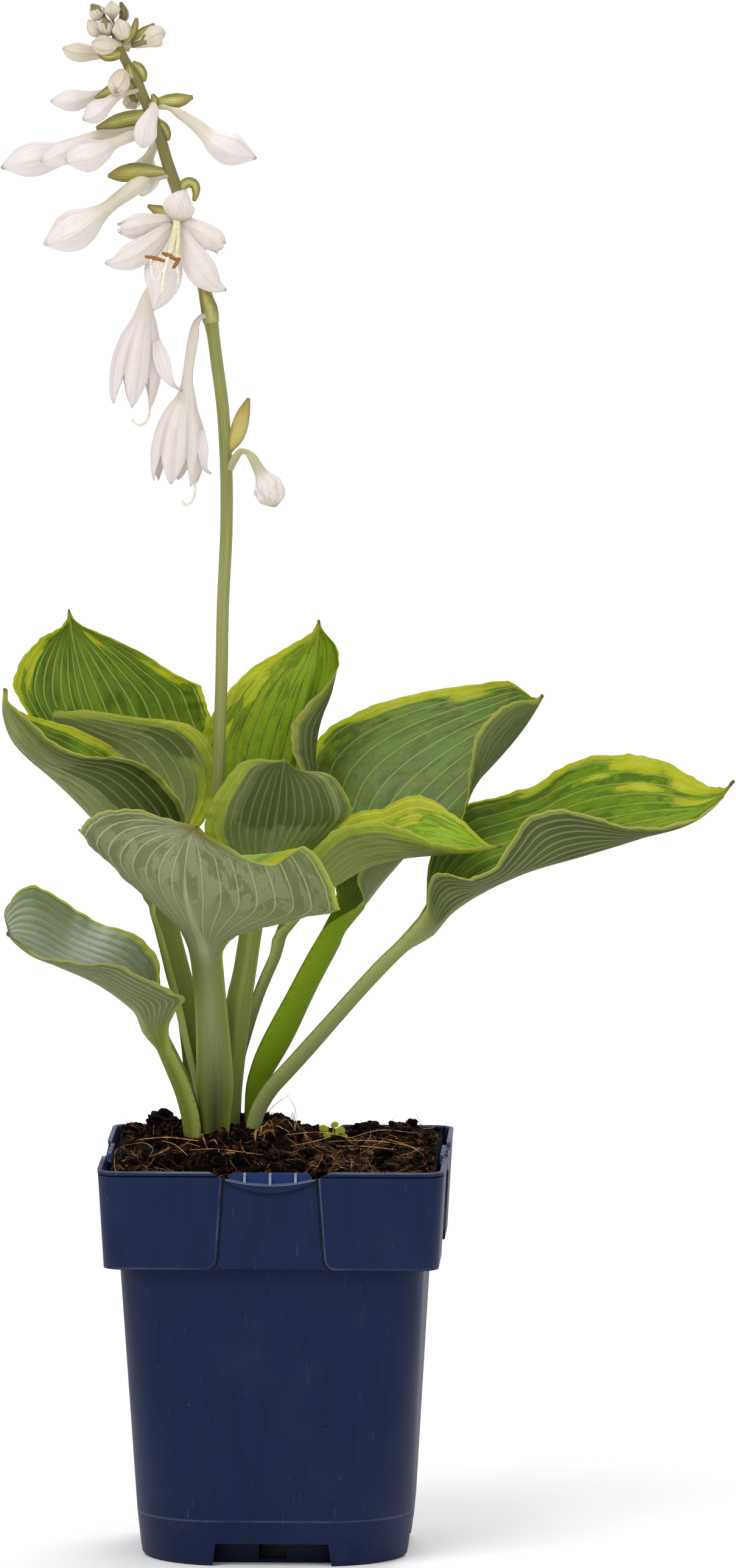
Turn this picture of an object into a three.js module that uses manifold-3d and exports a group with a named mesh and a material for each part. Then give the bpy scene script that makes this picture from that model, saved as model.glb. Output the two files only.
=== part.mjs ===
// A flowering plantain lily (hosta) in its square nursery pot.
// Millimetres, +Z up, the front of the plant towards -Y.
// The origin is the middle of the pot's base, on the ground.
import * as THREE from 'three';
import { mergeVertices } from 'three/addons/utils/BufferGeometryUtils.js';
import Module from 'manifold-3d';

const wasm = await Module();
wasm.setup();

// Driving dimensions of the pot: the body tapers from the collar down to the base, and the
// collar's corners carry plates that stand proud of a recessed panel in the middle of each side.
const POT_HEIGHT = 175;
const RIM = 150;
const LIP = 1.6;
const COLLAR_BOTTOM = 131.5;
const COLLAR_LOW = 145;
const PLATE_PROUD = 1;
const PLATE_CORNER = 5;
const BODY_TOP = 132;
const BODY_LOW = 120;
const BODY_LOW_Z = 20;
const BASE = 116.5;
const WALL = 1.6;
const FLOOR_UNDER = 10;
const FLOOR_TOP = 11.5;
const FOOT = 94;
const CUTOUT_LOW = 52;
const CUTOUT_HIGH = 49;
const PANEL_TOP = 41;
const PANEL_LOW = 47;
const CORNER_BASE = 39;
const CORNER_BODY = 15;
const CORNER_RIM = 9;
const POT_STEPS = 4;

// Label slot in the lip, tunnels under the floor and drain holes, on each side alike.
const SLOT_HALF = 19;
const SLOT_DEEP = 8.2;
const TONGUE_HALF = 22;
const RIB_PITCH = 11;
const RIB_HALF = 0.6;
const TUNNEL_HALF = 6;
const TUNNEL_LOW = 1.4;
const TUNNEL_HIGH = 9;
const DRAIN_RADIUS = 3;
const DRAIN_OFFSET = 18;
const DRAIN_OUT = 51.5;

// Driving dimensions of the soil: its level at the front, how much higher it lies at the back
// and inside, and the mound at the crown of the plant. Lumps are x, y, width, height.
const FIT = 0.3;
const SOIL_FRONT = 170;
const SOIL_TILT = 4;
const SOIL_FILL = 3;
const SOIL_HALF = 70;
const CROWN = { x: -18, y: 2, wide: 34, rise: 10.5 };
const LUMPS = [[-52, 20, 7, 6], [-44, 34, 8, 4], [8, 24, 11, 3], [30, -34, 10, 2],
  [-10, -42, 12, 2], [-40, -30, 9, 2.4], [50, 10, 10, 2], [-8, 14, 9, 4], [52, 52, 12, 3]];

// Driving dimensions of the plant.
const BLADE_EDGE = 0.7;
const MIDRIB = 2.6;
const PETAL = 0.8;
const BRACT = 0.9;
const STALK_SIDES = 8;
const BUD_SIDES = 8;
const ROOM_SIDES = 6;
const BELL_SIDES = 12;
const LEAF_FRACTIONS = [-1, -0.5, 0, 0.5, 1];

// The plant's outlines are given as they are seen from the front, from far off and a little
// above, at EYE: x and z where the sight line crosses the middle plane of the pot, and y, the
// true distance behind that plane (negative towards the viewer).
const EYE = new THREE.Vector3(282.3, -6946.5, 1163.8);
const AWAY = new THREE.Vector3(0, 1, 0);

function seen(x, z, y) {
  const q = new THREE.Vector3(x, 0, z);
  const back = q.clone().sub(EYE).multiplyScalar(-y / EYE.y);
  return q.add(back);
}

// Leaves. A petiole row is x, z, y, half width, depth. A blade row holds the left margin, the
// midrib and the right margin, x z y each, as someone at the foot of the leaf sees them when
// looking towards its tip. 'turn' is how far the channel of the petiole faces away from the
// front, and 'bow' is how far each half bulges to its underside.
const LEAVES = {
  leaf_front: {
    turn: 180, bow: [3, 3], color: 0x7f9a78,
    petiole: [
      [-27, 168, -11, 5.2, 6], [-27, 187, -12, 6.6, 7], [-27, 202, -13.5, 8, 7.5],
      [-27.6, 216, -15, 7.7, 7], [-28.8, 236, -17, 7, 6.5], [-30, 250, -19, 6.9, 6],
    ],
    blade: [
      [-23.3, 262, -22, -31, 261, -21.5, -38.7, 263, -22],
      [-18, 268.2, -27, -33, 268, -29, -43, 272.5, -28],
      [-5, 272.5, -31, -35.3, 274, -39, -55, 284, -33],
      [10, 276, -36, -37.4, 280, -50, -70, 298, -38],
      [24, 279, -43, -38.9, 286.5, -61, -83, 309.5, -46],
      [26.3, 285, -52, -39.6, 293, -71, -84.5, 316.5, -57],
      [21, 298, -63, -39.6, 299, -80, -76, 322.8, -69],
      [11.5, 309.3, -74, -39.2, 304.5, -88, -64, 323.6, -80],
      [-1, 298.3, -85, -38.2, 309, -95, -52, 321, -90],
      [-18, 305, -96, -36.6, 313, -101, -42, 318.3, -98],
    ],
    tip: [-34.5, 316.5, -107],
  },
  leaf_low_left: {
    turn: 90, bow: [2, 2], color: 0x6f9242,
    petiole: [
      [-37.2, 168, -9, 3.8, 6.5], [-37.2, 186, -10.5, 4.2, 8.2], [-40.7, 200, -12, 4.2, 8],
      [-44.8, 210, -14, 4.2, 7.8], [-49.5, 220, -17, 4.2, 7.4],
    ],
    blade: [
      [-46.9, 229, -24, -55, 228.5, -19.5, -50.5, 231, -13],
      [-43.5, 236, -32, -60, 235.5, -21, -51.3, 240, -4],
      [-39.3, 240.7, -38, -65.5, 240.5, -23, -50.8, 250, 4],
      [-48, 244.3, -42, -72, 245.2, -25, -54, 262, 10],
      [-58, 250, -45, -79, 249.3, -27, -63, 269.5, 14],
      [-70, 256, -47, -86.5, 252.7, -28, -76, 273.8, 16],
      [-84, 256.3, -47, -94, 255.6, -29, -88, 279, 16],
      [-97, 257.3, -44, -102, 259, -30, -102, 289.2, 10],
      [-107, 260.5, -38, -110, 263.5, -31, -114, 287, 0],
      [-113, 265.5, -34, -114.5, 266.7, -31.5, -118.2, 278, -14],
    ],
    tip: [-117.2, 269.7, -30],
  },
  leaf_centre: {
    turn: 180, bow: [2, 2], color: 0x82933c,
    petiole: [
      [-20.6, 168, 0, 3.8, 5], [-20.3, 190, 0, 4.2, 5.6], [-19, 210, -0.5, 4.7, 5.6],
      [-17.2, 230, -1.5, 5.3, 5.6], [-16.4, 240, -2, 5.6, 5.6], [-14.5, 250, -2, 5.1, 5.6],
      [-12.6, 262, -2.5, 4.9, 5.3], [-10.6, 275, -3, 4.9, 5],
    ],
    blade: [
      [-3.5, 288, -4, -8, 288, -5.5, -13, 288, -4],
      [3, 296, -4, -6, 296, -8, -17, 296, -4],
      [15, 305, -3, -3.3, 306.5, -11.5, -27, 307, -3],
      [24, 313, -1, -1.8, 313, -13.5, -31.5, 315, -2],
      [32.5, 321.5, 2, -0.6, 319.5, -15, -30.5, 322, -2],
      [29.5, 331, 2, 0.5, 326, -16, -27, 330.5, -2],
      [24, 338.8, 0, 1.4, 332, -16.5, -20, 339, -3],
      [16, 340.6, -4, 2.2, 337.5, -16.5, -14, 345.2, -5],
      [9, 341.2, -10, 3, 342.3, -16, -5, 345, -11],
    ],
    tip: [3.7, 346.5, -15],
  },
  leaf_left_front: {
    turn: 50, bow: [2.5, 2], color: 0x66851f,
    petiole: [
      [-31, 168, 1.5, 3.8, 6], [-31, 190, 1, 4.2, 6.6], [-32.7, 202, 0, 4.6, 7.2],
      [-35.5, 214, -2, 5, 7.8], [-38.2, 226, -3, 5.2, 8.2], [-41.2, 240, -4, 5.4, 8.6],
      [-44, 250, -5, 5.4, 8.8], [-46.5, 260, -6, 5.4, 8.4], [-49, 270, -7, 5.4, 8.2],
      [-52.5, 282, -9, 5.4, 7.8],
    ],
    blade: [
      [-49, 291, -15, -56, 291, -10, -53, 294, -5],
      [-43, 301, -22, -61, 299, -13, -50, 305, -1],
      [-39, 314, -28, -67.5, 307.5, -16, -50, 318, 1],
      [-41, 326, -32, -74, 315.3, -19, -54, 331, 2],
      [-50, 337, -34, -81.5, 323.5, -22, -62, 343, 1],
      [-62, 345.5, -36, -90, 332, -25, -73, 351, -2],
      [-78, 346.6, -38, -99, 340, -28, -86, 358.5, -7],
      [-92, 348.8, -39, -107.5, 346.8, -31, -98, 362.3, -14],
      [-103, 358.5, -39, -114.5, 354.5, -34, -108, 364, -22],
      [-112.5, 367.5, -38, -118, 364, -36, -115, 369, -30],
    ],
    tip: [-118, 376.3, -38],
  },
  leaf_left_middle: {
    turn: 60, bow: [2.5, 2], color: 0x7d9130,
    petiole: [
      [-33, 168, 12.5, 3.2, 4.4], [-33, 195, 12, 3.6, 4.6], [-36, 212, 11, 3.6, 4.8],
      [-40, 232, 10, 3.7, 5], [-43.5, 250, 9.5, 3.8, 5], [-47, 268, 9, 3.8, 5],
      [-50, 284, 9, 3.8, 5],
    ],
    blade: [
      [-47, 301, 9, -52, 302, 9, -52, 305, 13],
      [-37, 312, 12, -55, 311, 10, -50, 316, 17],
      [-28, 324, 16, -59, 319.5, 11, -50, 327, 22],
      [-23.8, 336, 17.5, -63.5, 327.5, 12, -52, 338, 25],
      [-25.5, 346, 17.5, -68.5, 335, 12, -57, 347, 26],
      [-32, 356.5, 16, -74, 342, 12, -64, 354, 25],
      [-41, 361.7, 13, -80, 348.5, 11, -72, 359, 23],
      [-56, 363.3, 9, -86.5, 354.3, 9, -81, 362.5, 18],
      [-72, 365.8, 6, -92.5, 358.8, 7, -89.5, 364.5, 13],
      [-86, 366.8, 4, -96.8, 362.5, 5, -95, 366.3, 8],
    ],
    tip: [-95.2, 367.8, 4],
  },
  leaf_left_back: {
    turn: 0, bow: [2.5, 2.5], color: 0x3f7030,
    petiole: [
      [-36.5, 168, 20.5, 3.2, 4.4], [-36.5, 200, 21, 3.6, 5], [-38.5, 225, 22, 3.7, 5],
      [-42.5, 250, 23.5, 3.8, 5], [-47.2, 272, 25, 3.8, 5], [-52, 292, 27, 3.8, 5],
    ],
    blade: [
      [-60, 304, 31, -56, 305, 31, -51, 304, 31],
      [-70, 316, 30, -59, 315, 33, -42, 312, 33],
      [-82, 330, 30, -63, 325, 36, -32, 323, 35],
      [-94, 345, 30, -67.5, 336, 38.5, -26, 338, 37],
      [-103, 358, 30, -72, 347, 40, -25.5, 354, 39],
      [-112, 371, 29, -76.5, 358, 41, -30, 367, 40],
      [-114.8, 379, 29, -81, 369, 41, -34, 377, 40],
      [-110, 390, 31, -84.5, 380, 40, -46, 384, 40],
      [-102.5, 398.3, 32, -87, 390, 38, -62, 394, 38],
      [-95.5, 402, 33, -89, 400, 36, -78, 400.7, 36],
    ],
    tip: [-90.3, 410.8, 33],
  },
  leaf_back: {
    turn: 0, bow: [3, 9.5], color: 0x74962b,
    petiole: [
      [-21.5, 168, 18, 3.2, 4.4], [-20.7, 200, 18, 3.6, 5], [-18.5, 222, 19, 3.7, 5],
      [-15.5, 243, 20, 3.8, 5], [-13, 258, 21, 3.8, 5], [-10.5, 274, 22.5, 3.8, 5],
    ],
    blade: [
      [-12, 289, 25, -8, 289, 25.5, -3.5, 289, 24],
      [-18, 302, 25, -4, 301, 27, 2, 302, 21],
      [-27, 320, 24, 0.5, 317, 30, 8, 320, 16],
      [-32, 335, 22.5, 3.5, 329, 32, 10, 333, 14],
      [-34, 348, 22, 6.2, 341, 33, 9, 343, 14],
      [-31.5, 358.5, 22.5, 8.8, 352.5, 34, 6, 354, 15],
      [-25, 370, 24, 11.4, 364, 34, 8.5, 365.5, 18],
      [-15, 382, 28, 14, 375, 33, 17, 373.3, 22],
      [-1, 391.5, 30, 16.2, 386, 32, 27, 384.5, 26],
      [11, 398.7, 30, 17.6, 396.5, 31, 25.5, 396, 28],
    ],
    tip: [18.3, 406.5, 29],
  },
  leaf_right_tall: {
    turn: -90, bow: [3, 2.5], color: 0x568a2c,
    petiole: [
      [-10.3, 168, 6.5, 4, 6.4], [-10.3, 190, 6.5, 4.4, 7.4], [-8.6, 204, 6.5, 5, 9],
      [-4.8, 213, 6.5, 5.5, 11], [-1.2, 220, 7, 5.8, 11.8], [4, 230, 8, 6, 11.8],
      [9, 240, 9, 6, 11], [14, 250, 10, 6, 10.6], [19.4, 260, 11, 6, 10.4], [25, 270, 12, 6, 10],
    ],
    blade: [
      [26, 287, 20, 33.5, 281, 14, 37.8, 284, 8],
      [21, 302, 30, 43, 291, 15, 34, 295, 3],
      [15, 320, 40, 51, 300, 17, 45, 305, 3],
      [12.8, 336, 46, 60, 309.5, 19, 64, 311, 5],
      [14.5, 350, 50, 70, 319.5, 21, 80.5, 319.5, 8],
      [24, 360.5, 54, 79.5, 329.5, 23, 83, 331, 9],
      [40, 368.8, 56, 88.5, 339, 24, 83.7, 343, 9],
      [60, 374.5, 55, 97, 348.5, 25, 87, 357, 12],
      [82, 378.4, 50, 104.5, 357.5, 25, 95.5, 367.3, 16],
      [101, 380.8, 38, 110.5, 366, 24, 106, 372.6, 20],
    ],
    tip: [115.5, 374.3, 23],
  },
  leaf_right_middle: {
    turn: -90, bow: [2, 2.5], color: 0x8c9c3d,
    petiole: [
      [-17.8, 168, 9.8, 3, 4.2], [-17.5, 200, 9.6, 3.2, 4.6], [-16.1, 215, 9.4, 3.4, 4.8],
      [-13.4, 225, 9, 3.5, 4.9], [-10.4, 235, 8, 3.5, 4.9], [-6.9, 245, 7.2, 3.5, 5],
      [-4.4, 251, 6.6, 3.5, 5], [-0.5, 260, 5.6, 3.5, 5], [2.3, 270, 4.4, 3.6, 5.4],
    ],
    blade: [
      [4.5, 279, 7, 5.5, 277, 3, 9.5, 278.5, -2],
      [8, 290, 12, 11, 282.5, 3, 10, 286, -9],
      [16, 303, 17, 20, 289, 1, 13, 297, -16],
      [26, 316, 20, 29, 294.6, -1, 17, 307.5, -20],
      [37, 323.5, 22, 38.5, 300, -3, 27, 316, -22],
      [48, 325.2, 22, 49, 303, -5, 40, 318.4, -24],
      [60, 330.7, 20, 60, 304.6, -8, 54, 315.7, -25],
      [72, 326, 14, 71, 305.2, -11, 67, 310.8, -24],
      [83, 317.5, 4, 83, 306, -14, 80, 307.2, -21],
    ],
    tip: [97.6, 308.3, -17],
  },
  leaf_right_far: {
    turn: -90, bow: [2.5, 3], color: 0x5d8a32,
    petiole: [
      [-9.5, 168, -4, 3.6, 6], [-9.2, 189, -4.5, 3.7, 6.8], [-3.4, 200, -5, 3.7, 6.8],
      [5.5, 210, -6, 3.7, 6.8], [14.4, 220, -7, 3.7, 6.8], [23.2, 230, -8, 3.7, 6.5],
      [34.6, 243, -9, 3.7, 6.3], [46.6, 256, -10, 3.8, 6.3], [55.8, 265, -10, 3.9, 6.4],
    ],
    blade: [
      [65, 282.5, -4, 65.5, 272.5, -10, 65, 280.5, -15],
      [65, 295, 14, 74, 279.7, -9, 65.8, 292.5, -24],
      [68, 310, 28, 82, 285.7, -8, 70, 297.5, -30],
      [78, 324, 36, 92, 291, -7, 80, 293.3, -32],
      [95, 329.3, 40, 103, 296.3, -6, 91.5, 296.7, -31],
      [112, 334.8, 41, 115, 300.5, -6, 101.5, 308, -28],
      [126, 344, 40, 127, 303.8, -6, 109, 321.7, -24],
      [142, 348.4, 36, 140, 307.5, -7, 125, 324.5, -22],
      [158, 348.3, 28, 153, 311.3, -8, 143, 319.2, -20],
      [173, 343.5, 18, 167, 315.8, -9, 161, 316.4, -18],
      [186, 335.5, 5, 181, 321.5, -10, 180, 319.5, -15],
      [193, 334, -4, 190.5, 328.5, -10, 190.5, 327, -13],
    ],
    tip: [198.6, 337.2, -10],
  },
};

// The flower stalk: x, z, y, radius.
const STALK = [
  [-26, 168, 10, 2.9], [-26.5, 220, 10, 2.9], [-26.5, 300, 9, 2.8], [-25.4, 340, 8.5, 2.7],
  [-24, 380, 8, 2.7], [-23.4, 410, 7.5, 2.7], [-21.7, 450, 7, 2.75], [-21.7, 467, 7, 2.75],
  [-22.1, 480, 6.5, 2.75], [-23.4, 500, 6, 2.75], [-26, 520, 5.5, 2.75], [-27.3, 530, 5, 2.8],
  [-29, 540, 5, 3.4], [-31.3, 551, 4.5, 2.9], [-36.8, 573, 3.5, 2.7], [-40, 584, 3, 2.7],
  [-43.5, 595, 2.5, 2.65], [-47, 605, 2, 2.6], [-50.3, 616, 2, 2.6], [-53, 624, 1.5, 2.5],
  [-55.8, 630, 1.2, 2.4], [-58, 635, 1, 2.4], [-60, 640, 1, 2.4], [-62.7, 645, 0.5, 2.3],
  [-66, 651, 0, 2], [-68, 656.5, 0, 1.9], [-70, 662, 0, 1.7], [-71.4, 667, 0, 1.2],
];

// Bracts of the stalk: x, z, y, half width, from the foot to the tip.
const BRACTS = [
  [[-45.5, 600.6, 2, 1.5], [-53, 601.5, 1, 2.6], [-61, 601.2, 1, 4],
    [-68, 600.3, 1, 3], [-73, 599.6, 0, 0.6]],
  [[-53.5, 626.5, 1, 2], [-60, 625.2, 0, 3], [-66, 623.6, 0, 3.6],
    [-72, 621.8, 0, 2.8], [-78, 620.3, 0, 0.6]],
  [[-60, 638.8, 1, 1.8], [-66, 638.2, 0, 2.4], [-72, 636.4, -1, 2.4],
    [-78.3, 633.3, -1, 0.6]],
  [[-66.5, 653.5, 0, 1.8], [-70, 652.2, -3, 2.4], [-74, 651.9, -4, 2.2],
    [-77.6, 654, -5, 0.6]],
  [[-62.5, 648.5, 1, 1.2], [-59.8, 646.8, 1, 2], [-57.8, 644, 1, 1.8],
    [-57, 640.5, 1, 0.5]],
  [[-62.8, 642, -0.5, 1.8], [-63.6, 645, -2, 2.6], [-64.2, 648.4, -2.4, 0.6]],
  [[-66.2, 654.5, 0, 2.4], [-63.8, 659, -0.5, 2.2], [-61.4, 663.4, -1, 1.6],
    [-60.3, 668.2, -1, 0.5]],
  [[-63.5, 658.2, 0, 1.4], [-57.4, 662.6, 2, 1.4], [-52.6, 665.6, 2, 0.5]],
  [[-54, 630.5, 1, 1.2], [-47.5, 632, 3.2, 2.7], [-41.5, 632.6, 3.6, 2.8],
    [-36, 634, 3, 0.6]],
  [[-55, 629, 0, 1.4], [-52.6, 632, -1, 1.8], [-53.6, 635.3, -1, 0.5]],
  [[-52.5, 624, 1.5, 1.3], [-48.8, 621, 1.5, 1.8], [-47.2, 618, 1.5, 1.5],
    [-46.7, 615, 1.5, 0.5]],
  [[-42, 594, 2, 1.8], [-38, 597, 1, 2.1], [-35.5, 596, 0, 1.9],
    [-34.8, 592.5, 0, 1.5], [-35.7, 588.8, 0, 0.5]],
  [[-40, 582, 2, 2], [-47, 583.6, -1, 2.5], [-52, 585, -2, 2],
    [-55.8, 586.9, -2, 0.5]],
  [[-28.3, 536, 2.2, 3.4], [-29.4, 543, 1.4, 3.4], [-32.6, 551.4, 1, 0.8]],
  [[-20.6, 480.5, 6, 1.6], [-17.2, 487, 4, 3.2], [-14.8, 495, 3, 3],
    [-12, 503.3, 3, 0.6]],
];

// Buds, each with its own pedicel: x, z, y, radius, from inside the stalk to the tip.
const BUDS = {
  bud_01: [[-51.8, 620.5, 2.5, 1], [-62, 618.5, 8, 1.2], [-75, 617, 11, 2], [-85, 612.5, 12, 2.6],
    [-90, 610.5, 12, 4.4], [-96.5, 608.6, 12, 6.2], [-104, 607, 12, 7.7], [-111, 605.4, 12, 6.4],
    [-116, 604, 12, 3], [-119.3, 603, 12, 0.5]],
  bud_02: [[-53.5, 622.2, 0.5, 0.9], [-62, 620.2, -0.5, 1.1], [-70, 618.3, -1.5, 1.8],
    [-76, 617.4, -2, 2.4], [-82, 614.8, -1, 3.3], [-88, 611.3, -0.5, 5.1], [-94.5, 608.6, -0.5, 5.2],
    [-99, 606.8, -0.5, 3.2], [-102.2, 605.5, -0.5, 0.5]],
  bud_03: [[-51.8, 618.5, 1, 0.9], [-57.5, 618, -2.5, 1.2], [-62, 617.2, -6, 2.5],
    [-66.5, 615.4, -8.5, 2.4], [-71, 613.3, -10.5, 2.7], [-75.5, 610.7, -12.5, 5],
    [-80.5, 609, -13.5, 7.2], [-85, 608, -13.5, 6.7], [-89, 606.6, -13.5, 3.8],
    [-91.2, 605.6, -13.5, 0.9]],
  bud_04: [[-46, 600, 1.5, 1], [-51, 598.6, -1, 1], [-55.5, 598, -4, 1.1], [-57.3, 597.3, -5, 2.6],
    [-60.2, 595.6, -5.5, 3.5], [-64, 592.8, -5.5, 3.5], [-69, 589.2, -5.5, 3.1],
    [-74, 585.2, -5.5, 3.3], [-78.3, 582, -5.5, 5], [-82.5, 579, -5.5, 7.4],
    [-87.6, 576, -5.5, 8.7], [-92.5, 573.4, -5.5, 7.5], [-97, 571.4, -5.5, 4.2],
    [-101, 569.9, -5.5, 0.5]],
  bud_05: [[-54.2, 628.9, 1.6, 0.9], [-50, 629.6, 1, 1.2], [-45.5, 628.6, -1.5, 1.1],
    [-43.4, 627.6, -2, 1.9], [-39, 624.8, -2, 2.4], [-34, 621.3, -2, 3], [-30, 617.6, -2, 3.6],
    [-25.8, 614.3, -2, 5.6], [-20.5, 611.7, -2, 7.1], [-15.5, 609.7, -2, 5.5],
    [-11.5, 608.4, -2, 2.8], [-8.5, 607.4, -2, 0.5]],
  bud_06: [[-54.8, 630, 0, 1], [-53.3, 630.8, -4.5, 1.1], [-53.2, 628.4, -7, 2.4],
    [-54.8, 624.5, -9, 3.6], [-56.3, 620.5, -10.5, 4.9], [-57, 616.5, -11, 4.9],
    [-57.5, 613.3, -11, 3], [-57.6, 611.8, -11, 0.8]],
  bud_07: [[-58.8, 637, 1.5, 0.9], [-66, 636.6, 5, 1], [-72, 636, 6, 1.6], [-78, 634.8, 6, 2],
    [-82, 633.5, 6, 3.6], [-87, 632.6, 6, 4.9], [-92, 632.2, 6, 4.2], [-95.5, 632, 6, 2.2],
    [-97.7, 632, 6, 0.5]],
  bud_08: [[-59.2, 637, 0, 0.9], [-65, 635.6, -4.5, 1.2], [-69.5, 633.8, -7, 2.1],
    [-73, 631, -8, 2.9], [-76.5, 628.6, -8.5, 4.5], [-79.7, 626.2, -9, 4.3],
    [-82, 624.8, -9, 2.6], [-83.7, 624, -9, 0.6]],
  bud_09: [[-61.6, 642.5, 0, 0.8], [-65, 643.6, -4, 1], [-66.6, 643.4, -6.5, 2.4],
    [-67.5, 641.8, -8.5, 3.3], [-68.2, 639.6, -10.5, 3.7], [-68.9, 637.5, -12.5, 3],
    [-69.3, 636.4, -14.5, 0.9]],
  bud_10: [[-66.3, 652.3, 0.8, 0.9], [-72, 652.2, 4.5, 1.1], [-77, 652.4, 6, 1.9],
    [-81, 652.9, 6, 2.9], [-85.5, 653.3, 6, 3.4], [-89.5, 653.9, 6, 2.6], [-92.4, 655.2, 6, 0.5]],
  bud_11: [[-67.5, 656.5, -0.5, 0.9], [-69.3, 657, -4.5, 1.3], [-72, 656.4, -7.5, 2.7],
    [-75.4, 656.5, -8.5, 3.3], [-78, 656.9, -8.5, 2.4], [-79.9, 657.4, -8.5, 0.5]],
  bud_12: [[-67, 656.2, 0.3, 0.8], [-62.5, 656.4, -1.5, 1.1], [-59, 657, -3, 1.7],
    [-55.5, 658.7, -3.5, 3], [-52, 660.3, -3.5, 4], [-49.6, 661.2, -3.5, 2.8],
    [-48, 661, -3.5, 0.8]],
  bud_13: [[-69.5, 660.2, -0.4, 0.7], [-67.8, 660.2, -4, 1.6], [-67, 662, -5.5, 3.2],
    [-67.3, 664.5, -6, 3.2], [-68, 666.5, -6, 1.6], [-68.3, 667.8, -6, 0.4]],
  bud_14: [[-71, 664, -0.4, 0.6], [-72.8, 662.6, -4.4, 1.5], [-73.6, 664, -5.8, 2.5],
    [-73.9, 666.3, -6, 2.3], [-74.1, 668.2, -6, 0.7]],
  bud_15: [[-70, 661.5, 0.8, 0.6], [-75, 661.6, -0.5, 1.6], [-78.2, 663, -1.5, 2.7],
    [-79.8, 665, -1.5, 2.2], [-81.3, 667.2, -1.5, 0.5]],
  bud_16: [[-71.4, 665.6, 0.6, 0.6], [-75, 668.1, 0.8, 1.4], [-77.2, 670.2, 0, 3],
    [-78.6, 672.2, 0, 2.4], [-80.1, 674.2, 0, 0.5]],
  bud_17: [[-70.9, 667.4, -0.4, 0.6], [-70.8, 669.4, -1.2, 1.9], [-71, 671.4, -1.4, 3],
    [-71.2, 673.6, -1.4, 2], [-71.2, 675.5, -1.4, 0.5]],
  bud_18: [[-70.6, 663.6, 0.6, 0.7], [-66.9, 666.6, 3, 1.4], [-65.8, 669.4, 3.4, 1.8],
    [-66.5, 672.5, 3.4, 1.4], [-67.7, 674.9, 3.4, 0.4]],
  bud_19: [[-58.3, 635.5, 1.8, 0.8], [-60.2, 634, 7, 1.4], [-62.2, 632.4, 10, 2.9],
    [-63, 630.8, 11.5, 2.8], [-62.9, 629.3, 12.5, 0.9]],
  bud_20: [[-50.1, 616.3, 2.8, 0.9], [-52, 614.4, 7, 1.5], [-53.6, 611, 9.5, 2],
    [-55.3, 607.5, 11, 2.6], [-56.6, 604, 12, 5], [-57.3, 600, 12, 7], [-57.6, 596, 12, 6.1],
    [-58, 592.6, 12, 3.2], [-58.4, 590.8, 12, 0.6]],
  withered_flower: [[-20.4, 472.5, 6, 1.8], [-17.6, 477.5, 3, 1.7], [-15.4, 480, 1.5, 1.4],
    [-13, 479.9, 0.5, 1.2], [-11, 478, 0, 1.9], [-8.6, 474, 0, 2.4], [-6.6, 470.3, 0, 3.1],
    [-4.6, 466.8, 0, 5.2], [-2.7, 462.6, 0, 6.3], [-1.4, 459, 0, 5], [-0.7, 457, 0, 2.6],
    [-0.3, 456, 0, 0.7]],
};

// Half-closed hanging flowers: the bell's axis and radius, the length of its lobes, the curled
// petal that stands off it, and the style.
const BELLS = {
  flower_left: {
    rows: [[-37.6, 576, 3, 1.2], [-43, 567, 4.5, 1.4], [-49, 558, 3, 2], [-53.5, 551, 1, 2.6],
      [-56, 546, 0, 3], [-57, 541.5, -1, 3.9], [-57.6, 536, -1, 6], [-59, 528, -1, 9.2],
      [-60.2, 520, -1, 11], [-61.4, 512, -1, 11.3], [-62.3, 506, -1, 10.5]],
    lobe: 7,
    curl: [[-52, 528, -7, 2], [-49.5, 519, -9, 3.6], [-47.2, 512.5, -10.5, 2.6],
      [-44.4, 508.6, -11.5, 1.2], [-40.8, 506.2, -12, 0.5]],
    style: [[-56.8, 510, -1, 0.6], [-55.2, 503, -1, 0.6], [-55, 497.8, -1, 0.6],
      [-56.3, 493.3, -1, 0.6], [-59.2, 491.1, -1, 0.6], [-61.5, 492.1, -1, 0.6],
      [-62.8, 493.7, -1, 0.9]],
  },
  flower_lower: {
    rows: [[-29.6, 539, 4.6, 1.1], [-32.8, 538.4, 0, 1.2], [-34.8, 535.6, -2, 1.6],
      [-35.7, 531, -2.5, 2.3], [-36.6, 526, -3, 2.3], [-37.6, 520, -3, 2.3],
      [-38.4, 514, -3, 2.3], [-38.8, 509, -3, 2.8], [-39.2, 503.5, -3, 4.4],
      [-40.7, 497, -3, 7.6], [-41.6, 491, -3, 10], [-42.1, 485, -3, 11.4],
      [-42.8, 478, -3, 11.9], [-43.6, 471.5, -3, 11]],
    lobe: 6,
    curl: [[-33, 489, -8, 2], [-31.8, 480, -10.5, 2.4], [-31.4, 475, -11.5, 1.6],
      [-30.4, 471.6, -12, 0.9], [-28.2, 470.4, -12, 0.5]],
    style: [[-37.5, 476, -3, 0.6], [-35.7, 468.9, -3, 0.6], [-35.3, 464.4, -3, 0.6],
      [-35.8, 459.9, -3, 0.6], [-37.4, 457.4, -3, 0.6], [-39.6, 456.7, -3, 0.6],
      [-41.1, 458.2, -3, 0.9]],
  },
};

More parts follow.
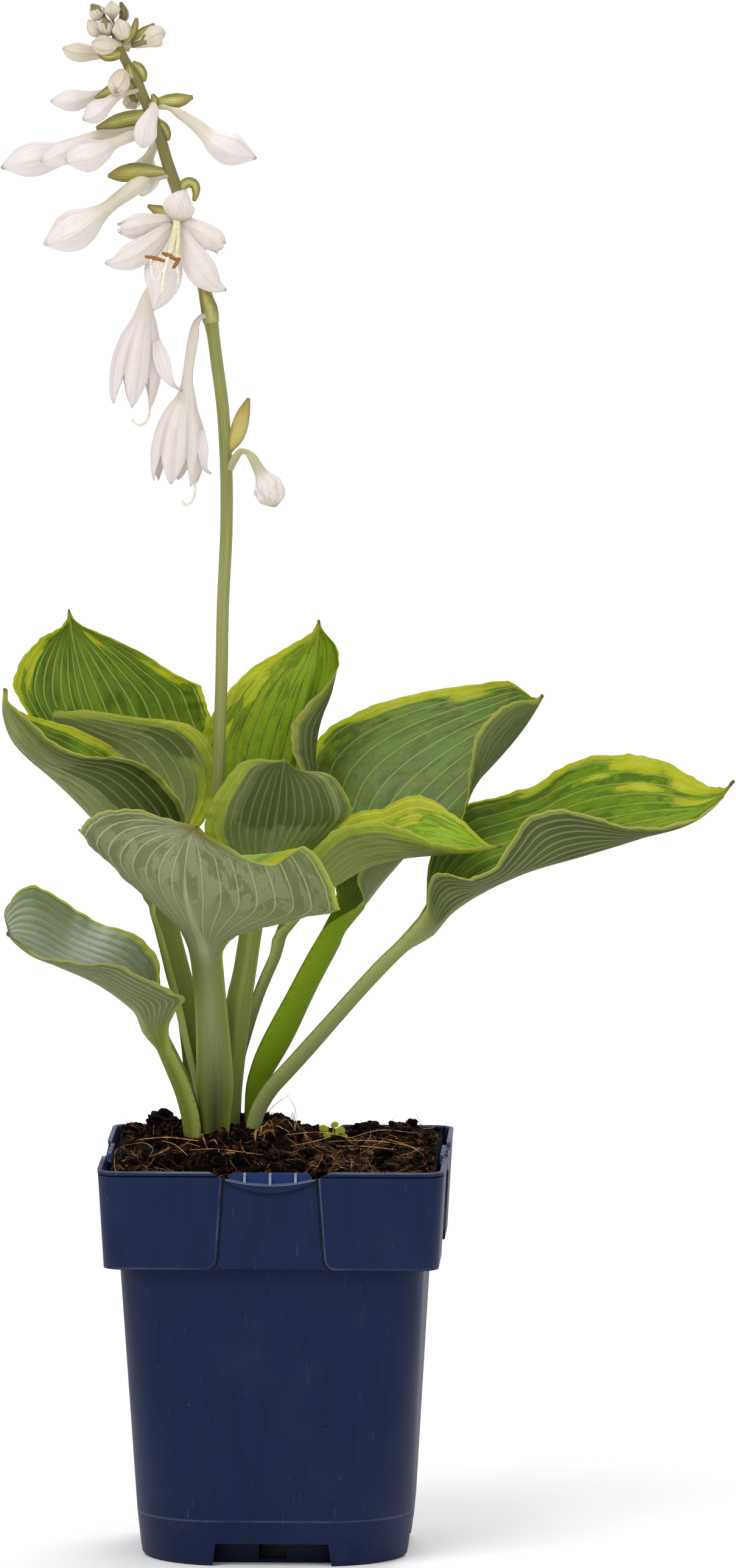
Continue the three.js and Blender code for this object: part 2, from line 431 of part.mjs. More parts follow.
// The open flower: its tube, its six petals (x, z, y, half width) and its stamens with the style.
const OPEN_TUBE = [[-39.9, 583.5, 2.8, 1.2], [-41.6, 583, -2, 1.8], [-43, 582, -6, 3],
  [-44, 581, -9, 4.2]];
const PETALS = [
  [[-43.4, 579.5, -8, 2.4], [-42.7, 583.4, -14, 6.6], [-41.9, 587.5, -16.5, 6.4],
    [-40.6, 590.8, -16, 4], [-39.2, 593.5, -14, 0.8]],
  [[-45.5, 580.5, -8, 2.2], [-52, 579.4, -12, 3.8], [-58, 578.3, -15, 5],
    [-63.5, 577, -15, 4.8], [-67.8, 576.8, -13, 2]],
  [[-45.2, 578.5, -9, 2.4], [-51, 572.8, -17, 4.2], [-58, 567.3, -21, 5.6],
    [-65, 563.5, -22, 5.2], [-70, 561.8, -20, 2.8], [-74, 561.9, -18, 0.5]],
  [[-44.6, 577.5, -9, 2.4], [-47.4, 568, -16, 5.2], [-49, 559, -20, 8.2],
    [-49.6, 551, -20, 6.9], [-51.2, 545.5, -18, 3.8], [-53.4, 541.6, -15, 0.5]],
  [[-42.8, 578.5, -9, 2.4], [-38.8, 570, -17, 4.2], [-34.5, 561.5, -22, 6.4],
    [-29.5, 554.8, -22, 5.6], [-25.5, 551.5, -20, 2.8], [-21.9, 550.2, -18, 0.5]],
  [[-42.3, 580, -8, 2.2], [-36.5, 577.5, -12, 3.8], [-31, 574, -15, 5.2],
    [-26.8, 571, -15, 5.2], [-24, 568.3, -13, 3]],
];
const STAMENS = [
  [[-44, 580.6, -8, 1], [-43.6, 578.5, -15.5, 1.2], [-44.6, 573, -21, 1.3],
    [-46.2, 566, -27, 1.3]],
  [[-43, 580.6, -8, 0.9], [-42.6, 578.5, -15.5, 1], [-42.7, 572, -21, 1], [-43.3, 564, -27, 1]],
  [[-46.2, 566.5, -26.5, 0.7], [-48.2, 559.7, -29, 0.6], [-49.3, 553, -30, 0.55],
    [-49.7, 548.4, -31, 0.8]],
  [[-57, 564.7, -29, 0.6], [-53, 564, -28.6, 0.9], [-48.4, 562.7, -28, 0.7]],
  [[-49.6, 566.3, -27, 0.6], [-46.6, 565, -27, 1], [-43.2, 563.3, -27, 0.7]],
  [[-44.8, 559.6, -28, 0.6], [-43.4, 561.6, -28, 0.9], [-41.8, 564, -27, 0.6]],
  [[-54.3, 564.2, -28.8, 0.5], [-54.3, 559.5, -30, 0.5], [-53.3, 555.3, -30.5, 0.5],
    [-51.4, 554.6, -30, 0.5], [-49.9, 557.5, -29.2, 0.5], [-47.9, 560.6, -28.8, 0.5]],
  [[-51, 563.3, -28.4, 0.5], [-51, 559, -28.6, 0.5], [-48.9, 555.8, -28.8, 0.5]],
  [[-43.5, 560.8, -28, 0.5], [-42.4, 556.4, -28, 0.5], [-42.9, 552.4, -28, 0.5]],
];

// The seedling of a weed beside the crown: its stem, and its leaves as x, z, y, radius.
const SEEDLING_STEM = [[23.5, 170, 14, 0.5], [23.8, 180, 14, 0.5], [24.5, 182, 13.5, 0.5]];
const SEEDLING_LEAVES = [[21.5, 182.4, 11.5, 2.6], [27.5, 183.2, 12.5, 3], [24.5, 185.4, 15, 2.2]];
const SEEDLING_FORK = [24.2, 181.4, 13.6, 0.4];

// Closed skins. 'rings' are lists of points, each ring going the same way round.
function skin(rings, capStart, capEnd) {
  const points = rings.flat();
  const n = rings[0].length;
  const faces = [];
  for (let k = 0; k < rings.length - 1; k += 1) {
    for (let i = 0; i < n; i += 1) {
      const a = k * n + i;
      const b = k * n + ((i + 1) % n);
      faces.push([a, b, b + n], [a, b + n, a + n]);
    }
  }
  const last = (rings.length - 1) * n;
  const start = points.length;
  points.push(capStart || middle(rings[0]));
  points.push(capEnd || middle(rings[rings.length - 1]));
  for (let i = 0; i < n; i += 1) {
    const j = (i + 1) % n;
    faces.push([start, j, i], [start + 1, last + i, last + j]);
  }
  return solid(points, faces);
}

function middle(ring) {
  const sum = new THREE.Vector3();
  ring.forEach((p) => sum.add(p));
  return sum.multiplyScalar(1 / ring.length);
}

// A closed solid for joining and cutting, turned right side out.
function solid(points, faces) {
  let volume = 0;
  faces.forEach(([a, b, c]) => {
    volume += points[a].dot(points[b].clone().cross(points[c]));
  });
  const turned = volume < 0 ? faces.map(([a, b, c]) => [a, c, b]) : faces;
  return new wasm.Manifold(new wasm.Mesh({
    numProp: 3,
    vertProperties: new Float32Array(points.flatMap((p) => [p.x, p.y, p.z])),
    triVerts: new Uint32Array(turned.flat()),
  }));
}

function fromGeometry(source) {
  const geometry = source.clone();
  geometry.deleteAttribute('normal');
  geometry.deleteAttribute('uv');
  const merged = mergeVertices(geometry, 1e-4);
  return new wasm.Manifold(new wasm.Mesh({
    numProp: 3,
    vertProperties: merged.attributes.position.array,
    triVerts: new Uint32Array(merged.index.array),
  }));
}

// The biggest body of a solid that a cut left in several.
function biggest(body) {
  return body.decompose().reduce((a, b) => (b.volume() > a.volume() ? b : a));
}

// The frame of a section: along the axis, across it, and out of its upper face.
function frameAt(centres, k, turn) {
  const before = centres[Math.max(k - 1, 0)];
  const after = centres[Math.min(k + 1, centres.length - 1)];
  const along = after.clone().sub(before).normalize();
  const angle = THREE.MathUtils.degToRad(turn);
  const across = new THREE.Vector3(Math.cos(angle), Math.sin(angle), 0);
  across.addScaledVector(along, -across.dot(along)).normalize();
  const up = across.clone().cross(along).normalize();
  return { along, across, up };
}

// Stations of a leaf: left margin, middle and right margin of the upper face, the depth of the
// channel, the thickness at the middle and at the margins, and how flat the blade is (0 to 1).
function leafStations(leaf, grow) {
  const stations = [];
  const centres = leaf.petiole.map(([x, z, y], k) => seen(x, k === 0 ? z - 2 * grow : z, y));
  const rows = leaf.blade;
  centres.push(seen(rows[0][3], rows[0][4], rows[0][5]));
  leaf.petiole.forEach(([, , , half, deep], k) => {
    const { across, up } = frameAt(centres, k, leaf.turn);
    const mid = centres[k].clone().addScaledVector(up, deep / 2 + grow);
    stations.push({
      left: mid.clone().addScaledVector(across, -half - grow),
      mid,
      right: mid.clone().addScaledVector(across, half + grow),
      channel: 0.3 * deep,
      core: 0.7 * deep + 2 * grow,
      edge: 1 + 2 * grow,
      flat: 0,
      bow: 0,
    });
  });
  rows.forEach((row, k) => {
    const part = (k + 1) / (rows.length + 1);
    stations.push({
      left: seen(row[0], row[1], row[2]),
      mid: seen(row[3], row[4], row[5]),
      right: seen(row[6], row[7], row[8]),
      channel: k === 0 ? 0.6 : 0,
      core: k === 0 ? 4 : MIDRIB + (1.1 - MIDRIB) * part,
      edge: BLADE_EDGE,
      flat: k === 0 ? 0.5 : 1,
      bow: Math.sin(Math.PI * part) ** 0.7,
    });
  });
  const end = stations[stations.length - 1];
  const tip = seen(...leaf.tip);
  const side = end.right.clone().sub(end.left).setLength(0.7);
  stations.push({
    left: tip.clone().sub(side), mid: tip, right: tip.clone().add(side),
    channel: 0, core: 0.9, edge: BLADE_EDGE, flat: 1, bow: 0,
  });
  return stations;
}

// A thin closed sheet through the stations, split into the same triangles on both faces.
function sheet(stations, bows, fractions) {
  const upper = [];
  const lower = [];
  stations.forEach((station, k) => {
    const before = stations[Math.max(k - 1, 0)];
    const after = stations[Math.min(k + 1, stations.length - 1)];
    const along = after.mid.clone().sub(before.mid);
    const wide = station.right.clone().sub(station.left);
    const middleUp = wide.clone().cross(along).normalize();
    fractions.forEach((s) => {
      const u = Math.abs(s);
      const margin = s < 0 ? station.left : station.right;
      const arm = margin.clone().sub(station.mid);
      const armUp = arm.clone().multiplyScalar(s < 0 ? -1 : 1).cross(along).normalize();
      const blend = station.flat * Math.min(1, 1.6 * u);
      const up = middleUp.clone().lerp(armUp, blend).normalize();
      const bow = station.bow * bows[s < 0 ? 0 : 1] * 4 * u * (1 - u);
      const sink = station.channel * (1 - u * u) + bow;
      const top = station.mid.clone().addScaledVector(arm, u).addScaledVector(up, -sink);
      const round = Math.sqrt(1 - u * u);
      const shape = round + ((1 - u) ** 3 - round) * station.flat;
      const thick = station.edge + (station.core - station.edge) * shape;
      upper.push(top);
      lower.push(top.clone().addScaledVector(up, -thick));
    });
  });
  const n = fractions.length;
  const m = stations.length;
  const all = upper.concat(lower);
  const under = upper.length;
  const faces = [];
  for (let k = 0; k < m - 1; k += 1) {
    for (let i = 0; i < n - 1; i += 1) {
      const a = k * n + i;
      faces.push([a, a + 1, a + n + 1], [a, a + n + 1, a + n]);
      faces.push([under + a, under + a + n + 1, under + a + 1]);
      faces.push([under + a, under + a + n, under + a + n + 1]);
    }
    const l = k * n;
    const r = l + n - 1;
    faces.push([l, l + n, under + l + n], [l, under + l + n, under + l]);
    faces.push([r, under + r + n, r + n], [r, under + r, under + r + n]);
  }
  const end = (m - 1) * n;
  for (let i = 0; i < n - 1; i += 1) {
    faces.push([i, under + i + 1, i + 1], [i, under + i, under + i + 1]);
    faces.push([end + i, end + i + 1, under + end + i + 1]);
    faces.push([end + i, under + end + i + 1, under + end + i]);
  }
  return solid(all, faces);
}

function leafBody(leaf, grow) {
  return sheet(leafStations(leaf, grow), leaf.bow, LEAF_FRACTIONS);
}

// A petal or a bract: a boat-shaped sheet round its axis.
function boat(rows, cup, thick, fractions) {
  const centres = rows.map(([x, z, y]) => seen(x, z, y));
  const stations = rows.map(([, , , half], k) => {
    const before = centres[Math.max(k - 1, 0)];
    const after = centres[Math.min(k + 1, centres.length - 1)];
    const along = after.clone().sub(before).normalize();
    const across = along.clone().cross(AWAY).normalize();
    const up = across.clone().cross(along).normalize();
    const mid = centres[k].clone();
    const rise = up.multiplyScalar(cup * half);
    return {
      left: mid.clone().addScaledVector(across, -half).add(rise),
      mid,
      right: mid.clone().addScaledVector(across, half).add(rise),
      channel: 0, core: thick * 1.3, edge: thick, flat: 1, bow: 0.2,
    };
  });
  return sheet(stations, [1, 1], fractions);
}

// A round body along an axis: x, z, y, radius. 'grow' makes it fatter and longer all round.
function round(rows, sides, grow) {
  return skin(roundRings(rows, sides, grow));
}

// The room that the foot of a bud or a flower takes in the stalk.
function room(rows) {
  return round(rows.slice(0, 3), ROOM_SIDES, 1.7 * FIT);
}

function roundRings(rows, sides, grow) {
  const centres = rows.map(([x, z, y]) => seen(x, z, y));
  let side = new THREE.Vector3(0, 1, 0);
  return centres.map((centre, k) => {
    const before = centres[Math.max(k - 1, 0)];
    const after = centres[Math.min(k + 1, centres.length - 1)];
    const along = after.clone().sub(before).normalize();
    side = side.clone().addScaledVector(along, -side.dot(along)).normalize();
    const other = along.clone().cross(side);
    const out = k === 0 ? -grow : 0;
    const more = k === centres.length - 1 ? grow : out;
    const ring = [];
    for (let i = 0; i < sides; i += 1) {
      const angle = (2 * Math.PI * i) / sides;
      const r = rows[k][3] + grow;
      const p = centre.clone().addScaledVector(along, more);
      p.addScaledVector(side, r * Math.cos(angle)).addScaledVector(other, r * Math.sin(angle));
      ring.push(p);
    }
    return ring;
  });
}

// A hanging flower: a bell whose mouth ends in pointed lobes and is hollow inside.
function bell({ rows, lobe, curl }) {
  const rings = roundRings(rows, BELL_SIDES, 0);
  const last = rings.length - 1;
  const centre = seen(...rows[last].slice(0, 3));
  const along = centre.clone().sub(seen(...rows[last - 1].slice(0, 3))).normalize();
  const mouth = rings[last].map((p, i) => {
    const long = i % 2 === 0 ? lobe : lobe * 0.35;
    const inward = centre.clone().sub(p).multiplyScalar(i % 2 === 0 ? 0.16 : 0.06);
    return p.clone().addScaledVector(along, long).add(inward);
  });
  const inner = rings[last].map((p) => p.clone().lerp(centre, 0.2));
  const deep = rings[last - 1].map((p) => p.clone().lerp(seen(...rows[last - 1].slice(0, 3)), 0.3));
  const cup = skin(rings.concat([mouth, inner, deep]));
  return cup.add(boat(curl, -0.3, PETAL, [-1, 0, 1]));
}

// Rounded squares and prisms of the pot and the soil.
function square(size, radius, z, steps) {
  const ring = [];
  const inner = size / 2 - radius;
  for (let corner = 0; corner < 4; corner += 1) {
    const cx = corner === 0 || corner === 3 ? inner : -inner;
    const cy = corner < 2 ? inner : -inner;
    for (let i = 0; i <= steps; i += 1) {
      const angle = (Math.PI / 2) * (corner + i / steps);
      const x = cx + radius * Math.cos(angle);
      ring.push(new THREE.Vector3(x, cy + radius * Math.sin(angle), z));
    }
  }
  return ring;
}

function squares(rows, steps) {
  return skin(rows.map(([size, radius, z]) => square(size, radius, z, steps)));
}

// A prism with the outline given as x, z, standing through the front wall from y0 to y1.
function prism(outline, y0, y1) {
  const shape = new THREE.Shape(outline.map(([x, z]) => new THREE.Vector2(x, z)));
  const geometry = new THREE.ExtrudeGeometry(shape, { depth: y1 - y0, bevelEnabled: false });
  geometry.rotateX(Math.PI / 2);
  geometry.translate(0, y1, 0);
  return geometry;
}

function box(x0, x1, y0, y1, z0, z1) {
  const geometry = new THREE.BoxGeometry(x1 - x0, y1 - y0, z1 - z0);
  geometry.translate((x0 + x1) / 2, (y0 + y1) / 2, (z0 + z1) / 2);
  return geometry;
}

function joined(bodies) {
  return bodies.reduce((all, body) => all.add(body));
}

// The same shapes of the front wall on as many sides, a quarter turn apart.
function onSides(count, geometries) {
  const bodies = [];
  for (let side = 0; side < count; side += 1) {
    geometries.forEach((geometry) => {
      bodies.push(fromGeometry(geometry.clone().rotateZ((side * Math.PI) / 2)));
    });
  }
  return joined(bodies);
}

// The pot's body and collar, without the corner plates.
function potBody() {
  const neck = COLLAR_LOW - 2 * PLATE_PROUD;
  const outer = squares([
    [BASE - 2.4, CORNER_BASE - 1, 0], [BASE, CORNER_BASE, 1.4],
    [BODY_LOW, CORNER_BASE - 3, BODY_LOW_Z], [BODY_TOP, CORNER_BODY, COLLAR_BOTTOM],
    [neck, CORNER_RIM - 1, COLLAR_BOTTOM + 0.8],
    [RIM - 0.6 - 2 * PLATE_PROUD, CORNER_RIM - 0.5, POT_HEIGHT - LIP - 0.6],
    [RIM, CORNER_RIM, POT_HEIGHT - LIP], [RIM, CORNER_RIM, POT_HEIGHT],
  ], POT_STEPS);
  const cavity = squares([
    [BASE + 1.9 - 2 * WALL, CORNER_BASE - 4, FLOOR_TOP],
    [BODY_TOP - 2 * WALL, CORNER_BODY - 1.5, COLLAR_BOTTOM + 1],
    [neck - 2 * WALL, CORNER_RIM - 2, COLLAR_BOTTOM + 2 + WALL],
    [RIM - 2 * WALL - 0.2, CORNER_RIM - 2, POT_HEIGHT + 1],
  ], POT_STEPS);
  return { outer, cavity };
}

// The proud corner plates of the collar, left over where the side panels are cut away.
function cornerPlates() {
  const low = PANEL_LOW / 2;
  const high = PANEL_TOP / 2;
  const bottom = COLLAR_BOTTOM - 1;
  const soft = 0.3 * PLATE_CORNER;
  const panel = prism([
    [-low + PLATE_CORNER, bottom], [low - PLATE_CORNER, bottom], [low - soft, bottom + soft],
    [low, bottom + PLATE_CORNER], [high, POT_HEIGHT], [-high, POT_HEIGHT],
    [-low, bottom + PLATE_CORNER], [-low + soft, bottom + soft],
  ], -RIM / 2 - 5, -RIM / 2 + 15);
  const band = squares([
    [COLLAR_LOW, CORNER_RIM, COLLAR_BOTTOM + 0.4],
    [RIM - 0.4, CORNER_RIM + 0.5, POT_HEIGHT - LIP - 0.8],
  ], 6);
  return band.subtract(onSides(4, [panel]));
}

// The label slot: a scoop in the lip, a tongue behind it and three small ribs between.
function labelSlots() {
  const front = -RIM / 2;
  const right = [
    [SLOT_HALF, POT_HEIGHT + 1], [0.92 * SLOT_HALF, POT_HEIGHT - 0.3 * SLOT_DEEP],
    [0.63 * SLOT_HALF, POT_HEIGHT - 0.73 * SLOT_DEEP], [0.26 * SLOT_HALF, POT_HEIGHT - SLOT_DEEP],
  ];
  const left = right.map(([x, z]) => [-x, z]).reverse();
  const scoop = prism(right.concat(left), front - 5, front + 1.8);
  const tongue = box(-TONGUE_HALF, TONGUE_HALF, front + 0.6, front + 3.4,
    POT_HEIGHT - 12, POT_HEIGHT - 1);
  const ribs = [-RIB_PITCH, 0, RIB_PITCH].map((x) => box(x - RIB_HALF, x + RIB_HALF,
    front + 0.6, front + 2, POT_HEIGHT - 9, POT_HEIGHT - 3.4));
  return { scoop: onSides(4, [scoop]), tongue: onSides(4, [tongue]), ribs: onSides(4, ribs) };
}

// What is open under the floor: a ring round the solid foot, the skirt's cut-outs, the crossed
// tunnels and the drain holes.
function underside() {
  const foot = squares([[FOOT, 28, -2], [FOOT, 28, FLOOR_TOP + 1]], POT_STEPS);
  const skirt = squares([
    [BASE - 3.4, CORNER_BASE - 3, -1], [BASE - 2, CORNER_BASE - 4, FLOOR_UNDER],
  ], POT_STEPS);
  const cutout = prism([
    [-CUTOUT_LOW / 2, -1], [CUTOUT_LOW / 2, -1], [CUTOUT_HIGH / 2, FLOOR_UNDER],
    [-CUTOUT_HIGH / 2, FLOOR_UNDER],
  ], -BASE / 2 - 4, -BASE / 2 + 6);
  const tunnel = box(-RIM / 2, RIM / 2, -TUNNEL_HALF, TUNNEL_HALF, TUNNEL_LOW, TUNNEL_HIGH);
  const drains = [-DRAIN_OFFSET, DRAIN_OFFSET].map((x) => {
    const hole = new THREE.CylinderGeometry(DRAIN_RADIUS, DRAIN_RADIUS, 4, 8);
    return hole.rotateX(Math.PI / 2).translate(x, -DRAIN_OUT, (FLOOR_UNDER + FLOOR_TOP) / 2);
  });
  return joined([skirt.subtract(foot), onSides(4, [cutout, ...drains]), onSides(2, [tunnel])]);
}

function makePot() {
  const { outer, cavity } = potBody();
  const { scoop, tongue, ribs } = labelSlots();
  return outer.add(cornerPlates()).subtract(cavity).add(tongue).subtract(scoop).add(ribs)
    .subtract(underside());
}

function soilHeight(x, y) {
  const far = ((x - CROWN.x) ** 2 + (y - CROWN.y) ** 2) / CROWN.wide ** 2;
  const inside = Math.max(0, 1 - Math.max(Math.abs(x), Math.abs(y)) / SOIL_HALF);
  let z = SOIL_FRONT + (SOIL_TILT * (y + SOIL_HALF)) / (2 * SOIL_HALF);
  z += SOIL_FILL * Math.sqrt(inside) + CROWN.rise * Math.exp(-far * far);
  z += 0.9 * Math.sin(0.23 * x + 0.11 * y) * Math.sin(0.19 * y - 0.07 * x);
  LUMPS.forEach(([lx, ly, wide, high]) => {
    z += high * Math.exp(-((x - lx) ** 2 + (y - ly) ** 2) / (wide * wide));
  });
  return z;
}

function makeSoil(stems) {
  const rings = [
    square(BASE - 2.3, CORNER_BASE - 4, FLOOR_TOP + FIT, POT_STEPS),
    square(BODY_TOP - 2 * WALL - 0.7, CORNER_BODY - 2, COLLAR_BOTTOM + 1, POT_STEPS),
    square(COLLAR_LOW - 2 * PLATE_PROUD - 2 * WALL - 0.7, CORNER_RIM - 2.4,
      COLLAR_BOTTOM + 4, POT_STEPS),
  ];
  const top = square(RIM - 9, CORNER_RIM - 2.6, SOIL_FRONT, POT_STEPS);
  [1, 0.88, 0.75, 0.62, 0.49, 0.36, 0.23, 0.1].forEach((f) => {
    rings.push(top.map((p) => new THREE.Vector3(p.x * f, p.y * f, soilHeight(p.x * f, p.y * f))));
  });
  return biggest(stems.reduce((all, stem) => all.subtract(stem), skin(rings)));
}

// Everything put together.
const plant = new THREE.Group();

function place(name, body, color, roughness) {
  const { vertProperties, triVerts } = body.getMesh();
  const geometry = new THREE.BufferGeometry();
  geometry.setAttribute('position', new THREE.BufferAttribute(vertProperties, 3));
  geometry.setIndex(new THREE.BufferAttribute(triVerts, 1));
  geometry.computeVertexNormals();
  const material = new THREE.MeshStandardMaterial({ color, roughness, metalness: 0 });
  const mesh = new THREE.Mesh(geometry, material);
  mesh.name = name;
  plant.add(mesh);
}

place('pot', makePot(), 0x1e2b4a, 0.55);

const stems = [round(STALK.slice(0, 3), STALK_SIDES, FIT)];
Object.entries(LEAVES).forEach(([name, leaf]) => {
  place(name, leafBody(leaf, 0), leaf.color, 0.45);
  stems.push(leafBody(leaf, FIT));
});

const seedling = SEEDLING_LEAVES.flatMap(([x, z, y, r]) => [
  round([SEEDLING_FORK, [x, z, y, 0.4]], 5, 0),
  round([[x, z - 0.5, y, r * 0.7], [x, z, y, r], [x, z + 0.5, y, r * 0.7]], 8, 0),
]);
place('weed_seedling', joined([round(SEEDLING_STEM, 6, 0), ...seedling]), 0x6f9a34, 0.5);
stems.push(round(SEEDLING_STEM, 6, FIT));

place('soil', makeSoil(stems), 0x2e211b, 0.95);

const hung = [];
Object.entries(BUDS).forEach(([name, rows]) => {
  const color = name === 'withered_flower' ? 0xd9d3c9 : 0xe6dcd4;
  place(name, round(rows, BUD_SIDES, 0), color, 0.5);
  hung.push(room(rows));
});
Object.entries(BELLS).forEach(([name, flower]) => {
  place(name, bell(flower).subtract(round(flower.style, 6, FIT)), 0xe9e2e0, 0.5);
  place(`${name}_style`, round(flower.style, 6, 0), 0xe8e2cc, 0.5);
  hung.push(room(flower.rows));
});

const stamens = joined(STAMENS.map((rows) => round(rows, 5, 0)));
const stamenRoom = STAMENS.slice(0, 2).map((rows) => round(rows, 6, FIT));
const petals = PETALS.map((rows) => boat(rows, 0.35, PETAL, [-1, 0, 1]));
const openFlower = joined([round(OPEN_TUBE, 8, 0), ...petals]);
place('flower_open', biggest(stamenRoom.reduce((all, b) => all.subtract(b), openFlower)), 0xebe4e2, 0.5);
place('flower_open_stamens', stamens, 0xc9bf6a, 0.5);
hung.push(room(OPEN_TUBE));

const bracts = BRACTS.map((rows) => boat(rows, 0.4, BRACT, [-1, 0, 1]));
const wholeStalk = joined([round(STALK, STALK_SIDES, 0), ...bracts]);
place('flower_stalk', biggest(hung.reduce((all, b) => all.subtract(b), wholeStalk)), 0x6d7c30, 0.5);

export default plant;
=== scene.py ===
import math
import random

import bmesh
import bpy
import numpy as np
from bpy.props import FloatProperty, FloatVectorProperty, IntProperty, PointerProperty
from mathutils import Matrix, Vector, noise


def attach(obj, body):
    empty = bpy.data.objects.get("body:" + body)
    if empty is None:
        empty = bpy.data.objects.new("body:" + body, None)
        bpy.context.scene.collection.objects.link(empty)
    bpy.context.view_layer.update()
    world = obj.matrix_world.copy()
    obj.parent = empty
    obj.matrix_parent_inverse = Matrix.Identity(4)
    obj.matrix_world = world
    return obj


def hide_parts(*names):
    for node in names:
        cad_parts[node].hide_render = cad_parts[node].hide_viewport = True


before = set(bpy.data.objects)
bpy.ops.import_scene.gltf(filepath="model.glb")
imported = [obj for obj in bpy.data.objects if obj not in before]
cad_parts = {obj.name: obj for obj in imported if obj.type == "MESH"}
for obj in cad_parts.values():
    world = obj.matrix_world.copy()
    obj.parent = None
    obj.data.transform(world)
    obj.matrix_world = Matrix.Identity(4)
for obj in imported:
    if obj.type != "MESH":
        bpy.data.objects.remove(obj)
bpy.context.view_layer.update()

# A flowering plantain lily (hosta) in its square nursery pot. The tables are in millimetres and
# become metres where a mesh is made. The front of the plant is towards -Y, and the origin is the
# middle of the pot's base, on the ground.

bl_info = {
    "name": "Potted Hosta",
    "version": (1, 0, 0),
    "blender": (4, 5, 0),
    "location": "View3D > Sidebar > Potted Hosta",
    "description": "Builds a flowering hosta in a square nursery pot",
    "category": "Add Mesh",
}

MM = 0.001

# The view: the plant's outlines are given as they are seen from the front, from far off and a
# little above, at EYE: x and z where the sight line crosses the middle plane of the pot, and y,
# the true distance behind that plane (negative towards the viewer).
EYE = np.array([282.3, -6946.5, 1163.8])
AIM = np.array([39.7, 0.0, 335.0])
LENS = 369.8

# Driving dimensions of the pot.
POT_HEIGHT = 175
RIM = 150
LIP = 1.6
COLLAR_BOTTOM = 131.5
COLLAR_LOW = 145
PLATE_PROUD = 1
PLATE_CORNER = 5
BODY_TOP = 132
BODY_LOW = 120
BODY_LOW_Z = 20
BASE = 116.5
WALL = 1.6
FLOOR_UNDER = 10
FLOOR_TOP = 11.5
FOOT = 94
CUTOUT_LOW = 52
CUTOUT_HIGH = 49
PANEL_TOP = 41
PANEL_LOW = 47
CORNER_BASE = 39
CORNER_BODY = 15
CORNER_RIM = 9
CORNER_FOOT = 28
POT_STEPS = 12

# Label slot in the lip, tunnels under the floor and drain holes, on each side alike.
SLOT_HALF = 19.5
SLOT_DEEP = 5.6
SLOT_BAND = 9
DIP_HALF = 27
DIP_DEEP = 3.1
TONGUE_HALF = 18
RIB_PITCH = 11
RIB_HALF = 0.6
TUNNEL_HALF = 6
TUNNEL_LOW = 1.4
TUNNEL_HIGH = 9
DRAIN_RADIUS = 3
DRAIN_OFFSET = 18
DRAIN_OUT = 51.5

# Driving dimensions of the soil. Lumps are x, y, width, height.
SOIL_FRONT = 170
SOIL_TILT = 4
SOIL_FILL = 3
SOIL_HALF = 70
CROWN_X, CROWN_Y, CROWN_WIDE, CROWN_RISE = -18, 2, 34, 10.5
LUMPS = [(-52, 20, 7, 6), (-44, 34, 8, 4), (8, 24, 11, 3), (30, -34, 10, 2), (-10, -42, 12, 2),
         (-40, -30, 9, 2.4), (50, 10, 10, 2), (-8, 14, 9, 4), (52, 52, 12, 3)]

# Driving dimensions of the plant.
BLADE_EDGE = 0.45
MIDRIB = 2.6
MIDRIB_FOOT = 4
MIDRIB_TIP = 1.1
TIP_HALF = 0.7
VEINS = 8.5
PETAL = 0.5
BRACT = 0.6

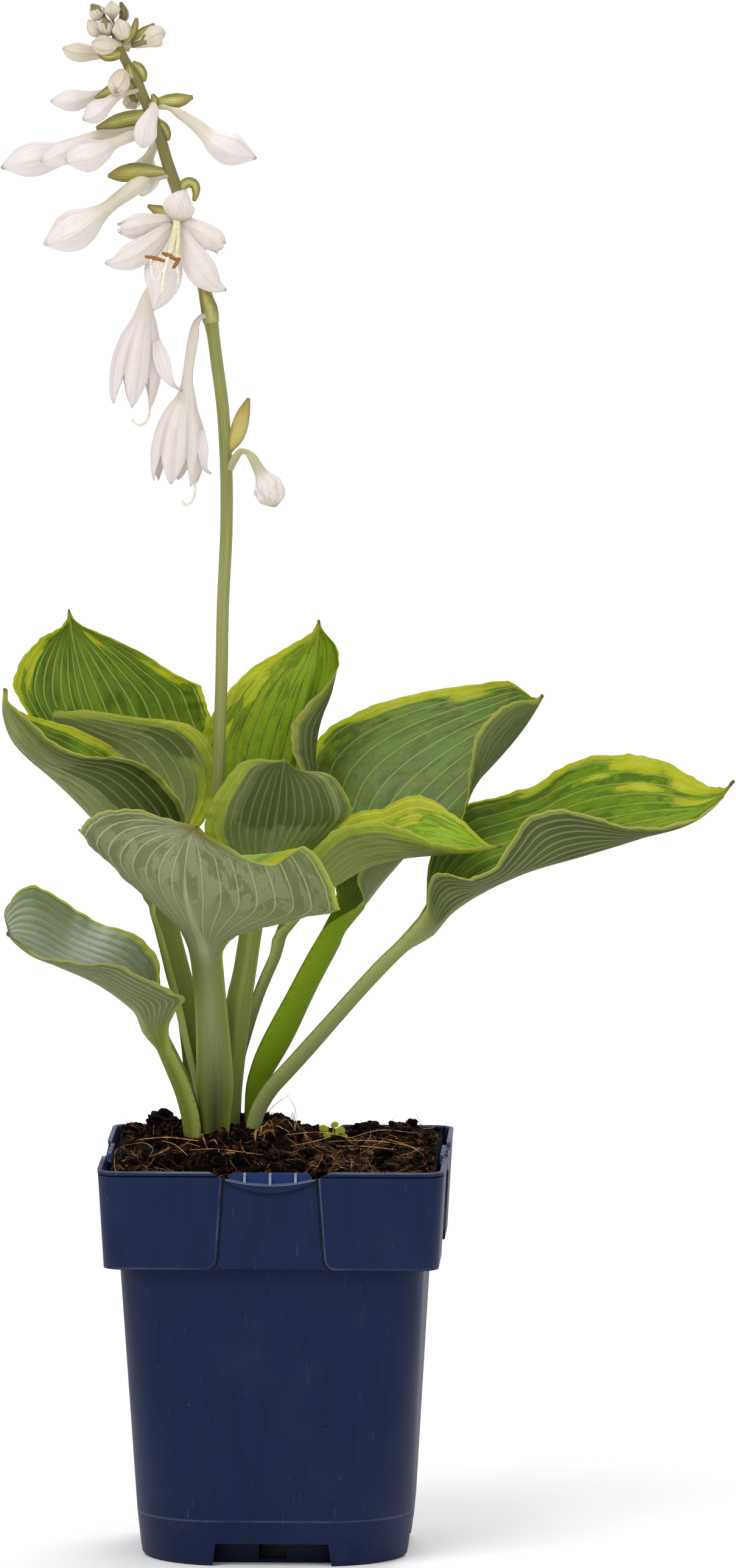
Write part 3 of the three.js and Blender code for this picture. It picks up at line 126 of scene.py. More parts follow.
LEAVES = {
  "leaf_front": {
    "turn": 180, "bow": [3, 3],
    "petiole": [
      [-27, 168, -11, 5.2, 6], [-27, 187, -12, 6.6, 7], [-27, 202, -13.5, 8, 7.5],
      [-27.6, 216, -15, 7.7, 7], [-28.8, 236, -17, 7, 6.5], [-30, 250, -19, 6.9, 6],
    ],
    "blade": [
      [-23.3, 262, -22, -31, 261, -21.5, -38.7, 263, -22],
      [-18, 268.2, -27, -33, 268, -29, -43, 272.5, -28],
      [-5, 272.5, -31, -35.3, 274, -39, -55, 284, -33],
      [10, 276, -36, -37.4, 280, -50, -70, 298, -38],
      [24, 279, -43, -38.9, 286.5, -61, -83, 309.5, -46],
      [26.3, 285, -52, -39.6, 293, -71, -84.5, 316.5, -57],
      [21, 298, -63, -39.6, 299, -80, -76, 322.8, -69],
      [11.5, 309.3, -74, -39.2, 304.5, -88, -64, 323.6, -80],
      [-1, 298.3, -85, -38.2, 309, -95, -52, 321, -90],
      [-18, 305, -96, -36.6, 313, -101, -42, 318.3, -98],
    ],
    "tip": [-34.5, 316.5, -107],
 },
  "leaf_low_left": {
    "turn": 90, "bow": [2, 2],
    "petiole": [
      [-37.2, 168, -9, 3.8, 6.5], [-37.2, 186, -10.5, 4.2, 8.2], [-40.7, 200, -12, 4.2, 8],
      [-44.8, 210, -14, 4.2, 7.8], [-49.5, 220, -17, 4.2, 7.4],
    ],
    "blade": [
      [-46.9, 229, -24, -55, 228.5, -19.5, -50.5, 231, -13],
      [-43.5, 236, -32, -60, 235.5, -21, -51.3, 240, -4],
      [-39.3, 240.7, -38, -65.5, 240.5, -23, -50.8, 250, 4],
      [-48, 244.3, -42, -72, 245.2, -25, -54, 262, 10],
      [-58, 250, -45, -79, 249.3, -27, -63, 269.5, 14],
      [-70, 256, -47, -86.5, 252.7, -28, -76, 273.8, 16],
      [-84, 256.3, -47, -94, 255.6, -29, -88, 279, 16],
      [-97, 257.3, -44, -102, 259, -30, -102, 289.2, 10],
      [-107, 260.5, -38, -110, 263.5, -31, -114, 287, 0],
      [-113, 265.5, -34, -114.5, 266.7, -31.5, -118.2, 278, -14],
    ],
    "tip": [-117.2, 269.7, -30],
 },
  "leaf_centre": {
    "turn": 180, "bow": [2, 2],
    "petiole": [
      [-20.6, 168, 0, 3.8, 5], [-20.3, 190, 0, 4.2, 5.6], [-19, 210, -0.5, 4.7, 5.6],
      [-17.2, 230, -1.5, 5.3, 5.6], [-16.4, 240, -2, 5.6, 5.6], [-14.5, 250, -2, 5.1, 5.6],
      [-12.6, 262, -2.5, 4.9, 5.3], [-10.6, 275, -3, 4.9, 5],
    ],
    "blade": [
      [-3.5, 288, -4, -8, 288, -5.5, -13, 288, -4],
      [3, 296, -4, -6, 296, -8, -17, 296, -4],
      [15, 305, -3, -3.3, 306.5, -11.5, -27, 307, -3],
      [24, 313, -1, -1.8, 313, -13.5, -31.5, 315, -2],
      [32.5, 321.5, 2, -0.6, 319.5, -15, -30.5, 322, -2],
      [29.5, 331, 2, 0.5, 326, -16, -27, 330.5, -2],
      [24, 338.8, 0, 1.4, 332, -16.5, -20, 339, -3],
      [16, 340.6, -4, 2.2, 337.5, -16.5, -14, 345.2, -5],
      [9, 341.2, -10, 3, 342.3, -16, -5, 345, -11],
    ],
    "tip": [3.7, 346.5, -15],
 },
  "leaf_left_front": {
    "turn": 50, "bow": [2.5, 2],
    "petiole": [
      [-31, 168, 1.5, 3.8, 6], [-31, 190, 1, 4.2, 6.6], [-32.7, 202, 0, 4.6, 7.2],
      [-35.5, 214, -2, 5, 7.8], [-38.2, 226, -3, 5.2, 8.2], [-41.2, 240, -4, 5.4, 8.6],
      [-44, 250, -5, 5.4, 8.8], [-46.5, 260, -6, 5.4, 8.4], [-49, 270, -7, 5.4, 8.2],
      [-52.5, 282, -9, 5.4, 7.8],
    ],
    "blade": [
      [-49, 291, -15, -56, 291, -10, -53, 294, -5],
      [-43, 301, -22, -61, 299, -13, -50, 305, -1],
      [-39, 314, -28, -67.5, 307.5, -16, -50, 318, 1],
      [-41, 326, -32, -74, 315.3, -19, -54, 331, 2],
      [-50, 337, -34, -81.5, 323.5, -22, -62, 343, 1],
      [-62, 345.5, -36, -90, 332, -25, -73, 351, -2],
      [-78, 346.6, -38, -99, 340, -28, -86, 358.5, -7],
      [-92, 348.8, -39, -107.5, 346.8, -31, -98, 362.3, -14],
      [-103, 358.5, -39, -114.5, 354.5, -34, -108, 364, -22],
      [-112.5, 367.5, -38, -118, 364, -36, -115, 369, -30],
    ],
    "tip": [-118, 376.3, -38],
 },
  "leaf_left_middle": {
    "turn": 60, "bow": [2.5, 2],
    "petiole": [
      [-33, 168, 12.5, 3.2, 4.4], [-33, 195, 12, 3.6, 4.6], [-36, 212, 11, 3.6, 4.8],
      [-40, 232, 10, 3.7, 5], [-43.5, 250, 9.5, 3.8, 5], [-47, 268, 9, 3.8, 5],
      [-50, 284, 9, 3.8, 5],
    ],
    "blade": [
      [-47, 301, 9, -52, 302, 9, -52, 305, 13],
      [-37, 312, 12, -55, 311, 10, -50, 316, 17],
      [-28, 324, 16, -59, 319.5, 11, -50, 327, 22],
      [-23.8, 336, 17.5, -63.5, 327.5, 12, -52, 338, 25],
      [-25.5, 346, 17.5, -68.5, 335, 12, -57, 347, 26],
      [-32, 356.5, 16, -74, 342, 12, -64, 354, 25],
      [-41, 361.7, 13, -80, 348.5, 11, -72, 359, 23],
      [-56, 363.3, 9, -86.5, 354.3, 9, -81, 362.5, 18],
      [-72, 365.8, 6, -92.5, 358.8, 7, -89.5, 364.5, 13],
      [-86, 366.8, 4, -96.8, 362.5, 5, -95, 366.3, 8],
    ],
    "tip": [-95.2, 367.8, 4],
 },
  "leaf_left_back": {
    "turn": 0, "bow": [2.5, 2.5],
    "petiole": [
      [-36.5, 168, 20.5, 3.2, 4.4], [-36.5, 200, 21, 3.6, 5], [-38.5, 225, 22, 3.7, 5],
      [-42.5, 250, 23.5, 3.8, 5], [-47.2, 272, 25, 3.8, 5], [-52, 292, 27, 3.8, 5],
    ],
    "blade": [
      [-60, 304, 31, -56, 305, 31, -51, 304, 31],
      [-70, 316, 30, -59, 315, 33, -42, 312, 33],
      [-82, 330, 30, -63, 325, 36, -32, 323, 35],
      [-94, 345, 30, -67.5, 336, 38.5, -26, 338, 37],
      [-103, 358, 30, -72, 347, 40, -25.5, 354, 39],
      [-112, 371, 29, -76.5, 358, 41, -30, 367, 40],
      [-114.8, 379, 29, -81, 369, 41, -34, 377, 40],
      [-110, 390, 31, -84.5, 380, 40, -46, 384, 40],
      [-102.5, 398.3, 32, -87, 390, 38, -62, 394, 38],
      [-95.5, 402, 33, -89, 400, 36, -78, 400.7, 36],
    ],
    "tip": [-90.3, 410.8, 33],
 },
  "leaf_back": {
    "turn": 0, "bow": [3, 9.5],
    "petiole": [
      [-21.5, 168, 18, 3.2, 4.4], [-20.7, 200, 18, 3.6, 5], [-18.5, 222, 19, 3.7, 5],
      [-15.5, 243, 20, 3.8, 5], [-13, 258, 21, 3.8, 5], [-10.5, 274, 22.5, 3.8, 5],
    ],
    "blade": [
      [-12, 289, 25, -8, 289, 25.5, -3.5, 289, 24],
      [-18, 302, 25, -4, 301, 27, 2, 302, 21],
      [-27, 320, 24, 0.5, 317, 30, 8, 320, 16],
      [-32, 335, 22.5, 3.5, 329, 32, 10, 333, 14],
      [-34, 348, 22, 6.2, 341, 33, 9, 343, 14],
      [-31.5, 358.5, 22.5, 8.8, 352.5, 34, 6, 354, 15],
      [-25, 370, 24, 11.4, 364, 34, 8.5, 365.5, 18],
      [-15, 382, 28, 14, 375, 33, 17, 373.3, 22],
      [-1, 391.5, 30, 16.2, 386, 32, 27, 384.5, 26],
      [11, 398.7, 30, 17.6, 396.5, 31, 25.5, 396, 28],
    ],
    "tip": [18.3, 406.5, 29],
 },
  "leaf_right_tall": {
    "turn": -90, "bow": [3, 2.5],
    "petiole": [
      [-10.3, 168, 6.5, 4, 6.4], [-10.3, 190, 6.5, 4.4, 7.4], [-8.6, 204, 6.5, 5, 9],
      [-4.8, 213, 6.5, 5.5, 11], [-1.2, 220, 7, 5.8, 11.8], [4, 230, 8, 6, 11.8],
      [9, 240, 9, 6, 11], [14, 250, 10, 6, 10.6], [19.4, 260, 11, 6, 10.4], [25, 270, 12, 6, 10],
    ],
    "blade": [
      [26, 287, 20, 33.5, 281, 14, 37.8, 284, 8],
      [21, 302, 30, 43, 291, 15, 34, 295, 3],
      [15, 320, 40, 51, 300, 17, 45, 305, 3],
      [12.8, 336, 46, 60, 309.5, 19, 64, 311, 5],
      [14.5, 350, 50, 70, 319.5, 21, 80.5, 319.5, 8],
      [24, 360.5, 54, 79.5, 329.5, 23, 83, 331, 9],
      [40, 368.8, 56, 88.5, 339, 24, 83.7, 343, 9],
      [60, 374.5, 55, 97, 348.5, 25, 87, 357, 12],
      [82, 378.4, 50, 104.5, 357.5, 25, 95.5, 367.3, 16],
      [101, 380.8, 38, 110.5, 366, 24, 106, 372.6, 20],
    ],
    "tip": [115.5, 374.3, 23],
 },
  "leaf_right_middle": {
    "turn": -90, "bow": [2, 2.5],
    "petiole": [
      [-17.8, 168, 9.8, 3, 4.2], [-17.5, 200, 9.6, 3.2, 4.6], [-16.1, 215, 9.4, 3.4, 4.8],
      [-13.4, 225, 9, 3.5, 4.9], [-10.4, 235, 8, 3.5, 4.9], [-6.9, 245, 7.2, 3.5, 5],
      [-4.4, 251, 6.6, 3.5, 5], [-0.5, 260, 5.6, 3.5, 5], [2.3, 270, 4.4, 3.6, 5.4],
    ],
    "blade": [
      [4.5, 279, 7, 5.5, 277, 3, 9.5, 278.5, -2],
      [8, 290, 12, 11, 282.5, 3, 10, 286, -9],
      [16, 303, 17, 20, 289, 1, 13, 297, -16],
      [26, 316, 20, 29, 294.6, -1, 17, 307.5, -20],
      [37, 323.5, 22, 38.5, 300, -3, 27, 316, -22],
      [48, 325.2, 22, 49, 303, -5, 40, 318.4, -24],
      [60, 330.7, 20, 60, 304.6, -8, 54, 315.7, -25],
      [72, 326, 14, 71, 305.2, -11, 67, 310.8, -24],
      [83, 317.5, 4, 83, 306, -14, 80, 307.2, -21],
    ],
    "tip": [97.6, 308.3, -17],
 },
  "leaf_right_far": {
    "turn": -90, "bow": [2.5, 3],
    "petiole": [
      [-9.5, 168, -4, 3.6, 6], [-9.2, 189, -4.5, 3.7, 6.8], [-3.4, 200, -5, 3.7, 6.8],
      [5.5, 210, -6, 3.7, 6.8], [14.4, 220, -7, 3.7, 6.8], [23.2, 230, -8, 3.7, 6.5],
      [34.6, 243, -9, 3.7, 6.3], [46.6, 256, -10, 3.8, 6.3], [55.8, 265, -10, 3.9, 6.4],
    ],
    "blade": [
      [65, 282.5, -4, 65.5, 272.5, -10, 65, 280.5, -15],
      [65, 295, 14, 74, 279.7, -9, 65.8, 292.5, -24],
      [68, 310, 28, 82, 285.7, -8, 70, 297.5, -30],
      [78, 324, 36, 92, 291, -7, 80, 293.3, -32],
      [95, 329.3, 40, 103, 296.3, -6, 91.5, 296.7, -31],
      [112, 334.8, 41, 115, 300.5, -6, 101.5, 308, -28],
      [126, 344, 40, 127, 303.8, -6, 109, 321.7, -24],
      [142, 348.4, 36, 140, 307.5, -7, 125, 324.5, -22],
      [158, 348.3, 28, 153, 311.3, -8, 143, 319.2, -20],
      [173, 343.5, 18, 167, 315.8, -9, 161, 316.4, -18],
      [186, 335.5, 5, 181, 321.5, -10, 180, 319.5, -15],
      [193, 334, -4, 190.5, 328.5, -10, 190.5, 327, -13],
    ],
    "tip": [198.6, 337.2, -10],
 },
}


# The flower stalk: x, z, y, radius.
STALK = [
  [-26, 168, 10, 2.9], [-26.5, 220, 10, 2.9], [-26.5, 300, 9, 2.8], [-25.4, 340, 8.5, 2.7],
  [-24, 380, 8, 2.7], [-23.4, 410, 7.5, 2.7], [-21.7, 450, 7, 2.75], [-21.7, 467, 7, 2.75],
  [-22.1, 480, 6.5, 2.75], [-23.4, 500, 6, 2.75], [-26, 520, 5.5, 2.75], [-27.3, 530, 5, 2.8],
  [-29, 540, 5, 3.4], [-31.3, 551, 4.5, 2.9], [-36.8, 573, 3.5, 2.7], [-40, 584, 3, 2.7],
  [-43.5, 595, 2.5, 2.65], [-47, 605, 2, 2.6], [-50.3, 616, 2, 2.6], [-53, 624, 1.5, 2.5],
  [-55.8, 630, 1.2, 2.4], [-58, 635, 1, 2.4], [-60, 640, 1, 2.4], [-62.7, 645, 0.5, 2.3],
  [-66, 651, 0, 2], [-68, 656.5, 0, 1.9], [-70, 662, 0, 1.7], [-71.4, 667, 0, 1.2],
]

# Bracts of the stalk: x, z, y, half width, from the foot to the tip. Those below this height are
# dry.
LOWEST_BRACTS = 520
BRACTS = [
  [[-45.5, 600.6, 2, 1.5], [-53, 601.5, 1, 2.6], [-61, 601.2, 1, 4],
    [-68, 600.3, 1, 3], [-73, 599.6, 0, 0.6]],
  [[-53.5, 626.5, 1, 2], [-60, 625.2, 0, 3], [-66, 623.6, 0, 3.6],
    [-72, 621.8, 0, 2.8], [-78, 620.3, 0, 0.6]],
  [[-60, 638.8, 1, 1.8], [-66, 638.2, 0, 2.4], [-72, 636.4, -1, 2.4],
    [-78.3, 633.3, -1, 0.6]],
  [[-66.5, 653.5, 0, 1.8], [-70, 652.2, -3, 2.4], [-74, 651.9, -4, 2.2],
    [-77.6, 654, -5, 0.6]],
  [[-62.5, 648.5, 1, 1.2], [-59.8, 646.8, 1, 2], [-57.8, 644, 1, 1.8],
    [-57, 640.5, 1, 0.5]],
  [[-62.8, 642, -0.5, 1.8], [-63.6, 645, -2, 2.6], [-64.2, 648.4, -2.4, 0.6]],
  [[-66.2, 654.5, 0, 2.4], [-63.8, 659, -0.5, 2.2], [-61.4, 663.4, -1, 1.6],
    [-60.3, 668.2, -1, 0.5]],
  [[-63.5, 658.2, 0, 1.4], [-57.4, 662.6, 2, 1.4], [-52.6, 665.6, 2, 0.5]],
  [[-54, 630.5, 1, 1.2], [-47.5, 632, 3.2, 2.7], [-41.5, 632.6, 3.6, 2.8],
    [-36, 634, 3, 0.6]],
  [[-55, 629, 0, 1.4], [-52.6, 632, -1, 1.8], [-53.6, 635.3, -1, 0.5]],
  [[-52.5, 624, 1.5, 1.3], [-48.8, 621, 1.5, 1.8], [-47.2, 618, 1.5, 1.5],
    [-46.7, 615, 1.5, 0.5]],
  [[-42, 594, 2, 1.8], [-38, 597, 1, 2.1], [-35.5, 596, 0, 1.9],
    [-34.8, 592.5, 0, 1.5], [-35.7, 588.8, 0, 0.5]],
  [[-40, 582, 2, 2], [-47, 583.6, -1, 2.5], [-52, 585, -2, 2],
    [-55.8, 586.9, -2, 0.5]],
  [[-28.3, 536, 2.2, 3.4], [-29.4, 543, 1.4, 3.4], [-32.6, 551.4, 1, 0.8]],
  [[-20.6, 480.5, 6, 1.6], [-17.2, 487, 4, 3.2], [-14.8, 495, 3, 3],
    [-12, 503.3, 3, 0.6]],
]

# Buds, each with its own pedicel: x, z, y, radius, from inside the stalk to the tip.
BUDS = {
  "bud_01": [[-51.8, 620.5, 2.5, 1], [-62, 618.5, 8, 1.2], [-75, 617, 11, 2], [-85, 612.5, 12, 2.6],
    [-90, 610.5, 12, 4.4], [-96.5, 608.6, 12, 6.2], [-104, 607, 12, 7.7], [-111, 605.4, 12, 6.4],
    [-116, 604, 12, 3], [-119.3, 603, 12, 0.5]],
  "bud_02": [[-53.5, 622.2, 0.5, 0.9], [-62, 620.2, -0.5, 1.1], [-70, 618.3, -1.5, 1.8],
    [-76, 617.4, -2, 2.4], [-82, 614.8, -1, 3.3], [-88, 611.3, -0.5, 5.1], [-94.5, 608.6, -0.5, 5.2],
    [-99, 606.8, -0.5, 3.2], [-102.2, 605.5, -0.5, 0.5]],
  "bud_03": [[-51.8, 618.5, 1, 0.9], [-57.5, 618, -2.5, 1.2], [-62, 617.2, -6, 2.5],
    [-66.5, 615.4, -8.5, 2.4], [-71, 613.3, -10.5, 2.7], [-75.5, 610.7, -12.5, 5],
    [-80.5, 609, -13.5, 7.2], [-85, 608, -13.5, 6.7], [-89, 606.6, -13.5, 3.8],
    [-91.2, 605.6, -13.5, 0.9]],
  "bud_04": [[-46, 600, 1.5, 1], [-51, 598.6, -1, 1], [-55.5, 598, -4, 1.1], [-57.3, 597.3, -5, 2.6],
    [-60.2, 595.6, -5.5, 3.5], [-64, 592.8, -5.5, 3.5], [-69, 589.2, -5.5, 3.1],
    [-74, 585.2, -5.5, 3.3], [-78.3, 582, -5.5, 5], [-82.5, 579, -5.5, 7.4],
    [-87.6, 576, -5.5, 8.7], [-92.5, 573.4, -5.5, 7.5], [-97, 571.4, -5.5, 4.2],
    [-101, 569.9, -5.5, 0.5]],
  "bud_05": [[-54.2, 628.9, 1.6, 0.9], [-50, 629.6, 1, 1.2], [-45.5, 628.6, -1.5, 1.1],
    [-43.4, 627.6, -2, 1.9], [-39, 624.8, -2, 2.4], [-34, 621.3, -2, 3], [-30, 617.6, -2, 3.6],
    [-25.8, 614.3, -2, 5.6], [-20.5, 611.7, -2, 7.1], [-15.5, 609.7, -2, 5.5],
    [-11.5, 608.4, -2, 2.8], [-8.5, 607.4, -2, 0.5]],
  "bud_06": [[-54.8, 630, 0, 1], [-53.3, 630.8, -4.5, 1.1], [-53.2, 628.4, -7, 2.4],
    [-54.8, 624.5, -9, 3.6], [-56.3, 620.5, -10.5, 4.9], [-57, 616.5, -11, 4.9],
    [-57.5, 613.3, -11, 3], [-57.6, 611.8, -11, 0.8]],
  "bud_07": [[-58.8, 637, 1.5, 0.9], [-66, 636.6, 5, 1], [-72, 636, 6, 1.6], [-78, 634.8, 6, 2],
    [-82, 633.5, 6, 3.6], [-87, 632.6, 6, 4.9], [-92, 632.2, 6, 4.2], [-95.5, 632, 6, 2.2],
    [-97.7, 632, 6, 0.5]],
  "bud_08": [[-59.2, 637, 0, 0.9], [-65, 635.6, -4.5, 1.2], [-69.5, 633.8, -7, 2.1],
    [-73, 631, -8, 2.9], [-76.5, 628.6, -8.5, 4.5], [-79.7, 626.2, -9, 4.3],
    [-82, 624.8, -9, 2.6], [-83.7, 624, -9, 0.6]],
  "bud_09": [[-61.6, 642.5, 0, 0.8], [-65, 643.6, -4, 1], [-66.6, 643.4, -6.5, 2.4],
    [-67.5, 641.8, -8.5, 3.3], [-68.2, 639.6, -10.5, 3.7], [-68.9, 637.5, -12.5, 3],
    [-69.3, 636.4, -14.5, 0.9]],
  "bud_10": [[-66.3, 652.3, 0.8, 0.9], [-72, 652.2, 4.5, 1.1], [-77, 652.4, 6, 1.9],
    [-81, 652.9, 6, 2.9], [-85.5, 653.3, 6, 3.4], [-89.5, 653.9, 6, 2.6], [-92.4, 655.2, 6, 0.5]],
  "bud_11": [[-67.5, 656.5, -0.5, 0.9], [-69.3, 657, -4.5, 1.3], [-72, 656.4, -7.5, 2.7],
    [-75.4, 656.5, -8.5, 3.3], [-78, 656.9, -8.5, 2.4], [-79.9, 657.4, -8.5, 0.5]],
  "bud_12": [[-67, 656.2, 0.3, 0.8], [-62.5, 656.4, -1.5, 1.1], [-59, 657, -3, 1.7],
    [-55.5, 658.7, -3.5, 3], [-52, 660.3, -3.5, 4], [-49.6, 661.2, -3.5, 2.8],
    [-48, 661, -3.5, 0.8]],
  "bud_13": [[-69.5, 660.2, -0.4, 0.7], [-67.8, 660.2, -4, 1.6], [-67, 662, -5.5, 3.2],
    [-67.3, 664.5, -6, 3.2], [-68, 666.5, -6, 1.6], [-68.3, 667.8, -6, 0.4]],
  "bud_14": [[-71, 664, -0.4, 0.6], [-72.8, 662.6, -4.4, 1.5], [-73.6, 664, -5.8, 2.5],
    [-73.9, 666.3, -6, 2.3], [-74.1, 668.2, -6, 0.7]],
  "bud_15": [[-70, 661.5, 0.8, 0.6], [-75, 661.6, -0.5, 1.6], [-78.2, 663, -1.5, 2.7],
    [-79.8, 665, -1.5, 2.2], [-81.3, 667.2, -1.5, 0.5]],
  "bud_16": [[-71.4, 665.6, 0.6, 0.6], [-75, 668.1, 0.8, 1.4], [-77.2, 670.2, 0, 3],
    [-78.6, 672.2, 0, 2.4], [-80.1, 674.2, 0, 0.5]],
  "bud_17": [[-70.9, 667.4, -0.4, 0.6], [-70.8, 669.4, -1.2, 1.9], [-71, 671.4, -1.4, 3],
    [-71.2, 673.6, -1.4, 2], [-71.2, 675.5, -1.4, 0.5]],
  "bud_18": [[-70.6, 663.6, 0.6, 0.7], [-66.9, 666.6, 3, 1.4], [-65.8, 669.4, 3.4, 1.8],
    [-66.5, 672.5, 3.4, 1.4], [-67.7, 674.9, 3.4, 0.4]],
  "bud_19": [[-58.3, 635.5, 1.8, 0.8], [-60.2, 634, 7, 1.4], [-62.2, 632.4, 10, 2.9],
    [-63, 630.8, 11.5, 2.8], [-62.9, 629.3, 12.5, 0.9]],
  "bud_20": [[-50.1, 616.3, 2.8, 0.9], [-52, 614.4, 7, 1.5], [-53.6, 611, 9.5, 2],
    [-55.3, 607.5, 11, 2.6], [-56.6, 604, 12, 5], [-57.3, 600, 12, 7], [-57.6, 596, 12, 6.1],
    [-58, 592.6, 12, 3.2], [-58.4, 590.8, 12, 0.6]],
  "withered_flower": [[-20.4, 472.5, 6, 1.8], [-17.6, 477.5, 3, 1.7], [-15.4, 480, 1.5, 1.4],
    [-13, 479.9, 0.5, 1.2], [-11, 478, 0, 1.9], [-8.6, 474, 0, 2.4], [-6.6, 470.3, 0, 3.1],
    [-4.6, 466.8, 0, 5.2], [-2.7, 462.6, 0, 6.3], [-1.4, 459, 0, 5], [-0.7, 457, 0, 2.6],
    [-0.3, 456, 0, 0.7]],
}

# Half-closed hanging flowers: the bell's axis and radius, the length of its lobes, the curled
# petal that stands off it, and the style.
BELLS = {
  "flower_left": {
    "rows": [[-37.6, 576, 3, 1.2], [-43, 567, 4.5, 1.4], [-49, 558, 3, 2], [-53.5, 551, 1, 2.6],
      [-56, 546, 0, 3], [-57, 541.5, -1, 3.9], [-57.6, 536, -1, 6], [-59, 528, -1, 9.2],
      [-60.2, 520, -1, 11], [-61.4, 512, -1, 11.3], [-62.3, 506, -1, 10.5]],
    "lobe": 7,
    "curl": [[-52, 528, -7, 2], [-49.5, 519, -9, 3.6], [-47.2, 512.5, -10.5, 2.6],
      [-44.4, 508.6, -11.5, 1.2], [-40.8, 506.2, -12, 0.5]],
    "style": [[-56.8, 510, -1, 0.6], [-55.2, 503, -1, 0.6], [-55, 497.8, -1, 0.6],
      [-56.3, 493.3, -1, 0.6], [-59.2, 491.1, -1, 0.6], [-61.5, 492.1, -1, 0.6],
      [-62.8, 493.7, -1, 0.9]],
 },
  "flower_lower": {
    "rows": [[-29.6, 539, 4.6, 1.1], [-32.8, 538.4, 0, 1.2], [-34.8, 535.6, -2, 1.6],
      [-35.7, 531, -2.5, 2.3], [-36.6, 526, -3, 2.3], [-37.6, 520, -3, 2.3],
      [-38.4, 514, -3, 2.3], [-38.8, 509, -3, 2.8], [-39.2, 503.5, -3, 4.4],
      [-40.7, 497, -3, 7.6], [-41.6, 491, -3, 10], [-42.1, 485, -3, 11.4],
      [-42.8, 478, -3, 11.9], [-43.6, 471.5, -3, 11]],
    "lobe": 6,
    "curl": [[-33, 489, -8, 2], [-31.8, 480, -10.5, 2.4], [-31.4, 475, -11.5, 1.6],
      [-30.4, 471.6, -12, 0.9], [-28.2, 470.4, -12, 0.5]],
    "style": [[-37.5, 476, -3, 0.6], [-35.7, 468.9, -3, 0.6], [-35.3, 464.4, -3, 0.6],
      [-35.8, 459.9, -3, 0.6], [-37.4, 457.4, -3, 0.6], [-39.6, 456.7, -3, 0.6],
      [-41.1, 458.2, -3, 0.9]],
 },
}

# The open flower: its tube, its six petals (x, z, y, half width) and its stamens with the style.
OPEN_TUBE = [[-39.9, 583.5, 2.8, 1.2], [-41.6, 583, -2, 1.8], [-43, 582, -6, 3],
  [-44, 581, -9, 4.2]]
PETALS = [
  [[-43.4, 579.5, -8, 2.4], [-42.7, 583.4, -14, 6.6], [-41.9, 587.5, -16.5, 6.4],
    [-40.6, 590.8, -16, 4], [-39.2, 593.5, -14, 0.8]],
  [[-45.5, 580.5, -8, 2.2], [-52, 579.4, -12, 3.8], [-58, 578.3, -15, 5],
    [-63.5, 577, -15, 4.8], [-67.8, 576.8, -13, 2]],
  [[-45.2, 578.5, -9, 2.4], [-51, 572.8, -17, 4.2], [-58, 567.3, -21, 5.6],
    [-65, 563.5, -22, 5.2], [-70, 561.8, -20, 2.8], [-74, 561.9, -18, 0.5]],
  [[-44.6, 577.5, -9, 2.4], [-47.4, 568, -16, 5.2], [-49, 559, -20, 8.2],
    [-49.6, 551, -20, 6.9], [-51.2, 545.5, -18, 3.8], [-53.4, 541.6, -15, 0.5]],
  [[-42.8, 578.5, -9, 2.4], [-38.8, 570, -17, 4.2], [-34.5, 561.5, -22, 6.4],
    [-29.5, 554.8, -22, 5.6], [-25.5, 551.5, -20, 2.8], [-21.9, 550.2, -18, 0.5]],
  [[-42.3, 580, -8, 2.2], [-36.5, 577.5, -12, 3.8], [-31, 574, -15, 5.2],
    [-26.8, 571, -15, 5.2], [-24, 568.3, -13, 3]],
]
STAMENS = [
  [[-44, 580.6, -8, 1], [-43.6, 578.5, -15.5, 1.2], [-44.6, 573, -21, 1.3],
    [-46.2, 566, -27, 1.3]],
  [[-43, 580.6, -8, 0.9], [-42.6, 578.5, -15.5, 1], [-42.7, 572, -21, 1], [-43.3, 564, -27, 1]],
  [[-46.2, 566.5, -26.5, 0.7], [-48.2, 559.7, -29, 0.6], [-49.3, 553, -30, 0.55],
    [-49.7, 548.4, -31, 0.8]],
  [[-57, 564.7, -29, 0.6], [-53, 564, -28.6, 0.9], [-48.4, 562.7, -28, 0.7]],
  [[-49.6, 566.3, -27, 0.6], [-46.6, 565, -27, 1], [-43.2, 563.3, -27, 0.7]],
  [[-44.8, 559.6, -28, 0.6], [-43.4, 561.6, -28, 0.9], [-41.8, 564, -27, 0.6]],
  [[-54.3, 564.2, -28.8, 0.5], [-54.3, 559.5, -30, 0.5], [-53.3, 555.3, -30.5, 0.5],
    [-51.4, 554.6, -30, 0.5], [-49.9, 557.5, -29.2, 0.5], [-47.9, 560.6, -28.8, 0.5]],
  [[-51, 563.3, -28.4, 0.5], [-51, 559, -28.6, 0.5], [-48.9, 555.8, -28.8, 0.5]],
  [[-43.5, 560.8, -28, 0.5], [-42.4, 556.4, -28, 0.5], [-42.9, 552.4, -28, 0.5]],
]

# The seedling of a weed beside the crown: its stem, and its leaves as x, z, y, radius.
SEEDLING_STEM = [[23.5, 170, 14, 0.5], [23.8, 180, 14, 0.5], [24.5, 182, 13.5, 0.5]]
SEEDLING_LEAVES = [[20.4, 183.3, 11, 1.8], [27.6, 182.4, 11.5, 2.0], [25.2, 185.2, 15, 1.4],
                   [21.8, 180.6, 9.5, 1.3], [29.2, 180, 13, 1.3]]
SEEDLING_FORK = (24.2, 181.4, 13.6)

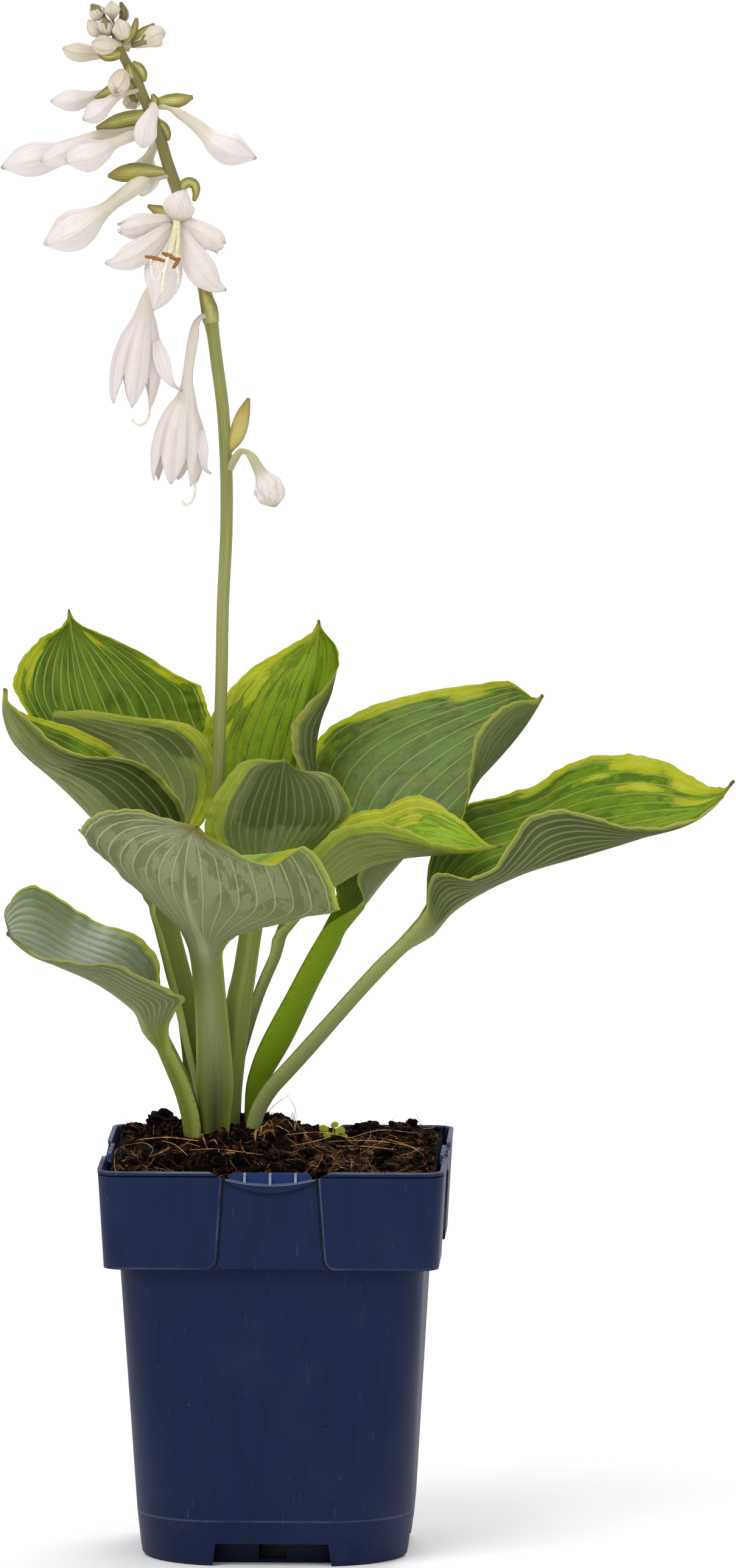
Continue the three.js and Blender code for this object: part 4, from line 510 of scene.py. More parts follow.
# How each leaf looks, where it isn't plain. 'gold' is the width of the gold margin above from foot
# to tip, left and right, and 'pale' that of the pale margin beneath. 'light' and 'under' are the
# painted light and shade of the upper and the lower face at the left margin, the middle and the
# right margin, and 'lit' and 'tip' the painted light added to them towards the tip, painted shade
# where they are negative. 'blue' and 'bloom' say how glaucous the two faces are, and 'blue' also
# sets the painted sheen above; 'lines' say how clear the veins are on them, and 'sage' how grey the
# petiole is, or how bright where it is negative. 'brown' is where the tip dries, 'nicks' are side,
# place, depth and length, and 'frayed' margins are side, place and amount. The 'golden' and the
# 'dark' streaks between the veins lie from one fraction of the width to another and from one part
# to another.
EVEN = (1, 1, 1, 1, 1, 1)
PLAIN_LOOK = {
    "pale": (1, 1), "light": (0, 0, 0), "lit": 0, "under": (0, 0, 0), "tip": 0, "blue": (0, 0, 0),
    "brown": 0.97, "sage": 0, "nicks": (), "frayed": (), "golden": (), "dark": ()}
LOOKS = {
    "leaf_front": {
        "gold": ((1, 1, 1, 3, 6, 7), EVEN), "pale": (1.6, 0.6), "light": (1, 0.6, 0.4),
        "under": (0.0, 0.9, -0.8), "blue": (0, 0.2, 0.2), "bloom": (0.4, 1, 0.45),
        "lines": (0.4, 0.55), "brown": 0.9,
        "nicks": ((1, 0.52, -2.6, 0.016), (-1, 0.5, -2.6, 0.016)),
        "golden": ((-1, -0.9, 0.8, 0.9),)},
    "leaf_low_left": {
        "gold": ((1, 1, 1, 1, 1.5, 2), (2, 3, 2.5, 1, 1, 2)), "light": (-0.7, 0.3, -0.3),
        "under": (-0.3, -0.3, -0.3), "blue": (0.2, 1.4, 0.8), "bloom": (0.3, 0.3, 0.3),
        "lines": (0.35, 0.4), "brown": 0.93,
        "nicks": ((1, 0.9, 1.6, 0.008), (1, 0.95, 1.8, 0.006), (1, 0.975, 1.4, 0.006)),
        "frayed": ((-1, 0.85, 0.8), (1, 0.88, 0.7))},
    "leaf_centre": {
        "gold": ((2, 2), (3, 3)), "pale": (1, 2), "under": (2.2, 0.75, 0.9), "tip": -1.2,
        "bloom": (0.3, 0.15, 0.3), "lines": (0.5, 0.2), "sage": 0.25,
        "nicks": ((1, 0.93, -5, 0.016), (-1, 0.585, -1.5, 0.02)),
        "golden": ((0.7, 1.2, 0.2, 0.88),), "dark": ((-0.74, 0.5, 0.52, 1.2),)},
    "leaf_left_front": {
        "gold": (EVEN, (1, 1, 2, 2.5, 1.5, 1)), "light": (-0.5, -0.4, 0.1),
        "under": (-1.6, 1.5, 0.5), "tip": 0.6, "bloom": (0, 0.5, 0.1), "lines": (0.4, 0.22),
        "sage": 0.2, "golden": ((0.86, 1.2, 0.55, 0.84), (-1.2, -0.92, 0.28, 0.4)),
        "dark": ((-1.2, -0.36, -0.2, 0.6), (0.5, 0.8, 0.6, 0.66))},
    "leaf_left_middle": {
        "gold": ((4, 4, 4, 4, 3, 2), EVEN), "pale": (6, 1), "light": (0, 0, 0.2),
        "under": (2.2, 0.35, 0.4), "tip": -1.1, "blue": (0, 0.1, 0), "bloom": (0.2, 0.12, 0.1),
        "lines": (0.5, 0.26), "sage": 0.3,
        "golden": ((-1.2, -0.74, -0.2, 0.42), (-1.2, -0.9, 0.4, 0.56)),
        "dark": ((-0.86, -0.6, 0.5, 0.7),)},
    "leaf_left_back": {
        "gold": ((1, 1, 1.5, 3, 2, 1), (1, 1, 1, 1.5, 1, 1)), "pale": (2, 2),
        "light": (-0.35, 0.1, -0.1), "lit": -0.15, "blue": (0.05, 0.1, 0.05),
        "bloom": (0.3, 0.3, 0.3), "lines": (0.85, 0.6), "nicks": ((1, 0.615, -2.6, 0.02),),
        "golden": ((-1.2, -0.81, 0.5, 0.8), (-0.87, -0.76, 0.58, 0.76), (0.47, 0.62, 0.82, 0.9),
            (0.84, 0.93, 0.64, 0.77), (0.93, 1.2, 0.64, 0.74), (0.92, 1.2, 0.38, 0.48)),
        "dark": ((-0.91, -0.85, 0.56, 0.66), (0.1, 0.3, 0.58, 0.63))},
    "leaf_back": {
        "gold": ((1, 2, 3, 5, 6, 2), (1, 1, 1, 1, 2, 1)), "pale": (2, 1), "light": (2.0, 1.45, 1.2),
        "lit": 0.1, "under": (-0.6, -0.7, -0.7), "bloom": (0.15, 0.15, 0.15), "lines": (0.8, 0.3),
        "golden": ((-1.2, -0.76, 0.56, 0.9), (-0.8, -0.62, 0.64, 0.8), (-0.8, -0.72, 0.5, 0.6),
            (-0.62, -0.52, 0.74, 0.8), (0.85, 1.2, 0.8, 0.97)),
        "dark": ((-0.9, -0.8, 0.62, 0.7), (-0.78, -0.6, 0.8, 0.86))},
    "leaf_right_tall": {
        "gold": ((1, 1, 2, 2, 3, 3), (1, 1, 2.5, 2, 1, 1)), "pale": (2, 1),
        "light": (0.1, 0.0, 0.0), "lit": -0.1, "under": (-0.3, -0.2, -0.1),
        "blue": (0.25, 0.45, 0.3), "bloom": (0.3, 0.25, 0.2), "lines": (0.7, 0.3), "sage": -1.0,
        "nicks": ((-1, 0.955, 2.4, 0.008), (-1, 0.975, 2.0, 0.006)),
        "golden": ((-1.2, -0.93, 0.38, 0.62), (-0.93, -0.86, 0.45, 0.55), (-1.2, -0.88, 0.58, 0.88),
            (-0.95, -0.78, 0.785, 0.85), (-1.2, -0.4, 0.95, 1.2), (0.93, 1.2, 0.4, 0.68)),
        "dark": ((-0.89, -0.81, 0.58, 0.72), (-0.98, -0.9, 0.5, 0.54))},
    "leaf_right_middle": {
        "gold": ((6, 10, 11, 9, 3, 1), EVEN), "pale": (3, 5), "light": (2.0, 1.3, 0.8),
        "under": (1.3, 1.2, 1.0), "sage": 0.5, "bloom": (0, 0.1, 0.1), "lines": (0.4, 0.2),
        "golden": ((-0.72, -0.55, 0.54, 0.64),)},
    "leaf_right_far": {
        "gold": ((0.5, 0.5, 2, 3, 3, 2), EVEN), "pale": (2, 0.8), "light": (-0.7, -0.6, -0.4),
        "lit": 1.3, "under": (-0.6, -0.8, -0.75), "bloom": (0.1, 0.1, 0.1), "lines": (0.55, 0.28),
        "brown": 0.92, "sage": 0.7,
        "golden": ((-1.2, -0.92, 0.36, 0.56), (-0.87, -0.78, 0.5, 0.58), (-1.2, -0.82, 0.52, 0.66),
            (-1.2, -0.62, 0.6, 0.72), (-1.2, -0.68, 0.7, 0.87), (-0.56, -0.42, 0.77, 0.92)),
        "dark": ((-0.95, -0.86, 0.49, 0.535), (-0.8, -0.72, 0.62, 0.71))},
}

# Straws on the soil: x, z, y, radius. Scraps of old sheaths at the crown: x, y, strips.
STRAWS = [
    [[-50, 178, -40, 0.35], [-45, 176.5, -46, 0.35], [-41, 173.5, -54, 0.35], [-39, 171.5, -61, 0.3]],
    [[-38, 174, -60, 0.35], [-26, 174.5, -62, 0.4], [-14, 173, -60, 0.35], [-6, 172, -64, 0.3]],
    [[22, 178, -30, 0.4], [40, 178.5, -24, 0.4], [56, 176.5, -20, 0.35], [64, 174.5, -22, 0.3]],
    [[26, 176, -46, 0.35], [38, 176, -52, 0.4], [52, 174.5, -56, 0.35]],
    [[44, 180, 0, 0.35], [54, 177.5, -14, 0.4], [60, 175, -30, 0.35], [64, 172, -44, 0.3]],
    [[-66, 176, -20, 0.3], [-58, 177, -34, 0.4], [-54, 174, -50, 0.35], [-56, 171, -62, 0.3]],
    [[6, 176, -52, 0.3], [16, 178, -50, 0.35], [24, 180.5, -42, 0.3], [28, 183, -34, 0.25]],
    [[-60, 178.5, -50, 0.5], [-48, 179.5, -52, 0.5], [-34, 178, -55, 0.5]],
    [[4, 181, -30, 0.4], [18, 182, -34, 0.4], [34, 179.5, -30, 0.4]],
    [[30, 179, 10, 0.35], [44, 183, 14, 0.35], [60, 182, 22, 0.35]],
    [[-8, 184, 30, 0.3], [-2, 193, 32, 0.3], [6, 199, 30, 0.3]],
    [[6, 184, 40, 0.25], [8, 192, 42, 0.25], [4, 199, 44, 0.25]],
    [[-66, 175, -69, 0.2], [-70, 174, -74, 0.2], [-71, 168, -76.5, 0.2], [-70, 163, -77, 0.2]],
]
SCRAPS = [(-6, -17, 6), (-2, -8, 4), (-46, -14, 3), (-14, -36, 5), (8, -2, 3), (-30, -25, 3)]


# Lengths, curves and waves.
def seen(x, z, y):
    """Where points of the outlines really are."""
    x, z, y = np.broadcast_arrays(*[np.asarray(value, float) for value in (x, z, y)])
    flat = np.stack([x, np.zeros(x.shape), z], axis=-1)
    return flat + (flat - EYE) * (-y / EYE[1])[..., None]


def seen_rows(rows):
    """The axis of a table whose rows start with x, z, y."""
    rows = np.asarray([row[:3] for row in rows], float)
    return seen(rows[:, 0], rows[:, 1], rows[:, 2])


def unit(vectors):
    """Vectors of length one."""
    return vectors / np.maximum(np.linalg.norm(vectors, axis=-1, keepdims=True), 1e-9)


def lengths_along(points):
    """How far along a line each of its points lies."""
    steps = np.linalg.norm(np.diff(points, axis=0), axis=1)
    return np.concatenate([[0.0], np.cumsum(steps)])


def smooth_through(knots, values, at):
    """A smooth curve through the values at the knots, read at 'at'."""
    slope = np.gradient(values, knots, axis=0)
    k = np.clip(np.searchsorted(knots, at, side="right") - 1, 0, len(knots) - 2)
    shape = (-1,) + (1,) * (values.ndim - 1)
    wide = (knots[k + 1] - knots[k]).reshape(shape)
    t = (at - knots[k]).reshape(shape) / wide
    start = (2 * t ** 3 - 3 * t ** 2 + 1) * values[k] + (t ** 3 - 2 * t ** 2 + t) * wide * slope[k]
    end = (3 * t ** 2 - 2 * t ** 3) * values[k + 1] + (t ** 3 - t ** 2) * wide * slope[k + 1]
    return start + end


def ease(value, low, high):
    """Rises smoothly from 0 at low to 1 at high."""
    t = np.clip((value - low) / (high - low), 0, 1)
    return t * t * (3 - 2 * t)


def wander(at, lengths, rng):
    """An irregular wave between about -1 and 1, made of waves of the given lengths."""
    total = np.zeros_like(at)
    for length in lengths:
        turn = rng.uniform(0, 2 * math.pi)
        total += np.sin(2 * math.pi * at / (length * rng.uniform(0.85, 1.15)) + turn)
    return total / len(lengths)


def drawn_out(rows, least, count=None, spacing=1.0):
    """A table drawn out smoothly: how far along each station is, the axis there and the radius."""
    axis = seen_rows(rows)
    knots = lengths_along(axis)
    at = np.linspace(0, knots[-1], count or max(6, int(knots[-1] / spacing)))
    radii = np.array([row[3] for row in rows], float)
    return at, smooth_through(knots, axis, at), np.maximum(smooth_through(knots, radii, at), least)


def angles_round(sides):
    """The angles of the points of a ring."""
    return np.arange(sides) * 2 * math.pi / sides


class Pile:
    """Shapes gathered into one mesh, with numbers that the finishes read at each point."""

    def __init__(self):
        self.points = []
        self.faces = []
        self.values = []
        self.count = 0

    def add(self, points, faces, **values):
        """Adds a shape. A value is one number, or one for each point."""
        points = np.asarray(points, float).reshape(-1, 3)
        self.points.append(points)
        self.values.append((len(points), values))
        for group in faces:
            self.faces += (np.asarray(group) + self.count).tolist()
        self.count += len(points)

    def add_rings(self, rings, **values):
        """Adds a closed round body made of rings."""
        rings = np.asarray(rings)
        ends = [rings[0].mean(axis=0), rings[-1].mean(axis=0)]
        self.add(np.vstack([rings.reshape(-1, 3), ends]), ring_faces(*rings.shape[:2]), **values)

    def add_sheet(self, top, bottom, grids, **values):
        """Adds a closed sheet. A grid is one number for each point, or one grid for each face."""
        shape = top.shape[:2]
        for key, grid in grids.items():
            faces = grid if isinstance(grid, tuple) else (grid, grid)
            values[key] = np.concatenate([np.broadcast_to(face, shape).ravel() for face in faces])
        points = np.concatenate([top.reshape(-1, 3), bottom.reshape(-1, 3)])
        self.add(points, sheet_faces(*shape), under=np.repeat([0.0, 1.0], shape[0] * shape[1]), **values)

    def mesh(self, name, smooth=True):
        """The mesh, in metres."""
        mesh = bpy.data.meshes.new(name)
        mesh.from_pydata((np.concatenate(self.points) * MM).tolist(), [], self.faces)
        for key in sorted({key for _, values in self.values for key in values}):
            spread = [np.broadcast_to(values.get(key, 0.0), count) for count, values in self.values]
            layer = mesh.attributes.new(key, "FLOAT", "POINT")
            layer.data.foreach_set("value", np.concatenate(spread).astype(np.float32))
        mesh.polygons.foreach_set("use_smooth", [smooth] * len(mesh.polygons))
        mesh.validate()
        mesh.update()
        return mesh


def link(name, data):
    """An object of its own in the scene."""
    thing = bpy.data.objects.new(name, data)
    bpy.context.scene.collection.objects.link(thing)
    return thing


def place(name, shape, finish, node):
    """Puts a piece, from its pile or its mesh, where the node is that it stands for."""
    mesh = shape.mesh(name) if isinstance(shape, Pile) else shape
    mesh.materials.clear()
    mesh.materials.append(finish)
    piece = link(name, mesh)
    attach(piece, "root")
    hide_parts(node)


# Sheets: leaves, petals and bracts.
def sheet_faces(rows, columns):
    """Faces of a closed sheet: the upper face's points come first, then the lower face's."""
    a = (np.arange(rows - 1)[:, None] * columns + np.arange(columns - 1)).ravel()
    under = rows * columns
    left = np.arange(rows - 1) * columns
    right = left + columns - 1
    start = np.arange(columns - 1)
    end = start + (rows - 1) * columns
    return [
        np.stack([a, a + 1, a + columns + 1, a + columns], 1),
        under + np.stack([a, a + columns, a + columns + 1, a + 1], 1),
        np.stack([left, left + columns, under + left + columns, under + left], 1),
        np.stack([right, under + right, under + right + columns, right + columns], 1),
        np.stack([start, under + start, under + start + 1, start + 1], 1),
        np.stack([end, end + 1, under + end + 1, under + end], 1),
    ]


def sheet_surface(strip, bows, fractions):
    """Upper points, their upward directions and the thickness of a sheet, row by row."""
    u = np.abs(fractions)
    along = np.gradient(strip["mid"], strip["flow"], axis=0)
    middle_up = unit(np.cross(strip["right"] - strip["left"], along))
    arms = [strip["left"] - strip["mid"], strip["right"] - strip["mid"]]
    ups = [unit(np.cross(-arms[0], along)), unit(np.cross(arms[1], along))]
    is_left = (fractions < 0)[None, :, None]
    arm = np.where(is_left, arms[0][:, None], arms[1][:, None])
    arm_up = np.where(is_left, ups[0][:, None], ups[1][:, None])
    flat = strip["flat"][:, None]
    blend = (flat * np.minimum(1, 1.6 * u))[..., None]
    up = unit(middle_up[:, None] * (1 - blend) + arm_up * blend)
    bulge = strip["bow"][:, None] * np.where(fractions < 0, bows[0], bows[1]) * 4 * u * (1 - u)
    sink = strip["channel"][:, None] * (1 - u * u) + bulge
    top = strip["mid"][:, None] + arm * u[:, None] - up * sink[..., None]
    rounded = np.sqrt(1 - u * u)
    shape = rounded + ((1 - u) ** 3 - rounded) * flat
    thick = strip["edge"][:, None] + (strip["core"] - strip["edge"])[:, None] * shape
    return top, up, thick


def leaf_stations(leaf):
    """The leaf's outline rows as margins, middle, channel, thickness and flatness."""
    petiole = np.array(leaf["petiole"], float)
    blade = np.array(leaf["blade"], float)
    centres = seen_rows(leaf["petiole"])
    line = np.vstack([centres, seen(*blade[0, 3:6])])
    last = len(line) - 1
    feet = np.arange(len(centres))
    along = unit(line[np.minimum(feet + 1, last)] - line[np.maximum(feet - 1, 0)])
    turn = math.radians(leaf["turn"])
    across = np.array([math.cos(turn), math.sin(turn), 0.0])
    across = unit(across - along * (along @ across)[:, None])
    up = unit(np.cross(across, along))
    half, deep = petiole[:, 3:4], petiole[:, 4:5]
    middle = centres + up * deep / 2
    tip = seen(*leaf["tip"])
    margins = [seen(*blade[:, i:i + 3].T) for i in (0, 3, 6)]
    side = TIP_HALF * unit(margins[2][-1] - margins[0][-1])
    part = np.arange(1, len(blade) + 1) / (len(blade) + 1)
    core = MIDRIB + (MIDRIB_TIP - MIDRIB) * part
    core[0] = MIDRIB_FOOT
    tail = np.zeros(len(blade) - 1)
    return {
        "left": np.vstack([middle - across * half, margins[0], tip - side]),
        "mid": np.vstack([middle, margins[1], tip]),
        "right": np.vstack([middle + across * half, margins[2], tip + side]),
        "channel": np.concatenate([0.3 * petiole[:, 4], [0.6], tail, [0]]),
        "core": np.concatenate([0.7 * petiole[:, 4], core, [0.9]]),
        "edge": np.concatenate([np.ones(len(petiole)), np.full(len(blade) + 1, BLADE_EDGE)]),
        "flat": np.concatenate([np.zeros(len(petiole)), [0.5], np.ones(len(blade))]),
        "bow": np.concatenate([np.zeros(len(petiole)), np.sin(math.pi * part) ** 0.7, [0]]),
    }


STRIP_LIMITS = {
    "flat": (0, 1), "bow": (0, None), "channel": (0, None), "core": (0.4, None), "edge": (0.3, 1)}


def strip_of(stations, at):
    """The stations drawn out smoothly to the rows at 'at'."""
    knots = lengths_along(stations["mid"])
    strip = {key: smooth_through(knots, value, at) for key, value in stations.items()}
    for key, limits in STRIP_LIMITS.items():
        strip[key] = np.clip(strip[key], *limits)
    strip["flow"] = at
    past = np.clip((at - knots[-2]) / (knots[-1] - knots[-2]), 0, 1)[:, None]
    for key in ("left", "right"):
        arm = strip[key] - strip["mid"]
        last = np.linalg.norm(stations[key][-2] - stations["mid"][-2])
        slim = last * (1 - past) ** 1.9 + 0.5 * past
        strip[key] = strip["mid"] + np.where(past > 0, unit(arm) * slim, arm)
    return strip


def softened(points, reach=3.2):
    """Rounds off the turns along a row of points and keeps its ends."""
    steps = np.arange(-10, 11)
    weights = np.exp(-(steps / reach) ** 2 / 2)
    padded = np.concatenate([2 * points[0] - points[10:0:-1], points, 2 * points[-1] - points[-2:-12:-1]])
    total = sum(weight * padded[10 + step:10 + step + len(points)] for step, weight in zip(steps, weights))
    return total / weights.sum()


# Rows and columns of a leaf, with so many columns between two veins; the lengths of the waves in
# its margins; and how softly its streaks begin and end, as fractions of the width and the length.
PETIOLE_ROWS = 30
BLADE_ROWS = 112
BLADE_START = 8
LANE_STEPS = 4
LANES = np.arange(1, int(VEINS * LANE_STEPS)) / (VEINS * LANE_STEPS)
HALF_FRACTIONS = np.concatenate([LANES, [0.988, 1.0]])
FRACTIONS = np.concatenate([-HALF_FRACTIONS[::-1], [0.0], HALF_FRACTIONS])
EDGE_WAVES = (31, 11, 5)
LONG_RIPPLES = (34, 15)
SHORT_RIPPLES = (7, 5)
STREAK_SIDE = 0.05
STREAK_END = 0.07


def nicked(flow, leaf_part, look, rng):
    """How far each margin of a blade stands out, with the nicks and corners of its look."""
    pushes = []
    for sign in (-1, 1):
        push = 0.45 * wander(flow, EDGE_WAVES, rng) * ease(leaf_part, 0, 0.1)
        for side, start, deep, wide in look["nicks"]:
            if side == sign:
                push = push - deep * np.exp(-np.abs(leaf_part - start) / wide)
        pushes.append(push[:, None])
    return pushes


def streaked(leaf_part, look):
    """Where the golden streaks lie (towards 1) and where the dark ones (towards -1)."""
    marks = {"golden": 0.0, "dark": 0.0}
    for key in marks:
        for low, high, start, end in look[key]:
            across = np.minimum(FRACTIONS - low, high - FRACTIONS) / STREAK_SIDE
            along = np.minimum(leaf_part - start, end - leaf_part)[:, None] / STREAK_END
            marks[key] = np.maximum(marks[key], np.clip(0.5 + 0.5 * np.minimum(across, along), 0, 1))
    return marks["golden"] - marks["dark"]


def by_side(left, right):
    """The left value left of the midrib and the right value right of it."""
    return np.where(FRACTIONS < 0, left, right)


def grown_leaf(name, leaf, settings, index):
    """A leaf with its petiole: quilted between the veins and wavy along the margins."""
    rng = random.Random(name)
    look = {**PLAIN_LOOK, **LOOKS[name]}
    stations = leaf_stations(leaf)
    knots = lengths_along(stations["mid"])
    foot = knots[len(leaf["petiole"])]
    at = np.concatenate([
        np.linspace(0, foot, PETIOLE_ROWS)[:-1], np.linspace(foot, knots[-1], BLADE_ROWS)])
    strip = strip_of(stations, at)
    part = np.clip((at - foot) / (knots[-1] - foot), 0, 1)
    keep = ease(part, 0.86, 0.95)[PETIOLE_ROWS - 1:, None]
    for key in ("left", "mid", "right"):
        rows = strip[key][PETIOLE_ROWS - 1:]
        rows += (softened(rows) - rows) * (1 - keep)
    top, up, thick = sheet_surface(strip, leaf["bow"], FRACTIONS)

    u = np.abs(FRACTIONS)
    arms = [strip[key] - strip["mid"] for key in ("left", "right")]
    outward = np.where(FRACTIONS[:, None] < 0, *[unit(arm)[:, None] for arm in arms])
    push = by_side(*nicked(at, part, look, rng)) * u ** 7
    top = top + outward * push[..., None]
    half = by_side(*[np.linalg.norm(arm, axis=1)[:, None] for arm in arms])
    lanes = FRACTIONS * VEINS
    vein = (0.5 + 0.5 * np.cos(2 * math.pi * lanes)) ** 1.4
    quilt = settings.quilting / MM * np.clip(half / 50, 0.15, 1.2) * (1 - 0.35 * u) * 0.6
    waves = [wander(at, LONG_RIPPLES, rng) + 0.4 * wander(at, SHORT_RIPPLES, rng) for _ in (0, 1)]
    wave = by_side(*[side[:, None] for side in waves])
    blade = ease(at, foot - BLADE_START, foot + BLADE_START)[:, None]
    ripple = settings.ripple / MM * wave * u ** 5 * ease(part, 0.02, 0.25)[:, None]
    top = top + up * ((ripple - quilt * vein) * blade)[..., None]

    golds = [np.interp(part, np.linspace(0, 1, len(widths)), widths)[:, None] for widths in look["gold"]]
    mark = streaked(part, look)
    part = part[:, None]
    brown = ease(part, look["brown"], 1.0)
    for side, start, amount in look["frayed"]:
        brown = brown + amount * ease(part, start, start + 0.06) * ease(side * FRACTIONS, 0.9, 1)
    # light and under carry each leaf's painted light and shade; blue also sets the painted sheen above.
    light, under, blue, bloom = (
        np.interp(FRACTIONS, (-1, 0, 1), look[key]) for key in ("light", "under", "blue", "bloom"))
    pile = Pile()
    pile.add_sheet(top, top - up * thick[..., None], {
        "lane": lanes, "flow": at[:, None], "half": half, "margin": (1 - u) * half, "blade": blade,
        "part": part, "gold": by_side(*golds), "pale": by_side(*look["pale"]), "brown": brown,
        "mark": mark, "light": (light + look["lit"] * part, under + look["tip"] * part),
        "blue": (blue, bloom), "clear": look["lines"],
    }, seed=7.0 * index, sage=look["sage"])
    return pile


PETAL_FRACTIONS = np.linspace(-1, 1, 21)


def add_boat(pile, rows, cup, thick, steps, teeth=0.0, **values):
    """A petal or a bract: a boat-shaped sheet round its axis. Teeth fray its end."""
    at, mid, half = drawn_out(rows, 0.35, steps)
    along = unit(np.gradient(mid, at, axis=0))
    across = unit(np.cross(along, np.array([0.0, 1.0, 0.0])))
    up = unit(np.cross(across, along))
    rise = up * (cup * half)[:, None]
    ones = np.ones(steps)
    strip = {
        "left": mid - across * half[:, None] + rise, "mid": mid,
        "right": mid + across * half[:, None] + rise,
        "channel": 0 * ones, "core": thick * 1.6 * ones, "edge": thick * ones,
        "flat": ones, "bow": 0.2 * ones, "flow": at,
    }
    top, up, thick = sheet_surface(strip, (1, 1), PETAL_FRACTIONS)
    part = (at / at[-1])[:, None]
    if teeth:
        rng = random.Random(round(float(at[-1]) * 1000))
        fringe = np.array([rng.uniform(-1, 1) for _ in PETAL_FRACTIONS]) * teeth
        reach = np.clip(part - 0.6, 0, 1) / 0.4
        top = top + along[:, None] * (fringe * reach ** 2)[..., None]
    rng = random.Random(round(float(at[-1]) * 977))
    crease = 0.22 * wander(at, (9, 4), rng)[:, None] * np.abs(PETAL_FRACTIONS) ** 3
    top = top + up * crease[..., None]
    margin = (1 - np.abs(PETAL_FRACTIONS)) * half[:, None]
    pile.add_sheet(top, top - up * thick[..., None],
                   {"lane": PETAL_FRACTIONS, "part": part, "margin": margin}, **values)


# Round bodies: stalks, buds, bells and styles.
def ring_faces(rings, sides):
    """Faces of a round body, with its end caps fanned from two extra points."""
    i = np.arange(sides)
    j = (i + 1) % sides
    a, b = ((np.arange(rings - 1)[:, None] * sides + corner).ravel() for corner in (i, j))
    start = np.full(sides, rings * sides)
    last = (rings - 1) * sides
    return [np.stack([a, b, b + sides, a + sides], 1), np.stack([start, j, i], 1),
            np.stack([start + 1, last + i, last + j], 1)]


def rings_along(centres, radii, sides, side=(0.0, 1.0, 0.0)):
    """Rings round a line, turned as little as can be from one to the next."""
    along = unit(np.gradient(centres, axis=0))
    side = np.array(side, float)
    angles = angles_round(sides)
    rings = []
    for centre, radius, direction in zip(centres, radii, along):
        side = unit(side - direction * (side @ direction))
        other = np.cross(direction, side)
        spoke = np.cos(angles)[:, None] * side + np.sin(angles)[:, None] * other
        rings.append(centre + np.broadcast_to(radius, sides)[:, None] * spoke)
    return np.array(rings)


def closed_rings(pile, rings, full, part, **values):
    """Adds rings as a closed body, with its angle, its place along and its fullness."""
    angles = angles_round(rings.shape[1])
    grids = {"turn_x": (np.cos(angles), (1, 1)), "turn_y": (np.sin(angles), (0, 0)),
             "part": (part[:, None], (part[0], part[-1])), "full": (full[:, None], (full[0], full[-1]))}
    for key, (grid, ends) in grids.items():
        values[key] = np.concatenate([np.broadcast_to(grid, rings.shape[:2]).ravel(), ends])
    pile.add_rings(rings, **values)


def add_tube(pile, rows, sides=12, spacing=1.5, ribs=0.0, wobble=0.0, **values):
    """A round body through its rows, with six soft ribs where it is full."""
    at, line, radius = drawn_out(rows, 0.2, spacing=spacing)
    size = max(row[3] for row in rows)
    angles = angles_round(sides)
    swollen = ease(radius, 0.35 * size, 0.9 * size)
    shape = 1 + ribs * swollen[:, None] * (np.abs(np.cos(3 * angles)) - 0.6)
    if wobble:
        rng = random.Random(round(float(at[-1]) * 1000))
        dents = wander(at, (17, 8), rng)
        creases = np.sin(5 * angles + 2.2 * np.sin(at[:, None] / 5)) * 0.6
        creases = creases + 0.5 * np.sin(9 * angles - at[:, None] / 3 + 2 * dents[:, None])
        shape = shape + wobble * swollen[:, None] * creases
    rings = rings_along(line, radius[:, None] * shape, sides)
    closed_rings(pile, rings, radius / size, at / at[-1], **values)


# The finishes: shader maths is written as Python expressions.
class Number:
    """A socket that carries a number; sums on it add Math nodes."""

    def __init__(self, finish, socket):
        self.finish = finish
        self.socket = socket

    def math(self, operation, *others):
        sockets = dict(enumerate((self, *others)))
        return self.finish.node("ShaderNodeMath", {"operation": operation}, sockets)

    def turned(self, operation, other):
        return self.finish.node("ShaderNodeMath", {"operation": operation}, {0: other, 1: self})

    def __add__(self, other):
        return self.math("ADD", other)

    __radd__ = __add__

    def __sub__(self, other):
        return self.math("SUBTRACT", other)

    def __rsub__(self, other):
        return self.turned("SUBTRACT", other)

    def __mul__(self, other):
        return self.math("MULTIPLY", other)

    __rmul__ = __mul__

    def __truediv__(self, other):
        return self.math("DIVIDE", other)

    def __rtruediv__(self, other):
        return self.turned("DIVIDE", other)

    def __pow__(self, other):
        return self.math("POWER", other)

    def abs(self):
        return self.math("ABSOLUTE")

    def floor(self):
        return self.math("FLOOR")

    def fract(self):
        return self.math("FRACT")

    def most(self, other):
        return self.math("MAXIMUM", other)

    def least(self, other):
        return self.math("MINIMUM", other)

    def above(self, low, high):
        """Rises smoothly from 0 to 1 between low and high."""
        return self.finish.node("ShaderNodeMapRange", {"interpolation_type": "SMOOTHSTEP"},
                                {"Value": self, "From Min": low, "From Max": high})

    def below(self, low, high):
        """Falls smoothly from 1 to 0 between low and high."""
        return 1 - self.above(low, high)

    def ridges(self, sharp):
        """Ridges between 0 and 1, one in every turn."""
        return (self.math("COSINE") * 0.5 + 0.5) ** sharp


def painted(colour):
    """A colour for a socket: three numbers get their fourth, and a link stays as it is."""
    return colour if isinstance(colour, Number) else (*colour, 1.0)


